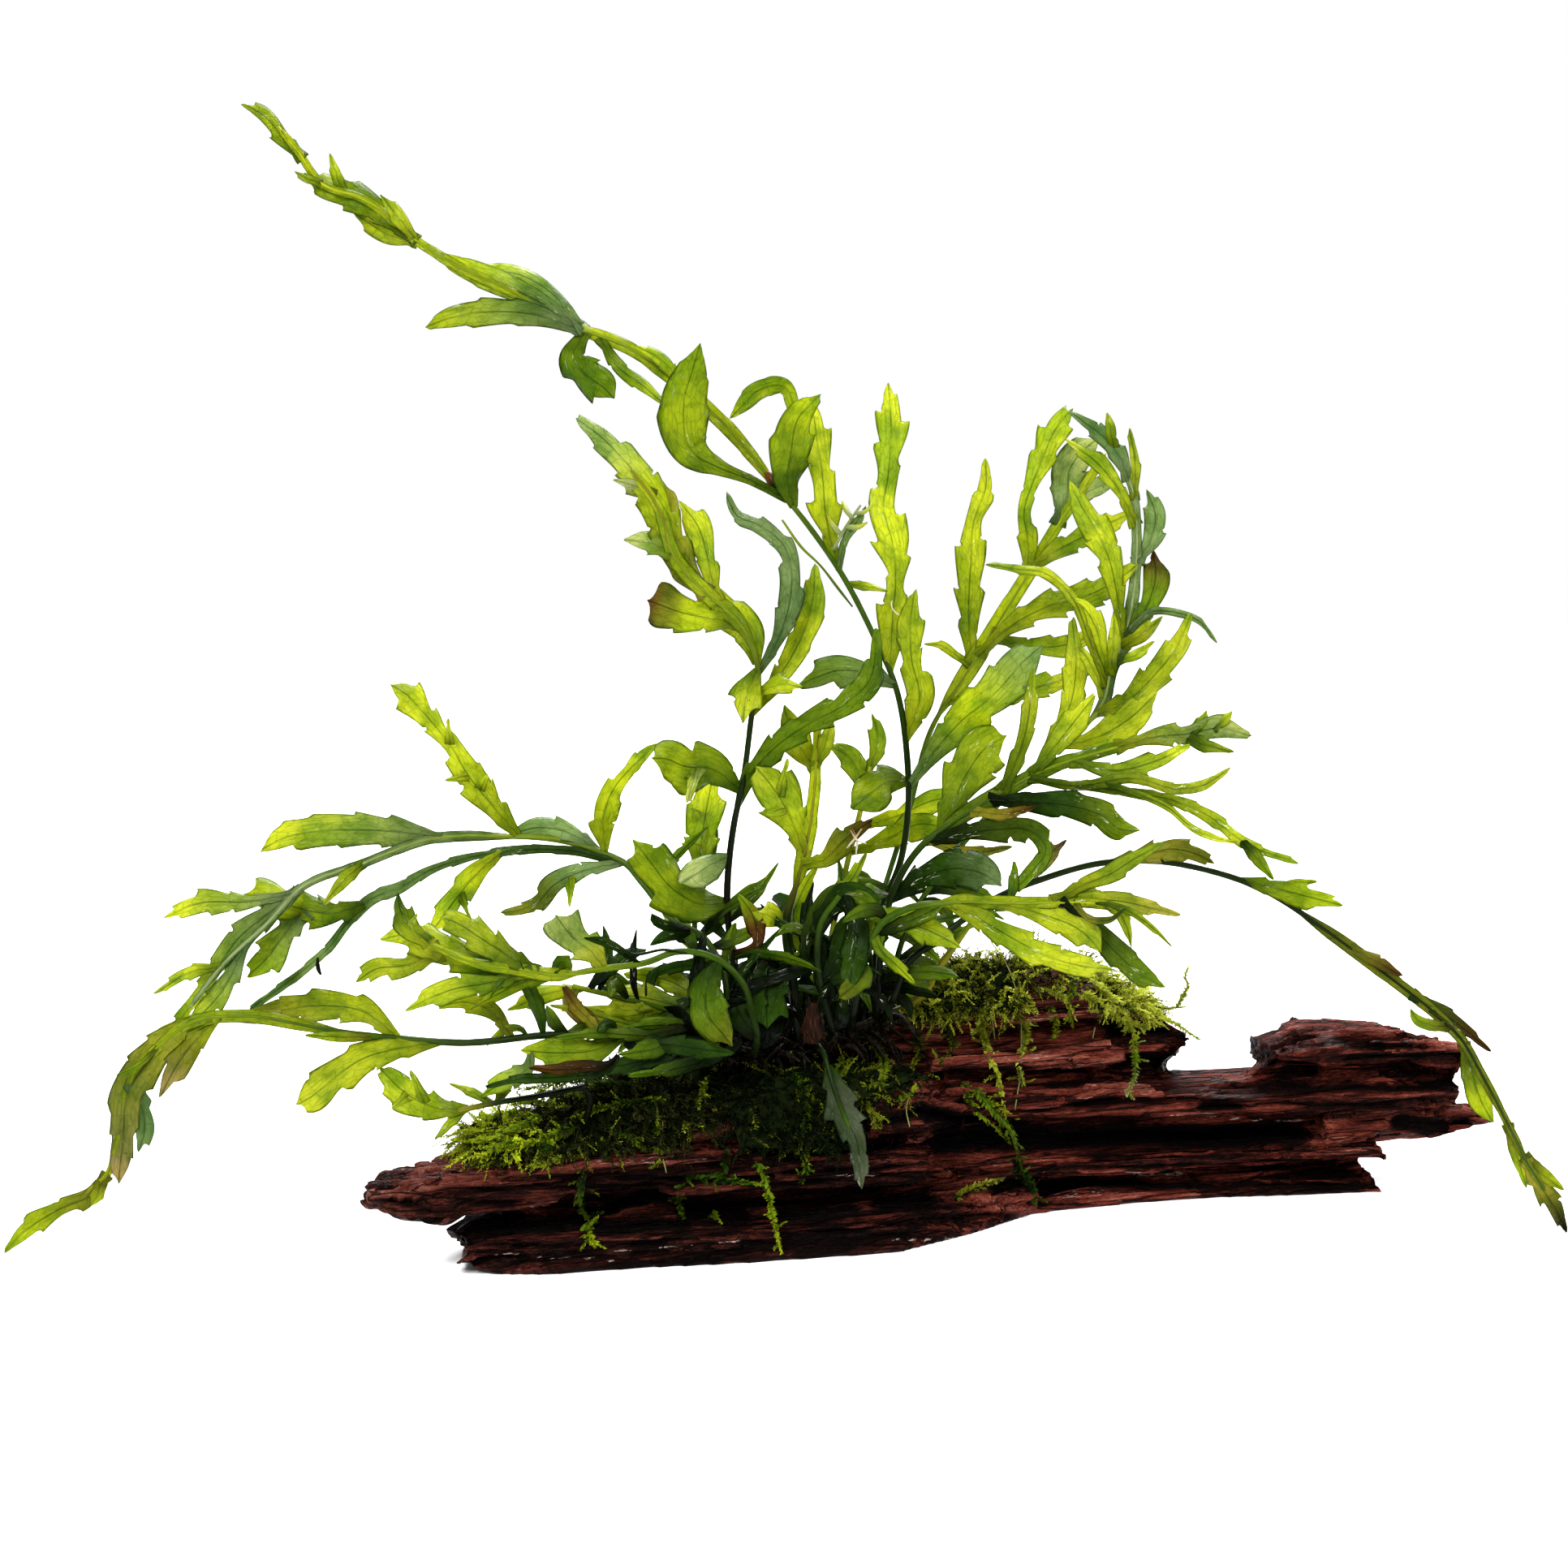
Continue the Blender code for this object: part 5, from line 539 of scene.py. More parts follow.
# Fronds. A route runs from the base to the tip: u, v, t and width of the stem. A leaf is how far its tip
# comes forward of its base, how much its face leans, and its middle line: u, v and width.
FRONDS = {
    "frond_tall": ([
        (14, -40.2, -9, 2), (15.6, -33.4, -9, 1.9), (17.4, -21.1, -8, 1.8), (20.1, -14.4, -7, 1.6),
        (21.7, -4, -6, 1.5), (21.5, 4.7, -5, 1.5), (19.5, 17, -5, 1.4), (15.4, 26.5, -6, 1.3),
        (10.2, 36.5, -7, 1.3), (4, 45.5, -8, 1.3), (-1.9, 52.7, -9, 1.3), (-8.6, 60.9, -10, 1.5),
        (-17.7, 69.5, -11, 1.5), (-26.7, 76, -12, 1.5), (-39.9, 81.3, -13, 1.6), (-46.2, 85.4, -13, 1.6),
        (-57.5, 90.8, -13, 1.6), (-63.4, 94.4, -13, 1.7), (-74, 102.5, -12, 1.6), (-80.6, 104.8, -11, 1.5),
        (-85.1, 110.7, -10, 1.2), (-88.5, 115, -9, 1),
    ], [
        (0, 0.3, [(-84.5, 109.5, 1.2), (-88, 113.5, 2.3), (-91, 117, 1.9), (-94.3, 118.9, 0)]),
        (3, 0, [(-80.6, 104.8, 1), (-83.5, 106, 1.3), (-85.7, 107.2, 0)]),
        (1, 0.3, [(-64, 95, 1.5), (-70, 99.5, 3.5), (-76, 103, 4.5), (-81, 105, 3), (-84, 107, 0)]),
        (2, 0, [(-77, 104, 1.6), (-78.6, 107.5, 1.4), (-79.5, 110.4, 0)]),
        (-3, -0.4, [(-64.3, 94.8, 1), (-68.8, 95.9, 2.7), (-72.5, 98, 2), (-75.4, 100, 0)]),
        (4, 0.4, [(-64.3, 95.3, 1), (-67, 98.5, 2.2), (-69, 101, 1.8), (-70.4, 103, 0)]),
        (6, 0.4, [(-36, 79.5, 1.5), (-44, 82.2, 3.5), (-53, 82.5, 4), (-58.5, 81.5, 3), (-62.8, 79.9, 0)]),
        (-1, -0.3, [(-36, 80, 1.6), (-43, 84.5, 3), (-50, 87.8, 4), (-57.5, 91, 2.5), (-61, 92.8, 0.7)]),
        (-5, 0.6, [(-34.4, 79.9, 1), (-39.9, 85.3, 1.8), (-45, 88.7, 2.3), (-50, 90, 2), (-54.8, 90.6, 0)]),
        (7, 0.5, [(-35.3, 78.2, 1.5), (-36.8, 74.5, 4), (-34.5, 71.5, 5), (-31.5, 69.3, 4),
            (-29.8, 67.5, 0)]),
        (9, -0.3, [(-33, 77, 1), (-29, 73, 2), (-25, 70, 2), (-21, 66.5, 0)]),
        (3, 0.2, [(-16.8, 70, 0.8), (-21, 73.8, 2.3), (-26, 76.8, 0)]),
        (18, 0.2, [(0.5, 50, 1.2), (-5.9, 53.2, 1.6), (-11.4, 55.4, 2.6), (-16, 58, 5.5), (-17.6, 66, 7.7),
            (-16, 72.5, 4.5), (-14.6, 77.2, 0)]),
        (7, -0.5, [(1.2, 49, 1), (2.2, 58, 1.3), (1.8, 65.5, 2), (0, 69.6, 2.4), (-4.6, 68.8, 3),
            (-6.8, 66.8, 2.5), (-9.5, 63.9, 0)]),
        (14, 0.3, [(1.8, 48.8, 1.2), (0.6, 53, 4), (1.2, 58, 6.3), (2.5, 64, 4.5), (6.5, 68.3, 0)]),
        (-4, 0.4, [(9.5, 37, 1), (8.2, 42.5, 2), (7.2, 47.8, 4.5), (6.8, 53.2, 3.2), (5.8, 60, 4),
            (5, 65, 2.4), (4.3, 67.5, 0)]),
        (3, 0.2, [(9.8, 37, 0.8), (10.8, 43, 1.2), (12.8, 46, 1.4), (14.4, 48.7, 0)]),
        (3, 0, [(11, 34.8, 0.8), (14.5, 34.6, 1.5), (18.1, 33.7, 0)]),
        (9, -0.4, [(19.3, 17.5, 1), (14, 19.5, 4), (9.5, 19.9, 4.5), (5.5, 18.6, 3), (2.7, 17.4, 0)]),
        (7, 0.5, [(21.8, 0, 1), (18.5, 0.5, 4.5), (15, -1.8, 5.9), (12, -4.2, 0)]),
        (-8, 0.4, [(18.7, 19.5, 1), (19, 29.2, 4.5), (19.5, 34.6, 2.3), (19, 42, 5.4), (17.4, 48.7, 4),
            (18.1, 53.2, 2.7), (18.7, 61.4, 4.7), (18.3, 70.2, 0)]),
        (6, -0.4, [(21.3, 7, 1), (23.7, 15.3, 4), (22.3, 22.1, 3), (22.1, 28, 3.6), (22.8, 33.7, 0)]),
        (12, 0.5, [(21.8, -1, 1), (26.5, 6, 3), (31, 11, 5), (37, 16, 5.9), (42, 21.5, 4.5),
            (45.2, 24.3, 0)]),
    ]),
    "frond_left_upright": ([
        (-7.9, -44, -4, 2), (-8.8, -33.3, -2, 1.9), (-10, -19.8, 0, 1.7), (-8.8, -7.1, 2, 1.5),
        (-7.2, 0.6, 4, 1.4), (-5.7, 12, 7, 1.3), (-4.6, 20.1, 10, 1.3), (-7.3, 27.4, 14, 1.4),
        (-13.6, 33.3, 18, 1.6), (-19.1, 39.6, 22, 1.6), (-21.8, 47.8, 26, 1.5), (-26.7, 55, 30, 1.4),
    ], [
        (8, 0.3, [(-13.5, 33.2, 1.6), (-17.5, 37.5, 4), (-20.3, 44, 4.8), (-22.8, 50, 4.6), (-27, 55.5, 4),
            (-31.5, 60.3, 3.2), (-36.4, 64, 0)]),
        (3, 0, [(-22.6, 50, 1.2), (-26.5, 52.3, 2.7), (-29.9, 53.2, 0)]),
        (3, 0.3, [(-19.6, 41, 1.2), (-24, 42.3, 3.2), (-27.9, 42.7, 0)]),
        (-4, -0.3, [(-18, 38.5, 1), (-20, 44.5, 2.7), (-20.3, 49.5, 2.4), (-22, 53.7, 0)]),
        (-6, 0.4, [(-12.2, 32, 1.2), (-13.4, 39.6, 3), (-15, 45, 3.6), (-18.4, 49.6, 0)]),
        (5, -0.4, [(-8.5, 28, 1.5), (-13, 29, 4), (-18.5, 30.2, 5.4), (-22, 31.5, 5), (-24, 32.2, 0)]),
        (2, 0.2, [(-4.8, 21, 1.4), (-6.2, 26.5, 4.2), (-11, 31, 3.8), (-15, 35, 1)]),
        (4, 0.4, [(-4.7, 20, 1.2), (-6.4, 16, 4.4), (-7.2, 10.5, 0)]),
        (-7, 0.4, [(-4.6, 19, 0.9), (-1, 25.5, 2.2), (0.9, 31.4, 3.5), (1.3, 36.5, 3), (0, 41.6, 2.6),
            (-4.5, 45.4, 2.2), (-8.4, 47.2, 1.6), (-10, 50.3, 0)]),
        (-9, -0.5, [(-5.7, 12, 1), (-1, 18.5, 2.6), (3, 25.5, 3.2), (5, 32, 3.4), (5.4, 38.6, 0)]),
        (12, 0.5, [(-8, -4, 1), (-6, 1.5, 2.6), (-2.2, 5.8, 3.4), (4, 10.4, 3.6), (10.2, 13.7, 3.6),
            (14.6, 17.6, 3.4), (16.4, 27, 0)]),
        (8, -0.3, [(-5, 16, 1), (-0.8, 17.4, 2.7), (3.4, 17, 0)]),
        (18, 0.3, [(-7.8, -1, 1.2), (-12.5, 2.6, 5), (-17.6, 3.2, 7), (-20.6, 4.4, 5), (-23.2, 4.6, 0)]),
        (15, 0.3, [(-15.5, 2.5, 3), (-17, -3.4, 0)]),
        (22, 0.4, [(-10, -21, 1.4), (-14.5, -21, 5), (-19.5, -18.3, 6.8), (-23.4, -13.6, 5.4),
            (-26.6, -9.6, 0)]),
        (10, -0.4, [(-9.7, -13, 1.2), (-13, -14.2, 4.2), (-15.5, -15.8, 4), (-18, -17.5, 0)]),
        (5, 0.3, [(-9.4, -29.5, 0.8), (-5, -28.5, 2), (-5.5, -23, 2.6), (-8, -19.3, 0)]),
    ]),
    "frond_left_long": ([
        (-9.8, -42.6, 3, 2), (-11, -32, 2, 1.9), (-14.5, -26.5, 0, 1.8), (-18.8, -24.3, -2, 1.7),
        (-24.7, -17.5, -4, 1.6), (-27.7, -14, -5, 1.8), (-32.1, -11.9, -6, 1.6), (-40.2, -9.7, -7, 1.6),
        (-48.4, -9.2, -8, 1.5), (-62, -9.7, -8, 1.5), (-73.9, -14, -7, 1.5), (-84.8, -18.4, -6, 1.5),
        (-89.7, -23.7, -4, 1.5), (-98.5, -32, -1, 1.4), (-104, -39.2, 2, 1),
    ], [
        (6, 0.4, [(-46.7, -9.2, 1), (-51, -3.8, 4), (-55.3, 1.6, 4.1), (-58.6, 7, 2.6), (-62.5, 11.8, 3.4),
            (-67, 16.4, 3.2), (-68.8, 17.4, 0)]),
        (3, 0.2, [(-53.5, -1, 1.6), (-51.8, 1.8, 0)]),
        (3, 0.2, [(-55.3, 1.6, 1.6), (-59.5, 0.6, 0)]),
        (3, 0.2, [(-58.4, 7, 1.4), (-58.8, 11.4, 0)]),
        (-6, -0.4, [(-60, -9.4, 1), (-67, -8.4, 3.8), (-76, -8, 4.4), (-84, -8.6, 4), (-88, -9.6, 3.4),
            (-91.3, -11.4, 0)]),
        (5, 0.3, [(-31.2, -12, 0.8), (-31.6, -5.5, 4), (-29.6, -0.5, 2.4), (-27.2, 2.4, 1.6),
            (-22.4, 7.1, 0)]),
        (-3, 0.4, [(-32, -11.9, 1), (-38, -8.4, 3), (-43, -7.6, 3), (-47.5, -8.6, 0)]),
        (-5, 0.3, [(-85.8, -19, 1), (-94, -20.6, 2.4), (-102, -20.8, 3.4), (-108.6, -23.4, 0)]),
        (3, 0.4, [(-84.5, -18.3, 1.4), (-90, -22.5, 3.4), (-95.5, -27, 3.4), (-99, -32, 2.6),
            (-103, -37.5, 2), (-107.4, -43.6, 0)]),
        (-4, -0.3, [(-98.5, -32, 1), (-103.5, -32.8, 2.2), (-110.1, -36.7, 0)]),
        (5, 0.4, [(-94, -28, 1.2), (-98.5, -36.5, 3.2), (-102.5, -41, 2), (-104.5, -43.5, 0)]),
        (5, -0.3, [(-73.5, -13.8, 1), (-77, -16.8, 2.2), (-80.5, -21, 0)]),
        (7, 0.4, [(-28.4, -14, 1), (-34.8, -15.1, 2.4), (-40.2, -17.6, 3), (-43.5, -21, 2.2),
            (-49.5, -22.6, 0)]),
        (4, 0.2, [(-37.5, -16.4, 2), (-37.4, -21.4, 0)]),
        (-14, 0.3, [(-28.5, -13.5, 1.3), (-35.9, -11.9, 1.4), (-42.9, -11.4, 1.4), (-49.5, -11.9, 1.4),
            (-56.5, -13.2, 1.4), (-62, -15.1, 1.5), (-67.4, -18.2, 1.8), (-72, -20, 2), (-76.4, -24.3, 1.5),
            (-79.7, -28.7, 1.3), (-84.7, -33.1, 1.3), (-89.1, -36.4, 1.2), (-93.5, -39.4, 0)]),
        (3, 0.3, [(-73.5, -21, 1.2), (-79, -22.6, 4), (-86, -21.4, 5), (-91.5, -19.6, 4.6),
            (-94.6, -19.2, 0)]),
        (4, 0.4, [(-84, -22, 1.5), (-87.5, -26.5, 4.2), (-90.5, -30.5, 4.4), (-94, -33.8, 0)]),
        (6, -0.4, [(-49.5, -11.9, 1), (-53.5, -15.4, 3), (-57, -19.5, 3.3), (-59.8, -23.3, 2.8),
            (-62.5, -27.1, 0)]),
        (4, 0.2, [(-56.5, -19, 1.4), (-54.6, -24.4, 0)]),
    ]),
    "frond_left_low": ([
        (-11.5, -44.4, 8, 2), (-18.5, -44.6, 9, 1.9), (-29.4, -43.9, 10, 1.9), (-40.2, -43.9, 11, 1.8),
        (-56.5, -45.3, 12, 1.8), (-66.2, -44.7, 12, 1.7), (-76.4, -43.6, 13, 1.6), (-83, -42.4, 14, 1.5),
        (-94.6, -40.6, 15, 1.8), (-104, -41.9, 16, 1.6), (-108.5, -45.2, 16, 1.6), (-113.3, -50.1, 16, 1.6),
        (-116, -61.3, 16, 1.6), (-118.5, -68.5, 16, 1.4), (-124.5, -73.4, 16, 1.3),
    ], [
        (1, 0.4, [(-100, -41, 1.5), (-106.5, -43.5, 3.6), (-111.5, -48.8, 5), (-115, -55, 4.6),
            (-115.6, -62, 3.4), (-116.2, -67, 2.4), (-116.4, -70, 0)]),
        (1, 0.3, [(-118, -68.3, 1.2), (-121.5, -72, 2.6), (-127, -74.5, 2.4), (-132.5, -78, 3),
            (-136.2, -81.5, 0)]),
        (1, 0, [(-119.5, -69.5, 1.2), (-120.4, -72.4, 1.8), (-121.4, -74, 0)]),
        (-6, 0.3, [(-98.5, -40.8, 0.9), (-104, -41, 1.1), (-109.7, -43.1, 0)]),
        (3, 0.2, [(-109.5, -46, 0.8), (-113, -49.3, 0.9), (-116.9, -51, 0)]),
        (-7, -0.3, [(-113.8, -52, 1.2), (-112.5, -56, 3), (-111.8, -60, 3), (-112.9, -64.4, 0)]),
        (6, 0.4, [(-99, -41, 1.2), (-103.5, -45.5, 3.2), (-107, -50.5, 3.2), (-109, -54.6, 0)]),
        (-5, -0.4, [(-67, -44.6, 1), (-73.6, -39.8, 4), (-81.9, -38.8, 4.4), (-88, -39.6, 3.4),
            (-95.5, -40.8, 0)]),
        (5, 0.2, [(-71, -44, 0.8), (-79, -44.2, 1.5), (-83.8, -43.9, 0)]),
        (7, 0.5, [(-60, -45.2, 1), (-67, -46.2, 3.4), (-73.6, -48, 4.4), (-79.2, -51.9, 5),
            (-82.5, -54.6, 4.4), (-85.2, -56.2, 0)]),
        (-7, 0.4, [(-47.3, -44.3, 1), (-51.1, -39.9, 2.7), (-55.5, -38.2, 2.7), (-60.5, -38.9, 0)]),
        (6, 0.4, [(-28, -44, 1), (-33, -46.5, 3.6), (-40, -47, 4.6), (-46.2, -46.6, 0)]),
        (5, -0.3, [(-17.5, -44.6, 1), (-23, -46.4, 3), (-29, -47.4, 0)]),
    ]),
    "frond_left_lobed": ([
        (-5, -42.4, 7, 1.8), (-7.5, -34.5, 8, 1.8), (-11.5, -30.8, 9, 1.7), (-18.8, -29.4, 10, 1.6),
        (-23.9, -31.2, 12, 1.5), (-32.1, -32.4, 14, 1.5), (-40.2, -33.4, 17, 1.5), (-45.7, -32.6, 19, 1.5),
        (-55.5, -30.9, 22, 1.4), (-62, -28, 24, 1.2),
    ], [
        (3, 0.2, [(-43, -33, 1.6), (-48, -31.9, 5.2), (-55, -30.6, 4.6), (-61, -28.6, 4.6), (-65.8, -26.4, 4),
            (-70.4, -27.2, 0)]),
        (3, 0.2, [(-62, -27.8, 2), (-66.2, -24, 3.4), (-67.3, -21.5, 2.2), (-67.4, -19.2, 0)]),
        (2, 0, [(-62.5, -27.6, 1.4), (-65, -24.4, 1.5), (-64.1, -22.5, 0)]),
        (6, 0.4, [(-43, -33, 1), (-48.4, -30, 3.4), (-53.3, -26.8, 4.3), (-57.5, -24.2, 3.4),
            (-60.3, -23.3, 0)]),
        (5, -0.3, [(-44, -33.2, 1), (-52.2, -34.9, 3), (-57.6, -35.8, 3.3), (-62, -37.5, 2.6),
            (-66, -39.4, 0)]),
        (-4, 0.3, [(-60, -29.6, 1.2), (-66.5, -31.8, 3.2), (-71.5, -32.4, 2.8), (-75, -34.7, 0)]),
        (9, 0.3, [(-31, -32.2, 1.2), (-33.6, -29.5, 4.2), (-37.2, -26.6, 5.4), (-39.2, -24, 4),
            (-40, -22.8, 0)]),
        (8, 0.4, [(-11, -31, 1.2), (-13.6, -36, 5), (-13.2, -40.5, 6.2), (-10.5, -44, 3), (-9, -46, 0)]),
    ]),
    "frond_centre": ([
        (2.6, -44.2, -6, 2.4), (1.4, -34, -4, 2.4), (0.7, -22, -2, 2.2), (2, -18, -1, 1.6),
        (4.1, -9.8, 0, 1.5), (5.4, 0.1, 1, 1.4), (5.9, 10.1, 2, 1.2), (6.3, 14.2, 2, 0.7),
    ], [
        (4, 0.3, [(3.4, -12, 1.2), (1.4, -6.5, 4.5), (-0.8, -2.3, 6.4), (-3.2, 1, 4), (-5, 3, 0)]),
        (2, 0.2, [(0.2, -4.4, 1.8), (-3.4, -5.4, 0)]),
        (3, 0.2, [(-0.8, -2.3, 1.8), (0.6, 4.6, 0)]),
        (-3, -0.3, [(5.6, 2.4, 1), (3.4, 5.6, 3.2), (1.2, 9.6, 4), (0, 13.7, 0)]),
        (3, 0.3, [(5.6, 3, 0.9), (7.4, 7.5, 2.3), (8.4, 12.4, 0)]),
        (7, 0.4, [(3.2, -14.5, 1), (7, -13.2, 2.6), (10.5, -9.8, 3.2), (15.6, -6.2, 0)]),
        (5, 0.3, [(0.8, -24.3, 1), (-2.4, -23.2, 3.4), (-5, -22.3, 0)]),
        (8, 0.4, [(1.1, -30, 1.2), (-2.2, -34, 5), (-3, -39, 5.6), (-2.9, -43, 0)]),
    ]),
    "frond_right_glossy": ([
        (16.4, -39, -6, 2), (16.8, -30, -3, 1.9), (18.3, -21, 2, 1.8), (23.7, -11.2, 5, 1.7),
        (30.9, -5.8, 6, 1.6), (37.7, -1.7, 7, 1.5), (45.4, 2.4, 7, 1.5), (54.9, 5.5, 7, 1.4),
        (65.4, 8.1, 6, 1.3), (72, 8.6, 6, 1),
    ], [
        (0, 0.3, [(58, 6.3, 1), (66, 8.4, 3), (71, 8.8, 3.2), (76, 9.8, 3.4), (81.9, 8.4, 0)]),
        (1, 0, [(71, 9, 1.2), (73, 11, 1.6), (74, 13, 0)]),
        (1, 0, [(75, 9.8, 1.2), (77, 11.2, 1.6), (78.4, 12.8, 0)]),
        (4, 0.2, [(69.5, 8.4, 1), (74, 6.8, 2.2), (78.7, 5.6, 0)]),
        (-5, 0.5, [(27.3, -8.5, 1.2), (29.5, -3.5, 4.5), (31.8, 1.5, 6.6), (35.5, 6.5, 6.4),
            (39.1, 8.6, 0)]),
        (4, -0.4, [(38.2, -1.5, 1), (40.5, 3.7, 2.2), (42.4, 9.6, 2.3), (43.2, 15.3, 2), (43.6, 20.2, 0)]),
        (6, 0.4, [(43.6, 1.5, 1), (48.1, 7.5, 3), (51.8, 12.2, 3.2), (54.5, 15.5, 0)]),
        (4, -0.4, [(50, 3.8, 1), (58, 2.4, 2.4), (65, 4, 2.7), (71, 7, 0)]),
        (7, 0.3, [(43, 1.2, 1), (51, -0.3, 1.6), (61.8, 1, 1.7), (68.6, -0.8, 1.7), (73.1, -0.3, 1.6),
            (78.2, 2.9, 0)]),
        (-4, 0.2, [(56, 0.2, 0.9), (62, -1.8, 1.1), (67, -4, 1.1), (72, -8, 1.1), (75.3, -9.4, 1.1),
            (79.9, -10.3, 0)]),
        (-4, 0.4, [(51, -0.2, 1), (61.8, -1.7, 1.6), (68.6, -3, 1.8), (74, -5.4, 2.1), (80.5, -10.2, 1.8),
            (90.1, -13.9, 0)]),
        (2, 0.3, [(80, -9.8, 0.9), (82.8, -13, 2.1), (85.6, -16.7, 0)]),
        (9, 0.5, [(36, -2.8, 1), (44, -3.2, 3), (50, -3.8, 4), (55.4, -5.3, 3.8), (58.7, -7.8, 3),
            (62.2, -8.2, 0)]),
        (12, -0.3, [(33, -4.8, 0.9), (38.5, -5.2, 2), (44, -4, 0)]),
        (9, 0.4, [(24.5, -10.7, 1), (30, -9, 2.5), (37, -8, 3.6), (43.5, -8.4, 3.4), (45.8, -11, 2.6),
            (42.7, -16.1, 2), (39.1, -19.3, 0)]),
        (-4, 0.3, [(25.5, -10, 0.9), (33, -12, 2), (40, -11, 0)]),
        (11, -0.4, [(18.6, -20.2, 1.2), (25, -16, 4.5), (31, -14.8, 5.6), (35.5, -16, 4), (38.2, -18, 0)]),
    ]),
    "frond_right_low": ([
        (12.2, -39.6, 1, 1.9), (14, -31, 5, 1.8), (17.5, -24, 9, 1.7), (22, -21.6, 12, 1.6),
        (28, -20.8, 14, 1.6), (41.3, -20.9, 16, 1.5), (50, -20.7, 17, 1.3), (58, -21, 18, 1),
    ], [
        (1, 0.3, [(46, -20.8, 1), (52, -20.4, 2.4), (58, -20.4, 2.7), (64, -21.6, 2), (69.3, -22.9, 0)]),
        (6, 0.5, [(28, -20.9, 1), (35.4, -24.3, 3.4), (40.9, -27.5, 4), (46.3, -30.2, 4), (52, -31.8, 3),
            (57.7, -32.5, 0)]),
        (3, -0.4, [(37, -21, 1), (45.8, -23, 3.4), (51.3, -25.3, 4), (54, -27.5, 3), (55.6, -29.5, 0)]),
        (-5, 0.4, [(48, -20.8, 1), (54, -25.3, 3), (58, -29.4, 3.6), (63.1, -33.8, 2.6), (66.8, -35.6, 0)]),
        (5, 0.3, [(47, -20.8, 0.9), (52.7, -17.5, 2.4), (57.2, -15.7, 2.7), (60.8, -13.4, 2.4),
            (66.3, -10.2, 0)]),
        (6, 0, [(50.5, -20.8, 0.8), (53.5, -23.6, 1.1), (56.8, -23.8, 1.1), (59.7, -21.8, 0)]),
    ]),
    "frond_right_arching": ([
        (19.4, -36.6, -1, 2), (21.9, -31, 0, 1.9), (25.5, -28.2, 1, 1.8), (31, -24, 1, 1.8),
        (37.3, -19.8, -1, 1.7), (45.8, -16.4, -4, 1.7), (54.9, -13.9, -7, 1.6), (65.4, -13.5, -9, 1.5),
        (73, -14.8, -11, 1.4), (83.5, -18.3, -13, 1.6), (94.1, -25.1, -14, 1.9), (104.6, -32.8, -14, 2),
        (115.1, -41.2, -12, 2.2), (118.3, -44.4, -11, 1.5), (122, -50.7, -9, 1.5), (127.8, -61.8, -6, 1.6),
        (129.9, -66, -4, 1.6), (133.1, -71.2, -2, 1.4),
    ], [
        (-8, 0.4, [(41.3, -18, 0.9), (45, -13.5, 2.7), (49.6, -9.6, 0)]),
        (4, 0.4, [(58, -13.6, 1), (63, -12.4, 3), (68, -11.4, 3.2), (72, -12.2, 2.4), (75.5, -14, 0)]),
        (4, 0.4, [(80, -16.8, 1), (86, -18.2, 3), (92, -19.8, 3.2), (97.8, -21.2, 0)]),
        (-3, 0.2, [(85, -18.6, 0.9), (89.5, -17.5, 1.5), (93.2, -17, 0)]),
        (3, 0.3, [(99, -29, 1), (104.5, -31.5, 2), (108.3, -33.6, 0)]),
        (3, -0.3, [(109.5, -36.8, 1), (115, -40, 2.4), (119.5, -43.3, 1.6), (123.7, -46.8, 0)]),
        (3, 0.2, [(116.5, -42.3, 1), (112.8, -42.1, 1.7), (110.6, -41, 1.4), (109.6, -39.3, 0)]),
        (-4, 0.4, [(118.6, -45, 1), (120.5, -51, 3), (122, -55.5, 3.2), (124, -59.2, 0)]),
        (-3, 0.2, [(126.5, -59.5, 1), (128.2, -65, 1.8), (130, -70.7, 0)]),
        (2, 0.2, [(129.5, -65.2, 1.2), (133, -68.6, 2.2), (136.5, -71, 0)]),
        (0, 0.3, [(129.9, -66, 1.2), (132.4, -70.5, 3), (134.8, -74, 2.4), (136.9, -78.6, 0)]),
    ]),
    "frond_right_high": ([
        (18.2, -36, -16, 2), (22, -24, -16, 1.9), (30, -12, -16, 1.8), (38, -3, -17, 1.6), (45, 4, -18, 1.5),
        (52, 9.5, -19, 1.4), (55.9, 14.4, -19, 1.4), (57.2, 19.9, -20, 1.4), (59.5, 25.3, -21, 1.3),
        (61.3, 34.8, -22, 1.3), (61.7, 43.9, -23, 1.2), (60.9, 51.6, -24, 1.1), (57.7, 58.8, -25, 1),
    ], [
        (-2, 0.3, [(60.5, 53, 1), (58.6, 57.5, 2.6), (55.4, 61.2, 2.4), (52.7, 63.2, 1.5), (50.4, 65, 0)]),
        (2, 0, [(57.6, 59, 0.9), (57, 62.5, 1.6), (56.6, 64.9, 0)]),
        (-3, 0.3, [(61, 50, 0.9), (61.4, 56.5, 1.6), (60.4, 62.2, 0)]),
        (-3, -0.4, [(61.5, 38.5, 1), (64.3, 43, 3), (65, 47, 3), (63.4, 51.6, 0)]),
        (3, 0.3, [(61.5, 45, 1), (58.5, 51.5, 2), (55, 56, 2.7), (49.3, 60.2, 0)]),
        (5, 0.4, [(59.3, 25, 1), (58.2, 33.4, 2.6), (57, 39, 3.6), (54.5, 44.5, 4.3), (51.8, 49, 2.4),
            (50, 53, 0)]),
        (-4, 0.4, [(59.3, 24.5, 1), (61.8, 28, 2.2), (63.6, 31.5, 3), (65, 36, 3.6), (64.6, 41, 0)]),
        (5, -0.4, [(57, 19, 1), (55.6, 23.5, 2.2), (54.5, 27.5, 3), (52.3, 31, 2.2), (49.1, 32.7, 0)]),
        (9, 0.3, [(56.6, 17, 0.9), (53.5, 25, 1.3), (50.5, 32.5, 1.5), (45.4, 37, 1.6), (40.9, 37.6, 1.4),
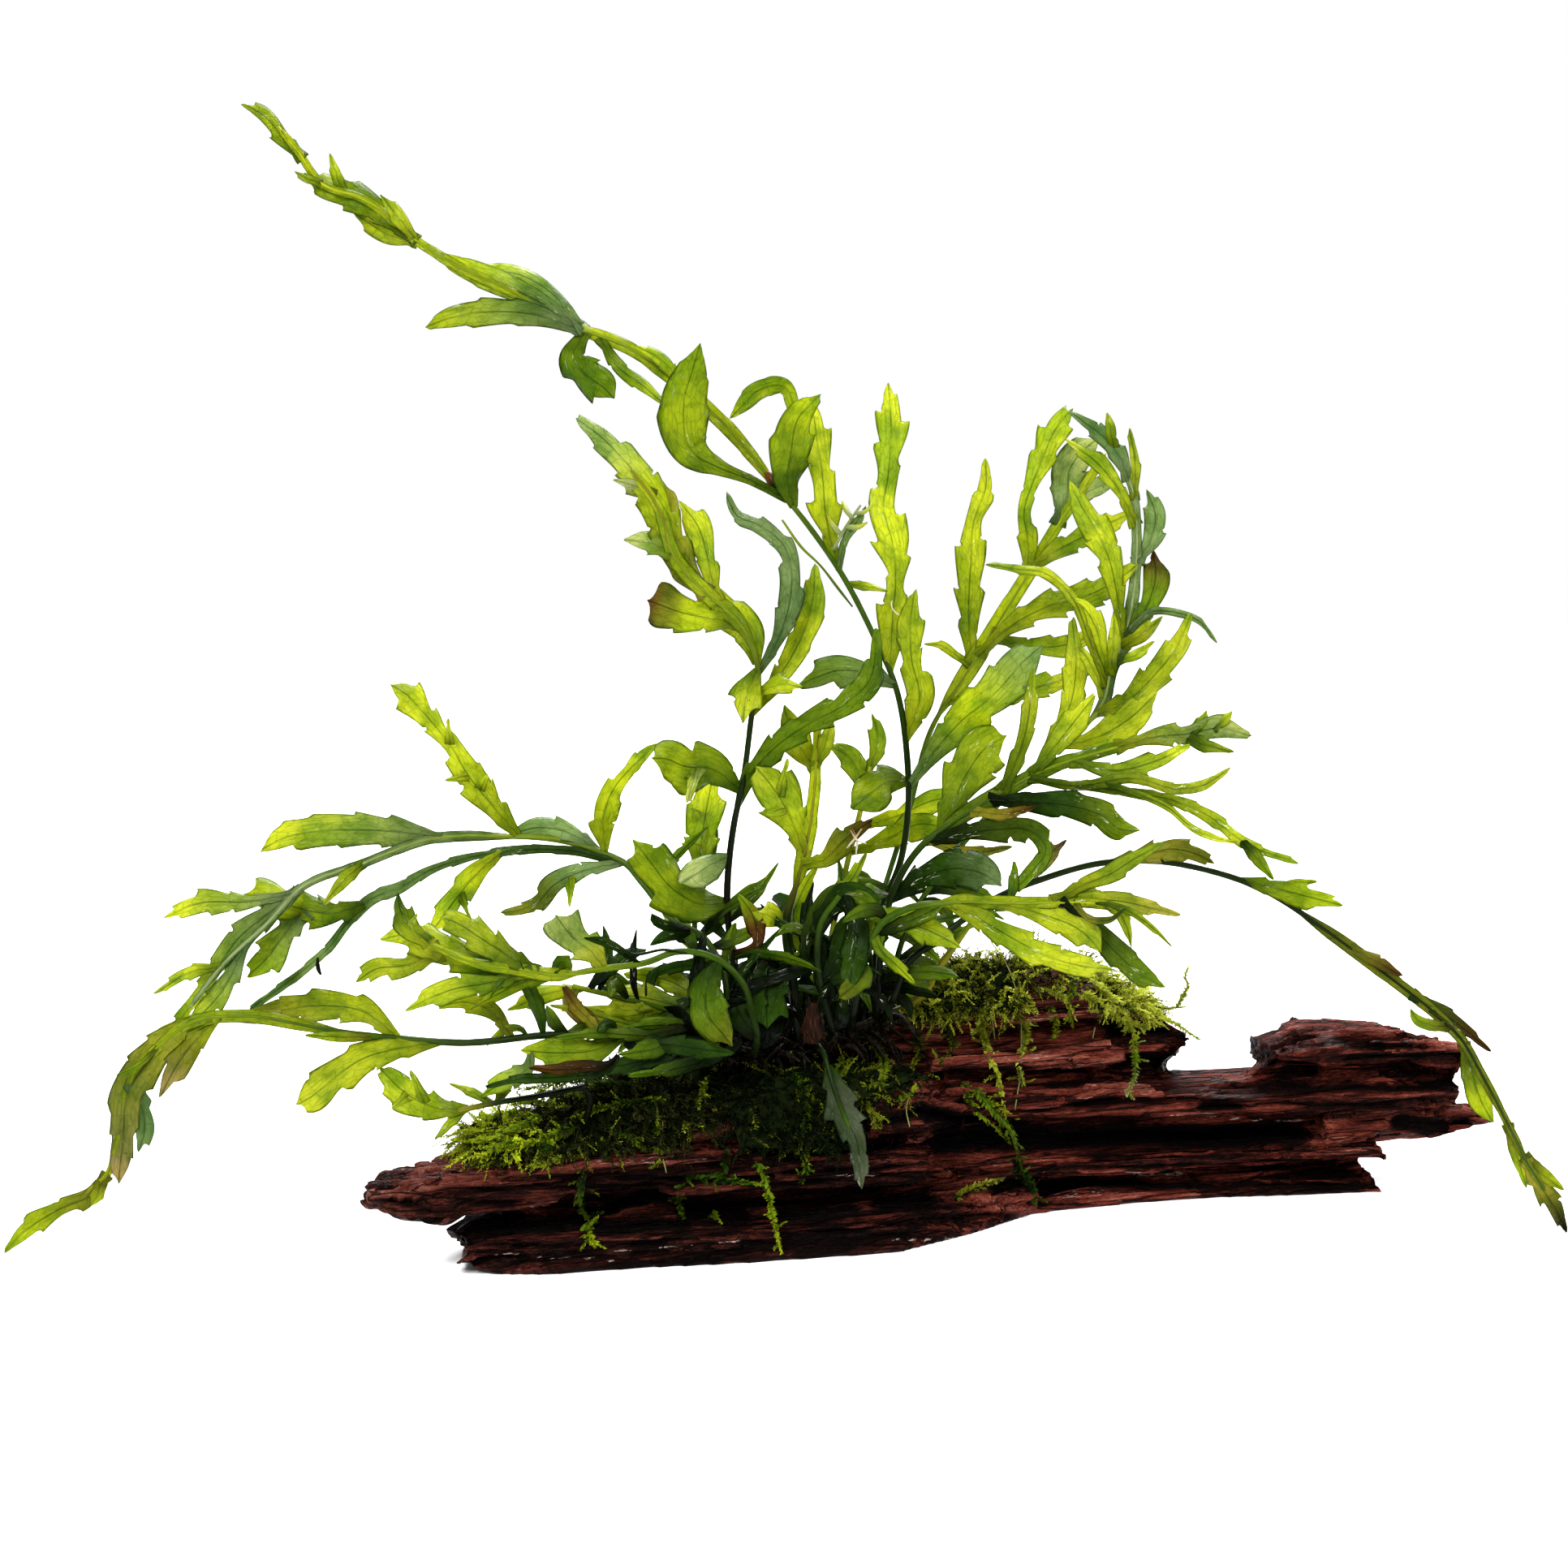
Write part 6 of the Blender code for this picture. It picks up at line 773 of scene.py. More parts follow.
            (35.5, 38.5, 0)]),
        (-5, 0.3, [(56, 15, 0.9), (53, 22, 1.8), (49.5, 25.8, 0)]),
        (7, 0.3, [(57.2, 19.8, 0.9), (57.7, 25, 2), (57.7, 29.8, 0)]),
        (-5, 0.4, [(45, 4, 1), (48, 9.5, 2.4), (50.4, 15, 3.2), (51, 22, 3.2), (50.4, 28.7, 0)]),
        (3, 0, [(59.8, 26.5, 0.9), (64.5, 30.2, 1.2), (69.5, 29.8, 1.2), (72.6, 28.5, 1), (75.8, 24.6, 0)]),
        (5, 0.3, [(58.8, 23.5, 0.9), (62.5, 26.2, 2.3), (66.3, 29.4, 0)]),
        (-2, 0, [(57.8, 21.3, 0.8), (61.5, 22.6, 1.6), (64.9, 25, 0)]),
        (6, 0.4, [(54.5, 12.4, 1), (60, 14.5, 3.4), (64.8, 19, 4), (68.7, 24, 3), (71.3, 29.8, 0)]),
        (9, 0.4, [(48, 6.4, 1), (55, 8.3, 3.4), (60.5, 11.5, 4.5), (65.4, 16.2, 0)]),
    ]),
    "frond_back_right": ([
        (12, -37.4, -16, 1.8), (17, -20, -20, 1.7), (22, -4, -23, 1.5), (25.9, 9.9, -25, 1.4),
        (32.3, 19.9, -27, 1.4), (37.3, 28, -29, 1.3), (42.7, 36.6, -31, 1.2), (48.1, 45.7, -34, 1.2),
        (53.1, 52.9, -36, 1.1), (56.3, 57.9, -38, 0.8),
    ], [
        (-2, 0.3, [(32.6, 20.5, 1), (32.3, 30, 3.4), (32.7, 39.3, 4.3), (33.2, 46, 2.2), (35.3, 52, 2.6),
            (35.2, 56.8, 0)]),
        (-3, -0.3, [(42.5, 36.5, 1), (42.7, 42.5, 2.7), (42, 47.5, 1.8), (43.4, 52.4, 2.2), (45.4, 57.4, 3.6),
            (47.7, 62.4, 3.9), (50.6, 65.8, 0)]),
        (-6, 0.4, [(43, 37.2, 1), (48, 41, 2.8), (53, 43.6, 3.2), (58, 46.2, 2.2), (62, 48, 0)]),
        (5, 0.4, [(34, 22.5, 1), (39.5, 27.5, 2.6), (46, 31, 4), (53, 33, 4), (58.5, 35.8, 3),
            (62, 38.5, 0)]),
        (-4, -0.3, [(29, 15, 1), (37, 15, 2.2), (45.5, 17.3, 3.2), (54, 19.9, 0)]),
        (4, 0, [(32.6, 20.3, 0.9), (30, 22.6, 1.3), (27.7, 24.2, 1.3), (24.4, 24.5, 0)]),
        (-10, 0.4, [(47.8, 45.3, 1), (49.5, 50, 4), (50, 55, 5), (52.5, 58.5, 3.5), (55, 60.5, 0)]),
        (-8, 0.3, [(51, 50, 1), (54.5, 51.8, 3), (58.5, 53, 0)]),
        (-9, 0.4, [(36, 26, 1), (43, 24, 2.6), (50, 24.5, 3), (56, 27, 0)]),
    ]),
    "frond_centre_behind": ([
        (6, -40.6, -15, 1.8), (8, -28, -19, 1.6), (11, -14, -22, 1.5), (13.5, -4, -24, 1.3), (15, 3, -25, 1),
    ], [
        (-2, 0.2, [(15, 2, 1), (16.4, 7.5, 2.7), (15.4, 12.5, 0)]),
        (-3, 0.4, [(14, -1.5, 1), (11.5, 4.6, 3.2), (7.5, 7, 0)]),
        (-4, 0.3, [(12.6, -8, 1), (20, -5.5, 2.4), (26, -2.9, 3.6), (30.1, -2.1, 0)]),
        (3, 0.4, [(11.5, -12, 1), (18, -9.6, 3), (24, -7, 4), (28, -7.5, 0)]),
    ]),
    "frond_centre_curled": ([
        (8.2, -42, -2, 2), (6.6, -36, 0, 1.8), (5.8, -30, 2, 1.7), (6.6, -24, 4, 1.4), (9.7, -19.6, 6, 1.2),
    ], [
        (3, 0.4, [(5.9, -27, 1.2), (7.6, -21.8, 4), (11.5, -19.2, 4), (15, -20.4, 2.5), (17.2, -22.6, 0)]),
        (6, 0.3, [(10.5, -19.6, 1), (12.8, -25.5, 3.4), (12, -31.5, 4), (11, -37.5, 0)]),
        (-5, 0.3, [(6.3, -34.5, 1), (9.4, -30.5, 3), (11.2, -24.5, 3), (12.6, -22, 0)]),
    ]),
    "frond_left_small": ([
        (-13.4, -42, -1, 1.6), (-18.5, -40.1, 0, 1.5), (-27.7, -37.6, 2, 1.4), (-37, -35.4, 4, 1.2),
    ], [
        (3, 0.3, [(-35, -35.8, 1), (-42, -36.8, 2.7), (-45.5, -38.4, 2), (-48.4, -39.5, 0)]),
        (-4, 0.3, [(-18, -40.4, 1), (-23, -38.2, 3.2), (-27.5, -36.4, 3), (-31, -35.4, 0)]),
        (4, -0.4, [(-21, -39.6, 1), (-26, -40.4, 3.8), (-31.5, -40.6, 3.6), (-36.5, -39.6, 0)]),
        (5, 0.4, [(-36, -35.6, 0.9), (-37.5, -38, 2.4), (-34.5, -41, 2.4), (-32, -43, 0)]),
        (-3, 0, [(-28.7, -37.4, 0.8), (-30.6, -33.8, 1.5), (-29.6, -31.4, 0)]),
    ]),
    "frond_behind_left": ([
        (-12.5, -41.6, -9, 1.7), (-15.5, -30, -12, 1.6), (-14.6, -14.4, -15, 1.4), (-13.2, -5, -16, 1.2),
    ], [
        (-2, 0.3, [(-14.8, -17, 1.2), (-14.4, -9.5, 4.6), (-13.4, -3.5, 4.5), (-12, 3.4, 0)]),
        (1, 0, [(-14.6, -11.5, 1.8), (-18, -10.3, 0)]),
        (1, 0, [(-13.8, -6.5, 1.8), (-17, -4.4, 0)]),
        (-6, 0.4, [(-15.4, -29, 1), (-18.8, -23.5, 3.4), (-19.4, -19, 2.6), (-17.5, -15, 0)]),
    ]),
    "leaf_lower_left": ([
        (-36, -53.2, 9, 1.8), (-43, -54.6, 10, 1.8), (-51, -55.9, 11, 1.7), (-57, -57.2, 12, 1.3),
    ], [
        (2, 0.4, [(-55, -56.8, 1.2), (-61, -56.6, 3.6), (-66.3, -54, 4.9), (-69, -51.5, 3),
            (-70.9, -49.4, 0)]),
        (2, 0, [(-63, -55.8, 1.8), (-65.4, -50, 0)]),
        (2, 0, [(-65.5, -54.4, 1.8), (-68.6, -56.8, 0)]),
        (3, 0, [(-55.5, -57, 0.9), (-58.6, -59.6, 1.5), (-61.1, -62.3, 0)]),
        (-3, 0, [(-51, -56, 0.9), (-55, -53.8, 1.4), (-58.6, -52.4, 0)]),
        (-9, 0.3, [(-50, -55.8, 1), (-48.5, -52, 2.6), (-45.7, -49.4, 0)]),
    ]),
    "frond_near_right": ([
        (25, -36, -14, 1.7), (26.8, -32.6, -12, 1.7), (29.1, -29.3, -10, 1.6), (32.7, -24.3, -8, 1.2),
    ], [
        (3, 0.3, [(25.8, -34.6, 1), (22, -35.4, 3.2), (17, -35.4, 0)]),
    ]),
    "leaf_hanging": ([
        (7.4, -48.4, 5, 1.2), (9, -54, 7, 1.2), (11.6, -60.5, 6, 1.2),
    ], [
        (2, 0.3, [(7.8, -49.6, 1.2), (9.2, -54, 4.2), (10.8, -58.6, 5), (12.6, -62, 2.6), (13.2, -66, 1.5),
            (13.6, -71, 0)]),
    ]),
}


def place(u, v, t):
    """Gives points in metres of places in the front view: u to the right, v up and t towards the viewer."""
    u, v, t = (np.atleast_1d(np.asarray(value, float)) for value in np.broadcast_arrays(u, v, t))
    spread = (VIEW_DISTANCE - t) / VIEW_DISTANCE
    flat = VIEW_TARGET + (u * spread)[:, None] * ACROSS + (v * spread)[:, None] * UPWARDS
    return (flat + t[:, None] * TOWARDS) * MM


def seen_from_front(points):
    """Gives the u, v and t in the front view of points in metres."""
    away = np.asarray(points) / MM - VIEW_TARGET
    t = away @ TOWARDS
    spread = (VIEW_DISTANCE - t) / VIEW_DISTANCE
    return np.column_stack([away @ ACROSS / spread, away @ UPWARDS / spread, t])


def sight(tree, u, v):
    """Gives where the line of sight through u and v first meets a mesh, or None."""
    # The eye is just in front of the camera, because at the camera all u and v are the same place
    eye = Vector(place(0, 0, VIEW_DISTANCE - 0.001)[0])
    return tree.ray_cast(eye, (Vector(place(u, v, 0)[0]) - eye).normalized())[0]


def nearest_depth(trees, u, v):
    """Gives the depth in the front view of the nearest of some meshes, or nan where all are missed."""
    hits = [sight(tree, u, v) for tree in trees]
    return max((seen_from_front(hit)[0][2] for hit in hits if hit is not None), default=np.nan)


def unit(rows):
    """Scales each row of numbers to a length of one."""
    return rows / np.maximum(np.linalg.norm(rows, axis=1), 1e-9)[:, None]


def run_along(u, v):
    """Gives how far along a line in the front view each of its points lies."""
    return np.concatenate([[0.0], np.cumsum(np.hypot(np.diff(u), np.diff(v)))])


def nearest_row(rows, spot):
    """Gives the row whose u and v are the nearest to those of a spot."""
    return rows[np.argmin(np.hypot(rows[:, 0] - spot[0], rows[:, 1] - spot[1]))]


def evened(values):
    """Averages each number of a row with the two before and the two after it."""
    return np.convolve(np.pad(values, 2, mode="edge"), np.ones(5) / 5, mode="valid")


def dice(kind, number=0):
    """Starts the random draws for one piece of a kind."""
    return np.random.default_rng(SEEDS[kind] + number)


def smooth(points, step, fewest=3):
    """Resamples rows of numbers along a smooth curve through them, about one step apart."""
    rows = np.array(points, float)
    gaps = np.maximum(np.linalg.norm(np.diff(rows[:, :2], axis=0), axis=1), 1e-6)
    along = np.concatenate([[0.0], np.cumsum(gaps)])
    slopes = np.gradient(rows, along, axis=0)
    count = max(fewest, round(along[-1] / step) + 1)
    where = np.linspace(0.0, along[-1], count)
    k = np.clip(np.searchsorted(along, where, side="right") - 1, 0, len(along) - 2)
    span = (along[k + 1] - along[k])[:, None]
    s = (where - along[k])[:, None] / span
    start = (2 * s**3 - 3 * s**2 + 1) * rows[k] + (s**3 - 2 * s**2 + s) * span * slopes[k]
    end = (3 * s**2 - 2 * s**3) * rows[k + 1] + (s**3 - s**2) * span * slopes[k + 1]
    return start + end


def ease(value, low=0.0, high=1.0):
    """Rises smoothly from 0 at low to 1 at high."""
    share = np.clip((np.asarray(value, float) - low) / (high - low), 0.0, 1.0)
    return share * share * (3 - 2 * share)


def cloud(x, y, z):
    """Gives smooth noise from -1 to 1 at every place of three arrays."""
    return np.array([noise.noise(spot) for spot in zip(x.tolist(), y.tolist(), z.tolist())])


def scatter(*numbers):
    """Gives a fixed haphazard value from 0 to 1 for whole numbers."""
    factors = (12.9898, 78.233, 37.719)
    total = sum(np.asarray(number, float) * factor for number, factor in zip(numbers, factors))
    return np.mod(np.sin(total) * 43758.5453, 1.0)


def tree_of(mesh):
    """Makes a search tree of a mesh in world space."""
    bm = bmesh.new()
    bm.from_mesh(mesh)
    tree = BVHTree.FromBMesh(bm)
    bm.free()
    return tree


def solid_tree(name):
    """Makes a search tree of a solid of the frame."""
    return tree_of(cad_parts[name].data)


def add_object(name, data):
    """Adds an object to the scene."""
    obj = bpy.data.objects.new(name, data)
    bpy.context.collection.objects.link(obj)
    return obj


class Pieces:
    """Gathers points, faces and their values, to make one mesh of many small forms."""

    def __init__(self):
        self.points = []
        self.faces = []
        self.values = {}
        self.slots = []
        self.count = 0
        # How strongly painted wet glints show on the leaves
        self.wet = USUAL_GLINT_SHARE

    def add(self, points, faces, slot=0, **values):
        """Adds a form: its points, its faces and one value for each point under each name."""
        self.points.append(np.asarray(points, float))
        self.faces += [tuple(int(i) + self.count for i in face) for face in faces]
        self.slots += [slot] * len(faces)
        for name, rows in values.items():
            self.values.setdefault(name, []).append(np.asarray(rows, float))
        self.count += len(points)

    def build(self, name, materials):
        """Makes the object."""
        mesh = bpy.data.meshes.new(name)
        mesh.from_pydata(np.concatenate(self.points).tolist(), [], self.faces)
        for label, rows in self.values.items():
            data = np.concatenate(rows)
            kind, field = ("FLOAT_COLOR", "color") if data.shape[1] == 4 else ("FLOAT_VECTOR", "vector")
            mesh.attributes.new(label, kind, "POINT").data.foreach_set(field, data.ravel())
        mesh.polygons.foreach_set("material_index", self.slots)
        mesh.shade_smooth()
        for material in materials:
            mesh.materials.append(material)
        return add_object(name, mesh)


def ring_faces(stations, sides, closed_tip):
    """Lists the faces of a tube of rings, capped at its base and ended by a cap or by one tip point."""
    edges = [(j, (j + 1) % sides) for j in range(sides)]
    last = (stations - 1) * sides
    faces = [tuple(reversed(range(sides)))]
    for low in range(0, last, sides):
        faces += [(low + a, low + b, low + sides + b, low + sides + a) for a, b in edges]
    if closed_tip:
        faces += [(last + a, last + b, last + sides) for a, b in edges]
    else:
        faces.append(tuple(range(last, last + sides)))
    return faces


def tints(share, names):
    """Blends named colours along a share from 0 to 1, as rows of red, green, blue and one."""
    stops = np.array([COLOURS[name] for name in names])
    where = np.clip(np.asarray(share, float), 0, 1) * (len(names) - 1)
    low = np.minimum(where.astype(int), len(names) - 2)
    mix = ease(where - low)[:, None]
    colour = stops[low] * (1 - mix) + stops[low + 1] * mix
    return np.column_stack([colour, np.ones(len(colour))])


def tooth_wave(along, spacing, rng):
    """Gives a leaf margin's teeth: how far each place is towards a tooth's tip, and its tooth's size."""
    edges = [0.0]
    while edges[-1] < along[-1]:
        edges.append(edges[-1] + spacing * rng.uniform(0.6, 1.45))
    edges = np.array(edges) - spacing * rng.uniform(0, 0.5)
    k = np.clip(np.searchsorted(edges, along, side="right") - 1, 0, len(edges) - 2)
    phase = np.clip((along - edges[k]) / (edges[k + 1] - edges[k]), 0, 1)
    peak = 0.8
    rise = np.where(phase < peak, (phase / peak) ** 1.5, (np.maximum(1 - phase, 0) / (1 - peak)) ** 1.1)
    size = rng.uniform(0.3, 1.35, len(edges))[k]
    return rise, size


def add_leaf(pieces, rows, lean, look, rng, blunt=0.6):
    """Adds a leaf: a thin closed blade with a toothed wavy margin, a midrib and a slight twist."""
    u, v, t, width = rows.T
    stations = len(rows)
    along = run_along(u, v)
    length = along[-1]
    share = along / length
    ahead = unit(np.column_stack([np.gradient(u), np.gradient(v)]))
    across = np.column_stack([-ahead[:, 1], ahead[:, 0]])
    widest = width.max()
    half = width / 2 * LEAF_WIDENING
    left_over = np.maximum(length - along, 0)
    round_tip = 0.5 * widest * blunt * np.sqrt(np.clip(left_over / (1.2 * widest), 0, 1))
    half = np.maximum(half, round_tip * ease(share, 0.5, 0.8))
    half *= np.minimum(1.0, np.sqrt(left_over / max(0.3 * widest, 0.4)))
    columns = 9 if widest > 3 else 7 if widest > 1.8 else 5
    k = np.linspace(1, -1, columns)
    base, end, spacing, depth = look
    body = ease(share, 0.06, 0.22)
    edges = []
    for _ in range(2):
        rise, size = tooth_wave(along, spacing, rng)
        cut = np.minimum(depth * size, 0.66) * 0.88 * body
        edges.append((half * (1 + 0.5 * depth * body - cut * (1 - rise)), 0.36 * spacing * cut * rise**2))
    left, right = edges
    side = np.where(k >= 0, 1, 0)[None, :]
    reach = np.where(side, left[0][:, None], right[0][:, None])
    hook = np.where(side, left[1][:, None], right[1][:, None]) * np.abs(k) ** 2
    offset = reach * k
    twist = lean + rng.uniform(-0.3, 0.3) * (share - 0.4)
    cup = rng.uniform(-0.16, 0.2)
    waves = np.zeros_like(offset)
    for sign in (1, -1):
        beat = 2 * math.pi * (along / rng.uniform(5, 9) + rng.uniform(0, 1))
        swell = (np.sin(beat) * 0.3 + np.sin(beat * 2.3 + 1) * 0.1) * np.minimum(half, 2.4)
        waves += np.where(np.sign(k) == sign, swell[:, None] * np.abs(k) ** 1.6, 0)
    depth_at = t[:, None] + twist[:, None] * offset - cup * offset**2 / max(0.5 * widest, 0.6) + waves
    rib = RIB_HEIGHT * np.exp(-((offset / RIB_WIDTH) ** 2))
    thick = LEAF_THICKNESS * (1 - 0.7 * np.abs(k) ** 3) + rib
    at_u = u[:, None] + across[:, :1] * offset + ahead[:, :1] * hook
    at_v = v[:, None] + across[:, 1:] * offset + ahead[:, 1:] * hook
    front = [place(at_u[:, j], at_v[:, j], depth_at[:, j] + thick[:, j] / 2) for j in range(columns)]
    back = [place(at_u[:, j], at_v[:, j], depth_at[:, j] - thick[:, j] / 2) for j in range(1, columns - 1)]
    ring = np.stack(front + back[::-1], axis=1)
    order = list(range(columns)) + list(range(columns - 2, 0, -1))
    sides = len(order)
    points = ring[:-1].reshape(-1, 3)
    tip_point = ring[-1].mean(axis=0)
    where = np.column_stack([
        np.repeat(along[:-1], sides), offset[:-1][:, order].ravel(), np.tile(np.abs(k[order]), stations - 1)
    ])
    where = np.vstack([where, [length, 0, 1]])
    stops = (base, end) if isinstance(base, str) else (*base, end)
    spread = np.append(np.repeat(share[:-1], sides), 1)
    colour = tints(spread, stops)
    # The fourth value: how strongly painted wet glints show on this leaf
    colour[:, 3] = pieces.wet
    colour[:, :3] *= (0.62 + 0.38 * ease(spread, 0, 0.5))[:, None] * rng.uniform(0.82, 1.12)
    faces = ring_faces(stations - 1, sides, True)
    pieces.add(np.vstack([points, tip_point]), faces, slot=1, leaf_place=where, tint=colour)


def tube_points(path, radius, sides, ridges=0.0):
    """Gives the points in metres of the rings of a tube along a path in millimetres."""
    ahead = np.gradient(path, axis=0)
    side = unit(np.cross(ahead, TOWARDS))
    other = unit(np.cross(side, ahead))
    rings = []
    for j in range(sides):
        angle = 2 * math.pi * j / sides
        reach = radius * (1 + ridges * math.cos(3 * angle))
        rings.append(path + (side * math.cos(angle) + other * math.sin(angle)) * reach[:, None])
    return np.stack(rings, axis=1).reshape(-1, 3) * MM


def add_stem(pieces, rows, colours, rng):
    """Adds a stem along rows of u, v, t and width, round, slightly knobbly and tinted along its length."""
    path = place(rows[:, 0], rows[:, 1], rows[:, 2]) / MM
    along = np.concatenate([[0.0], np.cumsum(np.linalg.norm(np.diff(path, axis=0), axis=1))])
    start = rng.uniform(0, 50)
    knobs = 1 + STEM_KNOBS * np.array([noise.noise((start + x * 0.6, 0, 0)) for x in along])
    points = tube_points(path, rows[:, 3] / 2 * knobs, STEM_SIDES, STEM_RIDGES)
    share = np.repeat(np.linspace(0, 1, len(rows)), STEM_SIDES)
    around = np.tile(np.arange(STEM_SIDES) * 0.3, len(rows))
    where = np.column_stack([np.repeat(along, STEM_SIDES), around, share])
    faces = ring_faces(len(rows), STEM_SIDES, False)
    pieces.add(points, faces, leaf_place=where, tint=tints(share, colours))


def add_root(pieces, path, size, **values):
    """Adds a thin wiry root along a path in millimetres."""
    faces = ring_faces(len(path), ROOT_SIDES, False)
    pieces.add(tube_points(path, size / 2, ROOT_SIDES), faces, **values)


def closest_swing(choices, sample, tree):
    """Picks the swing that the frame's solid was made with: the one whose points lie nearest to it."""
    best = None
    for choice in choices:
        points = sample(choice)
        gap = sum(tree.find_nearest(Vector(point))[3] for point in points) / len(points)
        if best is None or gap < best[0] - 1e-6:
            best = (gap, choice)
    return best[1]


def swung_route(route, shift, step):
    """Samples a stem's route, swung towards the viewer by a shift except at its base."""
    rows = smooth(route, step)
    share = np.linspace(0.0, 1.0, len(rows))
    rows[:, 2] += shift * np.minimum(1.0, share / 0.25)
    return rows


def leaf_rows(line, base_depth, out, step):
    """Samples a leaf's middle line: u, v, t and width."""
    rows = smooth(line, step, 6)
    share = np.linspace(0.0, 1.0, len(rows))
    depth = base_depth + out * share**1.2 + 0.05 * abs(out) * np.sin(math.pi * share)
    return np.column_stack([rows[:, 0], rows[:, 1], depth, np.maximum(rows[:, 2], 0.0)])


def add_crown_leaves(pieces, name, stem, rng):
    """Adds small dark leaves low on a stem, where the plant's crown is a dense tangle, darker lower and
    further in as painted shade.
    """
    low = stem[(stem[:, 1] > CROWN_LOW) & (stem[:, 1] < CROWN_HIGH) & (stem[:, 0] > CROWN_LEFT)]
    for _ in range(CROWN_LEAVES.get(name, 0) if len(low) else 0):
        u, v, t, _ = low[rng.integers(len(low))]
        angle = math.radians(rng.uniform(0, 180))
        length = rng.uniform(*CROWN_LENGTHS)
        ahead = np.array((math.cos(angle), math.sin(angle)))
        droop = np.array((rng.uniform(-0.5, 0.5), rng.uniform(-1.1, 0.3)))
        width = rng.uniform(*CROWN_WIDTHS)
        line = []
        for share, broad in CROWN_SHAPE:
            at = np.array((u, v)) + (ahead * share + droop * share * share) * length
            line.append((at[0], max(at[1], CROWN_LOW), width * broad))
        rows = leaf_rows(line, t, rng.uniform(-9, 9), CROWN_STEP)
        # Painted shade: the lower and the further inside the crown, the darker the leaf's colours
        height = (v - CROWN_LOW) / (CROWN_HIGH - CROWN_LOW)
        outer = max(0.0, -22 - u) / 8 + max(0.0, u - 26) / 10
        pick = int(height * 3.4 + outer + rng.uniform(0, 2.2) ** 1.2)
        base, end = CROWN_SHADE_COLOURS[min(pick, len(CROWN_SHADE_COLOURS) - 1)]
        add_leaf(pieces, rows, rng.uniform(-0.9, 0.9), (base, end, 6.0, 0.4), rng, 0.35)


def stem_foot(stem, width):
    """Gives the rows of a stem's foot, which curves from the rhizome or the log into the stem's start."""
    start = Vector(place(*stem[0, :3])[0])
    near_root, near_wood = [solid_tree(name).find_nearest(start) for name in ("rhizome", "driftwood")]
    spot, normal, _, away = near_root if near_root[3] < near_wood[3] + ROOT_PREFERENCE * MM else near_wood
    end = seen_from_front(np.array(spot - normal * FOOT_DEPTH * MM))[0]
    ahead = stem[0, :3] - stem[4, :3]
    bend = stem[0, :3] + ahead / np.linalg.norm(ahead) * FOOT_BEND * away / MM
    share = np.linspace(0, 1, FOOT_SECTIONS)[:, None]
    path = (1 - share) ** 2 * end + 2 * share * (1 - share) * bend + share**2 * stem[1, :3]
    return np.column_stack([path, width * (1 + FOOT_FLARE - FOOT_FLARE * share[:, 0])])


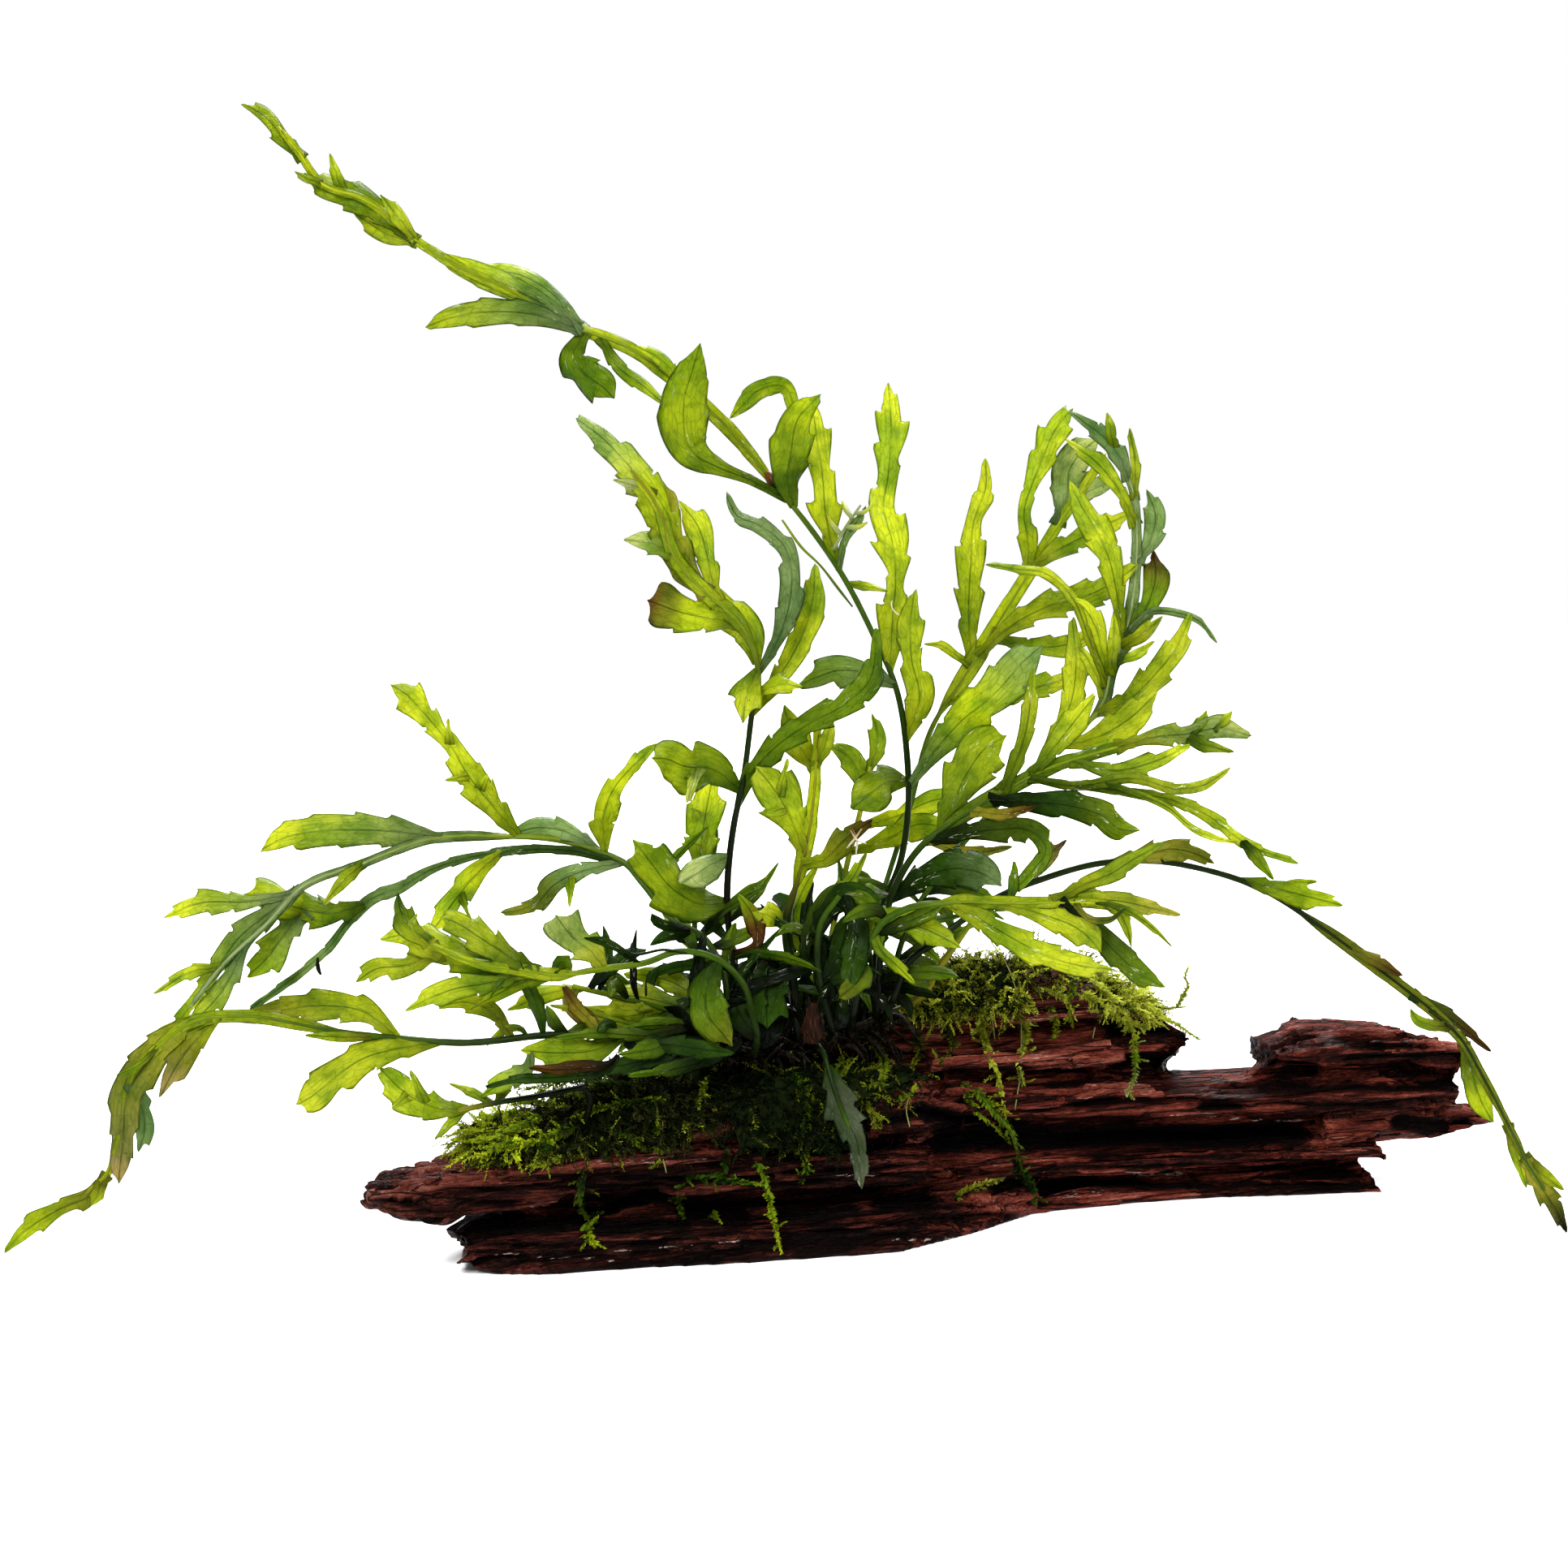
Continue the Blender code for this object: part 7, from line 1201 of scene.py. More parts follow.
def make_frond(name, number, materials):
    """Grows a frond along its solid in the frame: the stem, its wings and every leaf."""
    route, leaves = FRONDS[name]
    look = FROND_LOOKS[name]
    special = LEAF_LOOKS.get(name, {})
    tree = solid_tree(name)
    rng = dice("frond", number)
    shift = closest_swing(
        STEM_SHIFTS, lambda value: place(*swung_route(route, value, SEARCH_STEP)[:, :3].T), tree
    )
    stem = swung_route(route, shift, STEM_STEP)
    pieces = Pieces()
    # How strongly painted wet glints show on this frond's leaves
    pieces.wet = look.get("wet", pieces.wet)
    # The round stem, from a little below its route, and its foot
    below = stem[0] + (stem[0] - stem[2])
    tube = np.vstack([below, stem])
    tube[:, 3] = np.minimum(tube[:, 3], look["stem"]) * STEM_SHARE
    wing, wing_width = look.get("wing", (2.0, 0.0))  # no wings: they would start beyond the tip
    stem_share = np.linspace(0, 1, len(stem))
    winged = ease(stem_share, wing, wing + 0.12)
    tube[1:, 3] *= 1 - WING_THINNING * winged
    add_stem(pieces, tube, look["stem_colours"], rng)
    foot = stem_foot(stem, tube[1, 3])
    add_stem(pieces, foot, ("black", look["stem_colours"][0]), dice("foot", number))
    # The stem's thin wings
    if wing_width:
        first = int(wing * len(stem))
        blade = stem[first:].copy()
        ending = ease(np.arange(len(blade), 0, -1), 0, 14)
        narrowing = 1 - 0.45 * ease(stem_share[first:], 0.5, 1)
        widths = wing_width * winged[first:] * (0.3 + 0.7 * ending) * narrowing
        blade[:, 3] = np.maximum(blade[:, 3] * 0.5, widths)
        add_leaf(pieces, blade, 0.15, (look["wing_colour"], look["wing_colour"], 9, 0.15), rng)
    grown = np.column_stack([stem[:, :3], winged * wing_width])
    # The leaves, each joined to the nearest stem or leaf that has grown before it
    for index, (out, lean, line) in enumerate(leaves):
        nearest = nearest_row(grown, line[0])
        joined = [(nearest[0], nearest[1], line[0][2]), *line[1:]]
        turn = closest_swing(
            LEAF_TURNS,
            lambda value: place(*leaf_rows(joined, nearest[2], out + value, SEARCH_STEP)[1:, :3].T),
            tree,
        )
        rows = leaf_rows(joined, nearest[2], out + turn, LEAF_STEP)
        widest = rows[:, 3].max()
        web = min(nearest[3], 1.1 * widest) * (1 - ease(run_along(rows[:, 0], rows[:, 1]), 0, WEB_LENGTH))
        rows[:, 3] = np.maximum(rows[:, 3], web)
        base, end, *cut = special.get(index, look["leaf"])
        spacing, depth = look["teeth"]
        depth = cut[0] if cut else depth * min(1.0, widest / 3)
        add_leaf(pieces, rows, lean, (base, end, spacing, depth), rng)
        grown = np.concatenate([grown, np.column_stack([rows[:, :3], 0.8 * rows[:, 3]])])
    # Leaves and strands that have no solid in the frame
    for out, lean, line, base, end in EXTRA_LEAVES.get(name, ()):
        nearest = nearest_row(grown, line[0])
        if math.hypot(nearest[0] - line[0][0], nearest[1] - line[0][1]) > 0.8:
            line = [(nearest[0], nearest[1], 0.7), *line]
        add_leaf(pieces, leaf_rows(line, nearest[2], out, LEAF_STEP), lean, (base, end, 6.0, 0.5), rng)
    for colours, line in EXTRA_STRANDS.get(name, ()):
        rows = smooth(line, STRAND_STEP, 6)
        away = np.hypot(grown[:, 0, None] - rows[:, 0], grown[:, 1, None] - rows[:, 1])
        count = np.arange(len(rows))
        depth = np.polyval(np.polyfit(count, grown[np.argmin(away, axis=0), 2], 1), count) + 0.7
        rows = np.column_stack([rows[:, :2], depth, rows[:, 2]])
        add_stem(pieces, rows, colours, rng)
    add_crown_leaves(pieces, name, stem, rng)
    obj = pieces.build(name + "_leaves", materials)
    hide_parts(name)
    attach(obj, "root")


def new_material(name):
    """Makes an empty node material and gives it with its node tree."""
    made = bpy.data.materials.new(name)
    made.use_nodes = True
    made.node_tree.nodes.clear()
    return made, made.node_tree


def node(tree, kind, settings=None, **inputs):
    """Adds a shader node; inputs go by name, or by in and a number, as values or other nodes' outputs."""
    made = tree.nodes.new(kind)
    for key, value in (settings or {}).items():
        setattr(made, key, value)
    for key, value in inputs.items():
        numbered = key.startswith("in") and key[2:].isdigit()
        socket = made.inputs[int(key[2:]) if numbered else key.replace("_", " ")]
        if isinstance(value, bpy.types.NodeSocket):
            tree.links.new(value, socket)
        else:
            socket.default_value = value
    return made


def math_node(tree, operation, first, second=0.0):
    """Adds a math node and gives its result."""
    return node(tree, "ShaderNodeMath", {"operation": operation}, in0=first, in1=second).outputs[0]


def times(tree, first, second):
    """Multiplies two values."""
    return math_node(tree, "MULTIPLY", first, second)


def mix_node(tree, factor, first, second, blend="MIX"):
    """Mixes two colours."""
    kinds = {"data_type": "RGBA", "blend_type": blend}
    return node(tree, "ShaderNodeMix", kinds, in0=factor, in6=first, in7=second).outputs[2]


def tinge(tree, factor, colour, change):
    """Multiplies a colour by another."""
    return mix_node(tree, factor, colour, shade(change), "MULTIPLY")


def range_node(tree, value, low, high, to_low=0.0, to_high=1.0):
    """Maps a value's range smoothly to another."""
    smoothly = {"interpolation_type": "SMOOTHSTEP"}
    limits = {"in1": low, "in2": high, "in3": to_low, "in4": to_high}
    return node(tree, "ShaderNodeMapRange", smoothly, in0=value, **limits).outputs[0]


def noise_node(tree, spot, scale, detail=2.0, roughness=0.5, swirl=0.0):
    """Adds noise at a scale, or at one for each axis, and gives its value."""
    if isinstance(scale, tuple):
        spot, scale = scaled(tree, spot, scale), 1.0
    return node(
        tree, "ShaderNodeTexNoise", None,
        Vector=spot, Scale=scale, Detail=detail, Roughness=roughness, Distortion=swirl,
    ).outputs[0]


def scaled(tree, spot, factors):
    """Stretches a position by factors."""
    return node(tree, "ShaderNodeVectorMath", {"operation": "MULTIPLY"}, in0=spot, in1=factors).outputs[0]


def shade(value):
    """A grey or a colour as four numbers."""
    return (value, value, value, 1.0) if isinstance(value, float) else (*value, 1.0)


def attribute(tree, name, output):
    """Reads a value that the mesh has at its points."""
    return node(tree, "ShaderNodeAttribute", {"attribute_name": name}).outputs[output]


def position_node(tree):
    """Gives the place on the surface."""
    return node(tree, "ShaderNodeNewGeometry").outputs["Position"]


def bump_node(tree, strength, distance, height):
    """Makes a surface look raised by a height."""
    return node(tree, "ShaderNodeBump", None, Strength=strength, Distance=distance, Height=height).outputs[0]


def ramp_node(tree, value, stops):
    """Turns a value into a colour between stops, each a place and a colour."""
    ramp = node(tree, "ShaderNodeValToRGB", None, Fac=value)
    elements = ramp.color_ramp.elements
    first, *between, last = stops
    for element, (where, colour) in zip(elements, (first, last)):
        element.position = where
        element.color = shade(colour)
    for where, colour in between:
        elements.new(where).color = shade(colour)
    return ramp.outputs[0]


def body_node(tree, colour, roughness, shine, **inputs):
    """Adds a surface of a colour, a roughness and a strength of its reflections."""
    kind = "ShaderNodeBsdfPrincipled"
    look = {"Base_Color": colour, "Roughness": roughness, "Specular_IOR_Level": shine, **inputs}
    return node(tree, kind, None, **look).outputs[0]


def blend_node(tree, factor, first, second):
    """Blends two surfaces."""
    return node(tree, "ShaderNodeMixShader", None, in0=factor, in1=first, in2=second).outputs[0]


def finish_material(tree, surface):
    """Joins a surface to the material's output."""
    node(tree, "ShaderNodeOutputMaterial", None, Surface=surface)


def leaf_material():
    """Thin wet leaf: tinted, with painted shade in patches, a dark midrib, fine veins, a darker margin,
    painted wet glints and light coming through.
    """
    made, tree = new_material("fern_leaf")
    tint = attribute(tree, "tint", "Color")
    spot = attribute(tree, "leaf_place", "Vector")
    along, across, rim = node(tree, "ShaderNodeSeparateXYZ", None, Vector=spot).outputs
    position = position_node(tree)
    # Painted shade: broad and smaller darker patches, the shading of the blade's waves
    broad = noise_node(tree, position, 75.0, 2.0, 0.55)
    colour = tinge(tree, range_node(tree, broad, 0.5, 0.64, 0.0, 0.7), tint, (0.45, 0.62, 0.45))
    patches = noise_node(tree, position, 190.0, 3.0, 0.6)
    colour = tinge(tree, range_node(tree, patches, 0.42, 0.66, 0.0, 0.8), colour, (0.55, 0.66, 0.4))
    streaks = noise_node(tree, spot, (0.16, 2.8, 0.0), 4.0, 0.62)
    colour = tinge(tree, range_node(tree, streaks, 0.44, 0.68, 0.0, 0.55), colour, (0.6, 0.67, 0.42))
    cells = {"Vector": scaled(tree, spot, (0.42, 1.15, 0.0)), "Scale": 1.0}
    net = node(tree, "ShaderNodeTexVoronoi", {"feature": "DISTANCE_TO_EDGE"}, **cells).outputs["Distance"]
    netted = range_node(tree, net, 0.09, 0.02, 0.0, 0.42)
    colour = tinge(tree, netted, colour, (0.5, 0.62, 0.4))
    off_rib = math_node(tree, "ABSOLUTE", across)
    slant = math_node(tree, "SUBTRACT", along, times(tree, off_rib, 1.6))
    wobble = times(tree, noise_node(tree, spot, 0.5, 1.0), 1.8)
    beat = math_node(tree, "PINGPONG", math_node(tree, "ADD", slant, wobble), 1.5)
    side_vein = range_node(tree, beat, 0.14, 0.0, 0.0, 0.45)
    colour = tinge(tree, side_vein, colour, (0.5, 0.6, 0.4))
    fading = range_node(tree, noise_node(tree, spot, (0.11, 0.0, 0.0), 1.0), 0.35, 0.62, 0.3, 0.9)
    midrib = times(tree, range_node(tree, off_rib, 0.17, 0.05), fading)
    colour = tinge(tree, midrib, colour, (0.3, 0.42, 0.25))
    margin = range_node(tree, rim, 0.84, 1.0, 0.0, 0.7)
    colour = tinge(tree, margin, colour, (0.34, 0.5, 0.6))
    specks = noise_node(tree, position, 1500.0, 1.0)
    colour = tinge(tree, range_node(tree, specks, 0.72, 0.78, 0.0, 0.5), colour, (0.25, 0.18, 0.1))
    # Painted highlights: bright wet glints in streaks and patches, as strong as the leaf's glint share
    swirls = noise_node(tree, spot, (0.3, 1.5, 0.0), 3.0, 0.6, 1.4)
    glint_streaks = range_node(tree, swirls, 0.63, 0.68)
    glint_patches = range_node(tree, noise_node(tree, position, 120.0, 2.0), 0.5, 0.62, 0.0, 0.85)
    glint_share = attribute(tree, "tint", "Alpha")
    wet = times(tree, times(tree, glint_streaks, glint_patches), glint_share)
    colour = mix_node(tree, wet, colour, shade((0.8, 0.85, 0.62)))
    height = math_node(tree, "ADD", times(tree, streaks, 0.8), times(tree, midrib, 0.8))
    height = math_node(tree, "SUBTRACT", height, times(tree, netted, 0.6))
    height = math_node(tree, "ADD", height, times(tree, noise_node(tree, position, 600.0, 2.0), 1.2))
    bump = bump_node(tree, 0.7, 0.0004, height)
    gloss = range_node(tree, noise_node(tree, position, 150.0, 2.0), 0.35, 0.65, 0.12, 0.36)
    body = body_node(tree, colour, gloss, 0.07, Normal=bump)
    glow = tinge(tree, 1.0, colour, (1.5, 1.34, 0.7))
    through = node(tree, "ShaderNodeBsdfTranslucent", None, Color=glow)
    both = blend_node(tree, 0.55, body, through.outputs[0])
    finish_material(tree, both)
    return made


def stem_material():
    """Smooth wet stem: tinted along its length, with long fine streaks."""
    made, tree = new_material("fern_stem")
    tint = attribute(tree, "tint", "Color")
    spot = attribute(tree, "leaf_place", "Vector")
    streaks = noise_node(tree, spot, (0.3, 5.0, 0.0), 3.0, 0.6)
    colour = tinge(tree, 1.0, tint, (0.8, 0.7, 0.7))
    colour = tinge(tree, range_node(tree, streaks, 0.35, 0.7, 0.0, 0.7), colour, (0.35, 0.35, 0.3))
    bump = bump_node(tree, 0.4, 0.0002, streaks)
    body = body_node(tree, colour, 0.26, 0.04, Normal=bump)
    finish_material(tree, body)
    return made


def wood_material():
    """Wet red-brown driftwood: black in its cracks, painted shade in grooves and hollows, redder raised ridges
    from wear and painted highlight, fibres and painted wet glints.
    """
    made, tree = new_material("wet_driftwood")
    position = position_node(tree)
    relief = attribute(tree, "relief", "Vector")
    raised, warmth_and_highlight, wet = node(tree, "ShaderNodeSeparateXYZ", None, Vector=relief).outputs
    fibres = noise_node(tree, position, (130.0, 2300.0, 2300.0), 3.0, 0.62)
    coarse = noise_node(tree, position, (34.0, 480.0, 480.0), 3.0, 0.6)
    long_waves = noise_node(tree, position, (26.0, 300.0, 300.0), 2.0, 0.5)
    split = math_node(tree, "ABSOLUTE", math_node(tree, "SUBTRACT", long_waves, 0.5))
    crack = range_node(tree, split, 0.028, 0.006, 0.0, 0.9)
    hairs = noise_node(tree, position, (300.0, 5200.0, 5200.0), 2.0, 0.6)
    # Painted shade and highlight: darker in grooves and low places, lighter on raised places and the top band
    level = math_node(tree, "ADD", times(tree, raised, 0.75), times(tree, warmth_and_highlight, 0.3))
    grain = noise_node(tree, position, (900.0, 2600.0, 2600.0), 3.0, 0.65)
    cells = {"Vector": scaled(tree, position, (85.0, 620.0, 620.0)), "Scale": 1.0}
    chips = node(tree, "ShaderNodeTexVoronoi", None, **cells).outputs["Color"]
    chip = node(tree, "ShaderNodeSeparateColor", None, Color=chips).outputs[0]
    for pattern, strength in ((coarse, 1.5), (fibres, 2.0), (hairs, 1.5), (grain, 1.6), (chip, 0.9)):
        change = times(tree, math_node(tree, "SUBTRACT", pattern, 0.5), strength)
        level = math_node(tree, "ADD", level, change)
    colour = ramp_node(tree, range_node(tree, level, -1.3, 1.6), (
        (0.0, (0.0016, 0.0008, 0.0007)), (0.26, (0.015, 0.0036, 0.0024)), (0.5, (0.058, 0.0122, 0.0078)),
        (0.74, (0.096, 0.025, 0.016)), (1.0, (0.19, 0.075, 0.053)),
    ))
    colour = tinge(tree, warmth_and_highlight, colour, (1.8, 1.35, 1.25))
    colour = mix_node(tree, crack, colour, shade((0.0015, 0.0008, 0.0007)))
    # Painted highlights: small wet glints on raised places, and bright lines along the painted glint lines
    glints = range_node(tree, noise_node(tree, position, (700.0, 3400.0, 3400.0), 1.0), 0.62, 0.7)
    glint_patches = range_node(tree, noise_node(tree, position, (45.0, 150.0, 150.0), 2.0), 0.5, 0.64, 0.02, 0.55)
    glint = times(tree, times(tree, glints, glint_patches), range_node(tree, raised, -0.4, 0.5))
    shiny = range_node(tree, times(tree, wet, grain), 0.34, 0.48)
    glint = math_node(tree, "MAXIMUM", glint, times(tree, shiny, 0.6))
    colour = mix_node(tree, glint, colour, shade((0.5, 0.38, 0.33)))
    height = math_node(tree, "ADD", math_node(tree, "ADD", fibres, grain), times(tree, chip, 0.5))
    height = math_node(tree, "SUBTRACT", height, times(tree, crack, 0.8))
    bump = bump_node(tree, 1.0, 0.001, height)
    body = body_node(tree, colour, 0.3, 0.025, Normal=bump)
    finish_material(tree, body)
    return made


def moss_material():
    """Fine moss: each shoot tinted, a little light coming through its leaves."""
    made, tree = new_material("moss_green")
    tint = attribute(tree, "tint", "Color")
    position = position_node(tree)
    patches = noise_node(tree, position, 400.0, 2.0)
    colour = tinge(tree, range_node(tree, patches, 0.35, 0.7, 0.0, 0.6), tint, (0.5, 0.5, 0.4))
    body = body_node(tree, colour, 0.5, 0.05)
    through = node(tree, "ShaderNodeBsdfTranslucent", None, Color=colour)
    both = blend_node(tree, 0.45, body, through.outputs[0])
    finish_material(tree, both)
    return made


def shadow_material():
    """The dull dark tangle below the moss shoots, painted black as the shade inside the mat."""
    made, tree = new_material("moss_shadow")
    position = position_node(tree)
    patches = noise_node(tree, position, 900.0, 3.0)
    colour = mix_node(tree, patches, shade((0.002, 0.004, 0.001)), shade((0.008, 0.013, 0.003)))
    body = body_node(tree, colour, 1.0, 0.02)
    finish_material(tree, body)
    return made


def rhizome_material():
    """Dark scaly rhizome and roots, slightly wet."""
    made, tree = new_material("dark_rhizome")
    position = position_node(tree)
    scales = noise_node(tree, position, 1400.0, 3.0)
    raised = range_node(tree, scales, 0.4, 0.7)
    colour = mix_node(tree, raised, shade((0.0015, 0.0015, 0.001)), shade((0.016, 0.012, 0.006)))
    bump = bump_node(tree, 0.8, 0.0003, scales)
    body = body_node(tree, colour, 0.4, 0.025, Normal=bump)
    finish_material(tree, body)
    return made


def papery_material():
    """Dry papery scale with dark ribs."""
    made, tree = new_material("dry_scale")
    spot = attribute(tree, "leaf_place", "Vector")
    ribs = noise_node(tree, spot, (0.4, 4.5, 0.0), 3.0)
    stops = ((0.44, (0.004, 0.0015, 0.001)), (0.6, (0.016, 0.005, 0.0015)), (0.8, (0.09, 0.031, 0.008)))
    colour = ramp_node(tree, ribs, stops)
    bump = bump_node(tree, 0.6, 0.0003, ribs)
    body = body_node(tree, colour, 0.6, 0.03, Normal=bump)
    finish_material(tree, body)
    return made


def laminae(x, y, z):
    """Relief of the split wood in millimetres: thin layers, each broken off at its own places, and fibres."""
    warp = 1.8 * cloud(x / 42, y / 24, z / 24) + 0.5 * cloud(x / 13 + 9, y / 7, z / 7)
    depth = z * 0.87 + y * 0.5 + warp
    relief = np.zeros_like(x)
    for thickness, run, height, seed in WOOD_LAYERS:
        layer = depth / thickness + 0.25 * cloud(x / 20 + seed, y / 6, z / 6)
        level = np.floor(layer)
        share = layer - level
        jag = x + 3.5 * cloud(x / 8, y / 1.6 + seed, z / 1.1) + 3 * (y + z) * 0.2
        cell = np.floor(jag / run + scatter(level, seed) * 7)
        relief += height * (scatter(level, cell, seed) - 0.55)
        crack = np.minimum(share, 1 - share) * thickness
        opened = ease(cloud(x / 18, level * 1.7, level * 0), -0.45, 0.1)
        relief -= 0.9 * height * np.exp(-((crack / 0.5) ** 2)) * opened
    relief += 0.5 * cloud(x / 14, y / 0.9, z / 0.9) + 0.4 * cloud(x / 34, y / 2.6, z / 2.6)
    return relief


def off_line(front, u1, v1, u2, v2, waver):
    """Gives how far places in the front view lie above a wavering line, and how far beyond its ends."""
    share = np.clip((front[:, 0] - u1) / (u2 - u1), 0, 1)
    beyond = np.maximum(np.abs(front[:, 0] - (u1 + u2) / 2) - (u2 - u1) / 2, 0)
    flat = np.zeros(len(front))
    return front[:, 1] - (v1 + (v2 - v1) * share) + waver * cloud(front[:, 0] / 7, flat + v1, flat), beyond


def make_driftwood(material):
    """Carves the log: the frame's solid in a fine mesh, with split layers, cracks, grooves and fibres."""
    bm = bmesh.new()
    bm.from_mesh(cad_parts["driftwood"].data)
    for u1, v1, u2, v2, far, near in WOOD_FILLS:
        corners = [(u, v, t) for t in (far, near) for u, v in ((u1, v1), (u2, v1), (u2, v2), (u1, v2))]
        ends = [bm.verts.new(place(*corner)[0]) for corner in corners]
        for face in BOX_FACES:
            bm.faces.new([ends[i] for i in face])
    mesh = bpy.data.meshes.new("driftwood_grain")
    bm.to_mesh(mesh)
    bm.free()
    obj = add_object("driftwood_grain", mesh)
    # A fine mesh of the solid and its fillings, whose points the relief then moves
    remesh = obj.modifiers.new("fine", "REMESH")
    remesh.mode = "VOXEL"
    remesh.voxel_size = WOOD_VOXEL * MM
    bpy.context.view_layer.update()
    fine = bpy.data.meshes.new_from_object(obj.evaluated_get(bpy.context.evaluated_depsgraph_get()))
    obj.modifiers.clear()
    obj.data = fine
    count = len(fine.vertices)
    points = np.empty(count * 3)
    normals = np.empty(count * 3)
    fine.vertices.foreach_get("co", points)
    fine.vertices.foreach_get("normal", normals)
    points = points.reshape(-1, 3) / MM
    normals = normals.reshape(-1, 3)
    x, y, z = points.T
    relief = laminae(x, y, z)
    front = seen_from_front(points * MM)
    facing = ease(normals @ TOWARDS, -0.1, 0.5)
    # Grooves, carved in and painted dark as shade, and lines of painted wet highlights on the front
    groove = np.zeros(count)
    for u1, v1, u2, v2, half, depth in WOOD_GROOVES:
        away, beyond = off_line(front, u1, v1, u2, v2, 0.6)
        groove = np.maximum(groove, depth * np.exp(-((away / half) ** 2) - (beyond / GROOVE_END) ** 2))
    groove *= facing
    # The mask of the painted wet highlight lines
    wet = np.zeros(count)
    for u1, v1, u2, v2, half in PAINTED_GLINT_LINES:
        away, beyond = off_line(front, u1, v1, u2, v2, 0.5)
        wet = np.maximum(wet, np.exp(-((away / half) ** 2) - (beyond / GROOVE_END) ** 2))
    wet *= facing
    resting = ease(z, *RESTING)
    ends = 1 - 0.6 * ease(np.abs(normals[:, 0]), 0.45, 0.8)
    moved = points + normals * (relief * resting * ends)[:, None] - TOWARDS * (groove * resting)[:, None]
    for u, v, wide, high, right, up in WOOD_PUSHES:
        share = np.exp(-(((front[:, 0] - u) / wide) ** 4) - ((front[:, 1] - v) / high) ** 4)
        moved += share[:, None] * (right * ACROSS + up * UPWARDS)
    moved[:, 2] = np.maximum(moved[:, 2], WOOD_CLEARANCE)
    fine.vertices.foreach_set("co", (moved * MM).ravel())
    warmth_and_highlight = 0.08 + 0.62 * ease(front[:, 0], 8, 45)
    # Redder towards the right; lighter along the top of the left part, as worn wood and painted highlight
    warmth_and_highlight = warmth_and_highlight + 0.3 * ease(front[:, 1], -72, -64) * ease(-front[:, 0], -5, 10)
    # The first value: darker in grooves and low places as painted shade, lighter on raised places as wear and
    # painted highlight; the third: the mask of the painted wet highlights
    values = np.column_stack([relief / 1.5 - groove * 1.1, warmth_and_highlight, wet])
    fine.attributes.new("relief", "FLOAT_VECTOR", "POINT").data.foreach_set("vector", values.ravel())
    fine.shade_smooth()
    fine.materials.clear()
    fine.materials.append(material)
    fine.update()
    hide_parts("driftwood")
    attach(obj, "root")
    return obj


def add_shoot(pieces, path, width, colours, rng, gap=MOSS_LEAF_GAP, stalk=0.12):
    """Adds one moss shoot: a thin stem thickly set with small pointed leaves, along a path in millimetres."""
    count = len(path)
    ahead = unit(np.gradient(path, axis=0))
    side = unit(np.cross(ahead, rng.normal(size=3)))
    other = np.cross(side, ahead)
    taper = 1 - 0.6 * np.linspace(0, 1, count)
    corners = []
    for angle in (0.0, 2.1, 4.2):
        corners.append(path + (side * math.cos(angle) + other * math.sin(angle)) * (stalk * taper)[:, None])
    stem = np.stack(corners, axis=1).reshape(-1, 3)
    share = np.linspace(0, 1, count)
    pieces.add(stem * MM, ring_faces(count, 3, False), tint=tints(np.repeat(share * 0.7, 3), colours))
    length = np.linalg.norm(np.diff(path, axis=0), axis=1).sum()
    n = max(6, int(length / gap))
    steps = np.linspace(0.03, 1.0, n)
    spots, runs, sides = (
        np.column_stack([np.interp(steps, share, rows[:, axis]) for axis in range(3)])
        for rows in (path, ahead, side)
    )
    flip = np.where(np.arange(n) % 2, 1.0, -1.0)[:, None]
    away = sides * flip * rng.uniform(0.6, 1.1, (n, 1)) + runs * rng.uniform(0.6, 1.1, (n, 1))
    away = unit(away + rng.normal(size=(n, 3)) * 0.3)
    reach = (width / 2) * (1 - 0.5 * steps**2) * rng.uniform(0.8, 1.3, n)
    across = np.cross(away, np.cross(runs, sides) + rng.normal(size=(n, 3)) * 0.4)
    across = unit(np.cross(away, across))
    broad = 0.24 * reach[:, None]
    middle = spots + away * (0.45 * reach)[:, None] - np.cross(away, across) * 0.06
    tips = spots + away * reach[:, None]
    quads = np.stack([spots, middle + across * broad, tips, middle - across * broad], axis=1)
    faces = []
    for a in range(0, 4 * n, 4):
        faces += [(a, a + 1, a + 2), (a, a + 2, a + 3)]
    glow = np.clip(np.repeat(steps, 4) * 0.8 + np.tile((0.0, 0.15, 0.4, 0.15), n), 0, 1)
    pieces.add(quads.reshape(-1, 3) * MM, faces, tint=tints(glow, colours))


def curl(start, direction, length, rng, droop=0.35):
    """Gives a gently curled path in millimetres that droops as it goes."""
    count = max(5, int(length / CURL_STEP))
    step = length / (count - 1)
    spot = np.array(start, float)
    run = np.array(direction, float)
    run /= np.linalg.norm(run)
    turn = rng.normal(size=3) * 0.09
    path = [spot.copy()]
    for _ in range(count - 1):
        run = run + turn * step + np.array((0, 0, -droop * step * 0.12)) + rng.normal(size=3) * 0.05
        run /= np.linalg.norm(run)
        spot = spot + run * step
        path.append(spot.copy())
    return np.array(path)


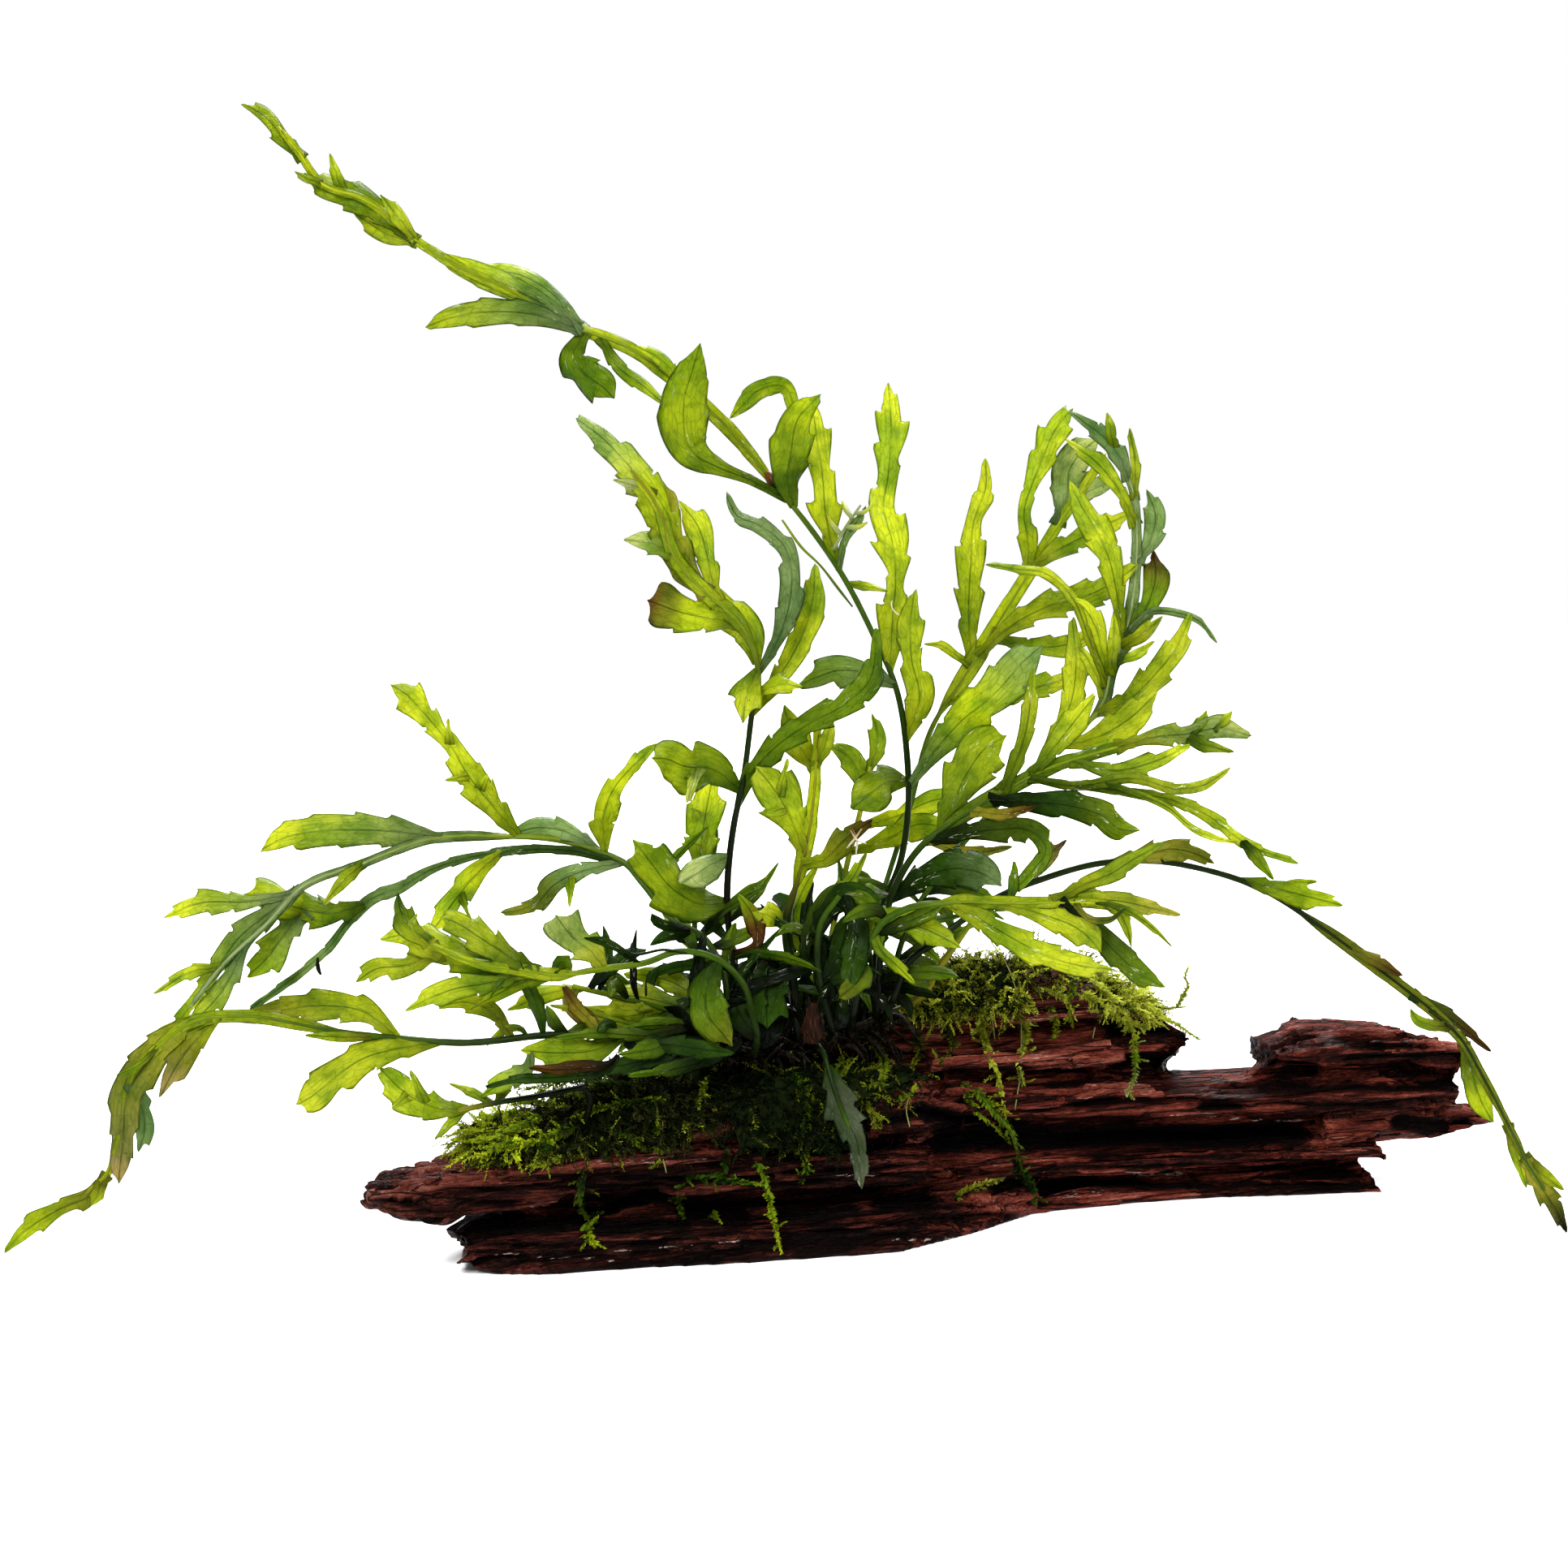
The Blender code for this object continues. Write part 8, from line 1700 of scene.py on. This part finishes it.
def random_spots(mesh, count, rng):
    """Scatters points evenly over a mesh but its underside; gives them, their normals and the area."""
    mesh.calc_loop_triangles()
    corners = np.array([[mesh.vertices[i].co for i in tri.vertices] for tri in mesh.loop_triangles]) / MM
    normals = np.cross(corners[:, 1] - corners[:, 0], corners[:, 2] - corners[:, 0])
    areas = np.linalg.norm(normals, axis=1) / 2
    normals = unit(normals)
    shares = np.where(normals[:, 2] > LOWEST_NORMAL, areas, 0)
    picks = rng.choice(len(areas), size=count, p=shares / shares.sum())
    a, b = rng.random((2, count, 1))
    over = a + b > 1
    a = np.where(over, 1 - a, a)
    b = np.where(over, 1 - b, b)
    tri = corners[picks]
    return tri[:, 0] + (tri[:, 1] - tri[:, 0]) * a + (tri[:, 2] - tri[:, 0]) * b, normals[picks], shares.sum()


def bareness(name, u, v):
    """Gives how far places lie from the middle of a mat's bare patch, whose edge is at one."""
    bare_u, bare_v, wide, high = MOSS_BARE.get(name, (0, 0, 1e-3, 1e-3))
    return ((u - bare_u) / wide) ** 2 + ((v - bare_v) / high) ** 2


def make_moss_mat(name, number, materials):
    """Covers a moss mat: a low dark tangle, black as painted shade, with many leafy shoots that reach the
    solid's form.
    """
    colours, density, dull, (lit_u, lit_v, lit_reach) = MOSS_LOOKS[name]
    rng = dice("mat", number)
    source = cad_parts[name].data
    core = source.copy()
    for vert in core.vertices:
        vert.co.z -= MAT_DEPTH * MM * max(0.0, source.vertices[vert.index].normal.z)
    pieces = Pieces()
    points = np.array([vert.co for vert in core.vertices])
    shadow = np.tile(tints([0.0], ("black", "dark")), (len(points), 1))
    pieces.add(points, [tuple(face.vertices) for face in core.polygons], slot=1, tint=shadow)
    for index, face in enumerate(core.polygons):
        u, v, _ = seen_from_front(np.array(face.center))[0]
        if bareness(name, u, v) < 1:
            pieces.slots[index] = 2
    middle = points.mean(axis=0) / MM
    count = int(density * random_spots(source, 1, rng)[2])
    spots, normals, _ = random_spots(core, count, rng)
    front = seen_from_front(spots * MM)
    # Painted light and shade: shoots stay dark as shade, fewer in clumps, and brighten near the lit spot
    near = np.exp(-(((front[:, 0] - lit_u) ** 2 + (front[:, 1] - lit_v) ** 2) / lit_reach**2))
    clumps = cloud(spots[:, 0] / 4.5, spots[:, 1] / 4.5, spots[:, 2] / 4.5)
    dim = np.clip(dull * (1 - 0.85 * near) - 0.9 * clumps * (0.5 + near), 0.03, 1)
    growing = bareness(name, front[:, 0], front[:, 1]) + 0.5 * clumps > 0.95
    for spot, normal, shaded_chance, lit in zip(spots[growing], normals[growing], dim[growing], near[growing]):
        outwards = (spot - middle) / 12
        lean = normal * rng.uniform(0.2, 0.9) + rng.normal(size=3) * (0.9, 0.9, 0.3)
        lean = lean + outwards * (0.5, 0.7, 0)
        path = curl(spot - normal * 0.3, lean, rng.uniform(*SHOOT_LENGTHS), rng, droop=SHOOT_DROOP)
        mixed = (colours[0], colours[0], colours[1]) if rng.random() < shaded_chance else colours
        if rng.random() < lit - 0.3:
            mixed = (colours[1], colours[2], colours[2])
        add_shoot(pieces, path, rng.uniform(*SHOOT_WIDTHS), mixed, rng)
    obj = pieces.build(name + "_shoots", materials)
    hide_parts(name)
    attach(obj, "root")


def make_moss_strand(name, number, wood_tree, materials):
    """Hangs a leafy moss strand where the frame has its solid."""
    rng = dice("strand", number)
    tree = solid_tree(name)
    pieces = Pieces()
    rows = smooth(MOSS_STRANDS[name], SHOOT_STEP)
    path = []
    for u, v, width in rows:
        hit = sight(tree, u, v) or sight(wood_tree, u, v)
        path.append(np.array(hit) / MM - TOWARDS * width * 0.4)
    path = np.array(path)
    colours = STRAND_COLOURS[name]
    add_shoot(pieces, path, float(rows[:, 2].mean()) * 1.15, colours, rng, gap=WISP_LEAF_GAP)
    for spot in path[2::4]:
        branch = curl(spot, rng.normal(size=3) * (1, 0.3, 0.6) + TOWARDS * 0.3, rng.uniform(1.2, 2.6), rng)
        add_shoot(pieces, branch, 1.1, colours, rng, gap=WISP_LEAF_GAP)
    obj = pieces.build(name + "_leaves", materials)
    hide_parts(name)
    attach(obj, "root")


def make_moss_wisps(wood_tree, material):
    """Lays small moss shoots over the log and its mats, where the photograph shows single ones."""
    rng = dice("wisps")
    pieces = Pieces()
    trees = [wood_tree] + [solid_tree(name) for name in MOSS_LOOKS]
    for colours, reach, line in MOSS_WISPS:
        rows = smooth(line, SHOOT_STEP)
        depths = np.array([nearest_depth(trees, u, v) + 0.4 * width for u, v, width in rows])
        known = np.isfinite(depths)
        if known.any():
            depths = np.interp(np.arange(len(depths)), np.flatnonzero(known), depths[known])
        else:
            depths = np.full(len(depths), MOUND_END_DEPTH)
        path = place(rows[:, 0], rows[:, 1], evened(depths)) / MM
        stalk = 0.14 if reach else 0.34
        add_shoot(pieces, path, float(rows[:, 2].mean()) * 1.6, colours, rng, gap=WISP_LEAF_GAP, stalk=stalk)
        for spot in path[1::2] if reach else ():
            aim = rng.normal(size=3) * (1, 0.3, 0.8) + TOWARDS * 0.3
            branch = curl(spot, aim, reach * rng.uniform(0.6, 1.4), rng)
            add_shoot(pieces, branch, 1.3, colours, rng, gap=WISP_LEAF_GAP)
    for line in HAIRS:
        rows = smooth([(u, v, HAIR_WIDTH) for u, v in line], HAIR_STEP)
        depths = np.nan_to_num([nearest_depth(trees, u, v) for u, v, _ in rows], nan=MOUND_END_DEPTH)
        path = place(rows[:, 0], rows[:, 1], evened(depths + 1.0)) / MM
        share = np.repeat(np.linspace(0, 1, len(path)), ROOT_SIDES)
        add_root(pieces, path, rows[:, 2], tint=tints(share, ("tan", "grey")))
    obj = pieces.build("moss_wisps", [material])
    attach(obj, "root")


def make_rhizome(wood_tree, material):
    """Roughens the rhizome with scales and lets thin wiry roots creep from it over the wood."""
    rng = dice("rhizome")
    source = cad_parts["rhizome"].data
    points = np.array([vert.co for vert in source.vertices]) / MM
    pieces = Pieces()
    left, right = points[:, 0].min(), points[:, 0].max()
    rows = []
    for x in np.arange(left + 0.3, right, 0.5):
        near = points[np.abs(points[:, 0] - x) < 4.0]
        weights = np.exp(-((near[:, 0] - x) / 2.5) ** 2)
        middle = (near * weights[:, None]).sum(axis=0) / weights.sum()
        rows.append((x, middle[1], middle[2]))
    rows = np.array(rows)
    share = np.linspace(0, 1, len(rows))
    flat = np.zeros(len(rows))
    radius = RHIZOME_RADIUS * np.sqrt(np.clip(np.sin(math.pi * (0.06 + 0.88 * share)), 0, 1))
    radius = radius * (1 + 0.1 * np.sin(rows[:, 0] * 2.1))
    rings = []
    for j in range(RHIZOME_SIDES):
        angle = 2 * math.pi * j / RHIZOME_SIDES
        rough = 1 + 0.16 * cloud(rows[:, 0] * 0.9, flat + math.cos(angle) * 2, flat + math.sin(angle) * 2)
        offset = np.column_stack([flat, math.cos(angle) * radius * rough, math.sin(angle) * radius * rough])
        rings.append(rows + offset)
    points = np.stack(rings, axis=1).reshape(-1, 3) * MM
    pieces.add(points, ring_faces(len(rows), RHIZOME_SIDES, False))
    for _ in range(ROOTS):
        start = rows[rng.integers(2, len(rows) - 2)] + rng.normal(size=3) * (0.2, 0.6, 0.6)
        u, v, _ = seen_from_front(start * MM)[0]
        run = np.array((rng.normal() * 0.6, -1.0))
        path = [start]
        for _ in range(int(rng.uniform(*ROOT_STEPS))):
            run += (rng.normal() * 0.25, rng.normal() * 0.15 - 0.05)
            run /= np.linalg.norm(run)
            u, v = u + run[0] * ROOT_STEP, v + run[1] * ROOT_STEP
            hit = sight(wood_tree, u, v)
            if hit is None:
                break
            path.append(np.array(hit) / MM + TOWARDS * rng.uniform(0.1, 0.5))
        if len(path) > 4:
            path = np.array(path)
            lows = seen_from_front(path * MM)
            lows[:, 2] = evened(lows[:, 2])
            size = rng.uniform(0.25, 0.5) * (1 - 0.5 * np.linspace(0, 1, len(path)))
            add_root(pieces, place(*lows.T) / MM, size)
    for _ in range(STUBS):
        start = rows[rng.integers(2, len(rows) - 2)] + rng.normal(size=3) * (0.5, 1.6, 0.3)
        lean = (rng.normal() * 0.8, rng.normal() * 0.7, 1.0)
        path = curl(start, lean, rng.uniform(*STUB_LENGTHS), rng, droop=rng.uniform(-0.5, 2.2))
        add_root(pieces, path, rng.uniform(0.6, 1.7) * (1 - 0.6 * np.linspace(0, 1, len(path)) ** 2))
    obj = pieces.build("rhizome_roots", [material])
    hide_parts("rhizome")
    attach(obj, "root")


def make_scale(material):
    """Folds the dry scale at the stem bases: a thin torn sheath, ribbed lengthwise and wider below."""
    rng = dice("scale")
    solid = np.array([vert.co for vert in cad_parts["brown_scale"].data.vertices])
    middle = seen_from_front(solid).mean(axis=0)
    line = [(middle[0] + du, middle[1] + dv, width) for du, dv, width in SCALE_LINE]
    pieces = Pieces()
    for lean, back, share in SCALE_LAYERS:
        shaped = [(u + back, v, width * share) for u, v, width in line]
        rows = leaf_rows(shaped, middle[2] + 0.8 - back, 0.6, 0.3)
        add_leaf(pieces, rows, lean, ("tan", "brown", 2.4, 0.4), rng, 1.4)
    pieces.slots = [0] * len(pieces.slots)
    obj = pieces.build("brown_scale_sheath", [material])
    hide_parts("brown_scale")
    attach(obj, "root")


def make_stage():
    """Lays a wide pale floor that fades out into the surroundings away from the log."""
    mesh = bpy.data.meshes.new("floor")
    corners = [(x * FLOOR_HALF, y * FLOOR_HALF, 0) for x, y in ((-1, -1), (1, -1), (1, 1), (-1, 1))]
    mesh.from_pydata(corners, [], [(0, 1, 2, 3)])
    floor = add_object("floor", mesh)
    made, tree = new_material("pale_floor")
    body = body_node(tree, shade((0.9, 0.9, 0.9)), 0.8, 0.1)
    clear = node(tree, "ShaderNodeBsdfTransparent")
    position = position_node(tree)
    away = node(tree, "ShaderNodeVectorMath", {"operation": "LENGTH"}, in0=position).outputs["Value"]
    fade = range_node(tree, away, *FLOOR_FADE)
    both = blend_node(tree, fade, body, clear.outputs[0])
    finish_material(tree, both)
    mesh.materials.append(made)


def make_lights():
    """Lights the studio: surroundings that look white and shine more from above, and three soft lamps."""
    world = bpy.data.worlds.new("studio")
    world.use_nodes = True
    tree = world.node_tree
    tree.nodes.clear()
    direction = node(tree, "ShaderNodeTexCoord").outputs["Generated"]
    height = node(tree, "ShaderNodeSeparateXYZ", None, Vector=direction).outputs[2]
    glow = range_node(tree, height, -0.3, 0.8, 0.06, 0.55)
    seen = node(tree, "ShaderNodeLightPath").outputs["Is Camera Ray"]
    strength = math_node(tree, "MAXIMUM", glow, seen)
    background = node(tree, "ShaderNodeBackground", None, Color=shade(1.0), Strength=strength)
    node(tree, "ShaderNodeOutputWorld", None, Surface=background.outputs[0])
    bpy.context.scene.world = world
    for name, spot, size, power in LAMPS:
        lamp = bpy.data.lights.new(name, "AREA")
        lamp.shape = "DISK"
        lamp.size = size
        lamp.energy = power
        obj = add_object(name, lamp)
        obj.location = spot
        obj.rotation_euler = (Vector(LAMP_AIM) - Vector(spot)).to_track_quat("-Z", "Y").to_euler()


def make_camera():
    """Puts the camera at the photograph's place."""
    camera = bpy.data.cameras.new("camera")
    camera.lens = VIEW_LENS
    camera.sensor_width = SENSOR
    camera.clip_start = 0.01
    obj = add_object("camera", camera)
    obj.location = Vector((VIEW_TARGET + TOWARDS * VIEW_DISTANCE) * MM)
    obj.rotation_euler = Vector(-TOWARDS).to_track_quat("-Z", "Y").to_euler()
    bpy.context.scene.camera = obj


def main():
    """Dresses the frame."""
    make_camera()
    make_stage()
    make_lights()
    bpy.context.scene.view_settings.view_transform = "Standard"
    wood = make_driftwood(wood_material())
    wood_tree = tree_of(wood.data)
    moss = moss_material()
    for number, name in enumerate(MOSS_LOOKS):
        make_moss_mat(name, number, [moss, shadow_material(), wood.data.materials[0]])
    for number, name in enumerate(MOSS_STRANDS):
        make_moss_strand(name, number, wood_tree, [moss])
    make_moss_wisps(wood_tree, moss)
    leaf_looks = [stem_material(), leaf_material()]
    for number, name in enumerate(FRONDS):
        make_frond(name, number, leaf_looks)
    make_scale(papery_material())
    make_rhizome(wood_tree, rhizome_material())


main()
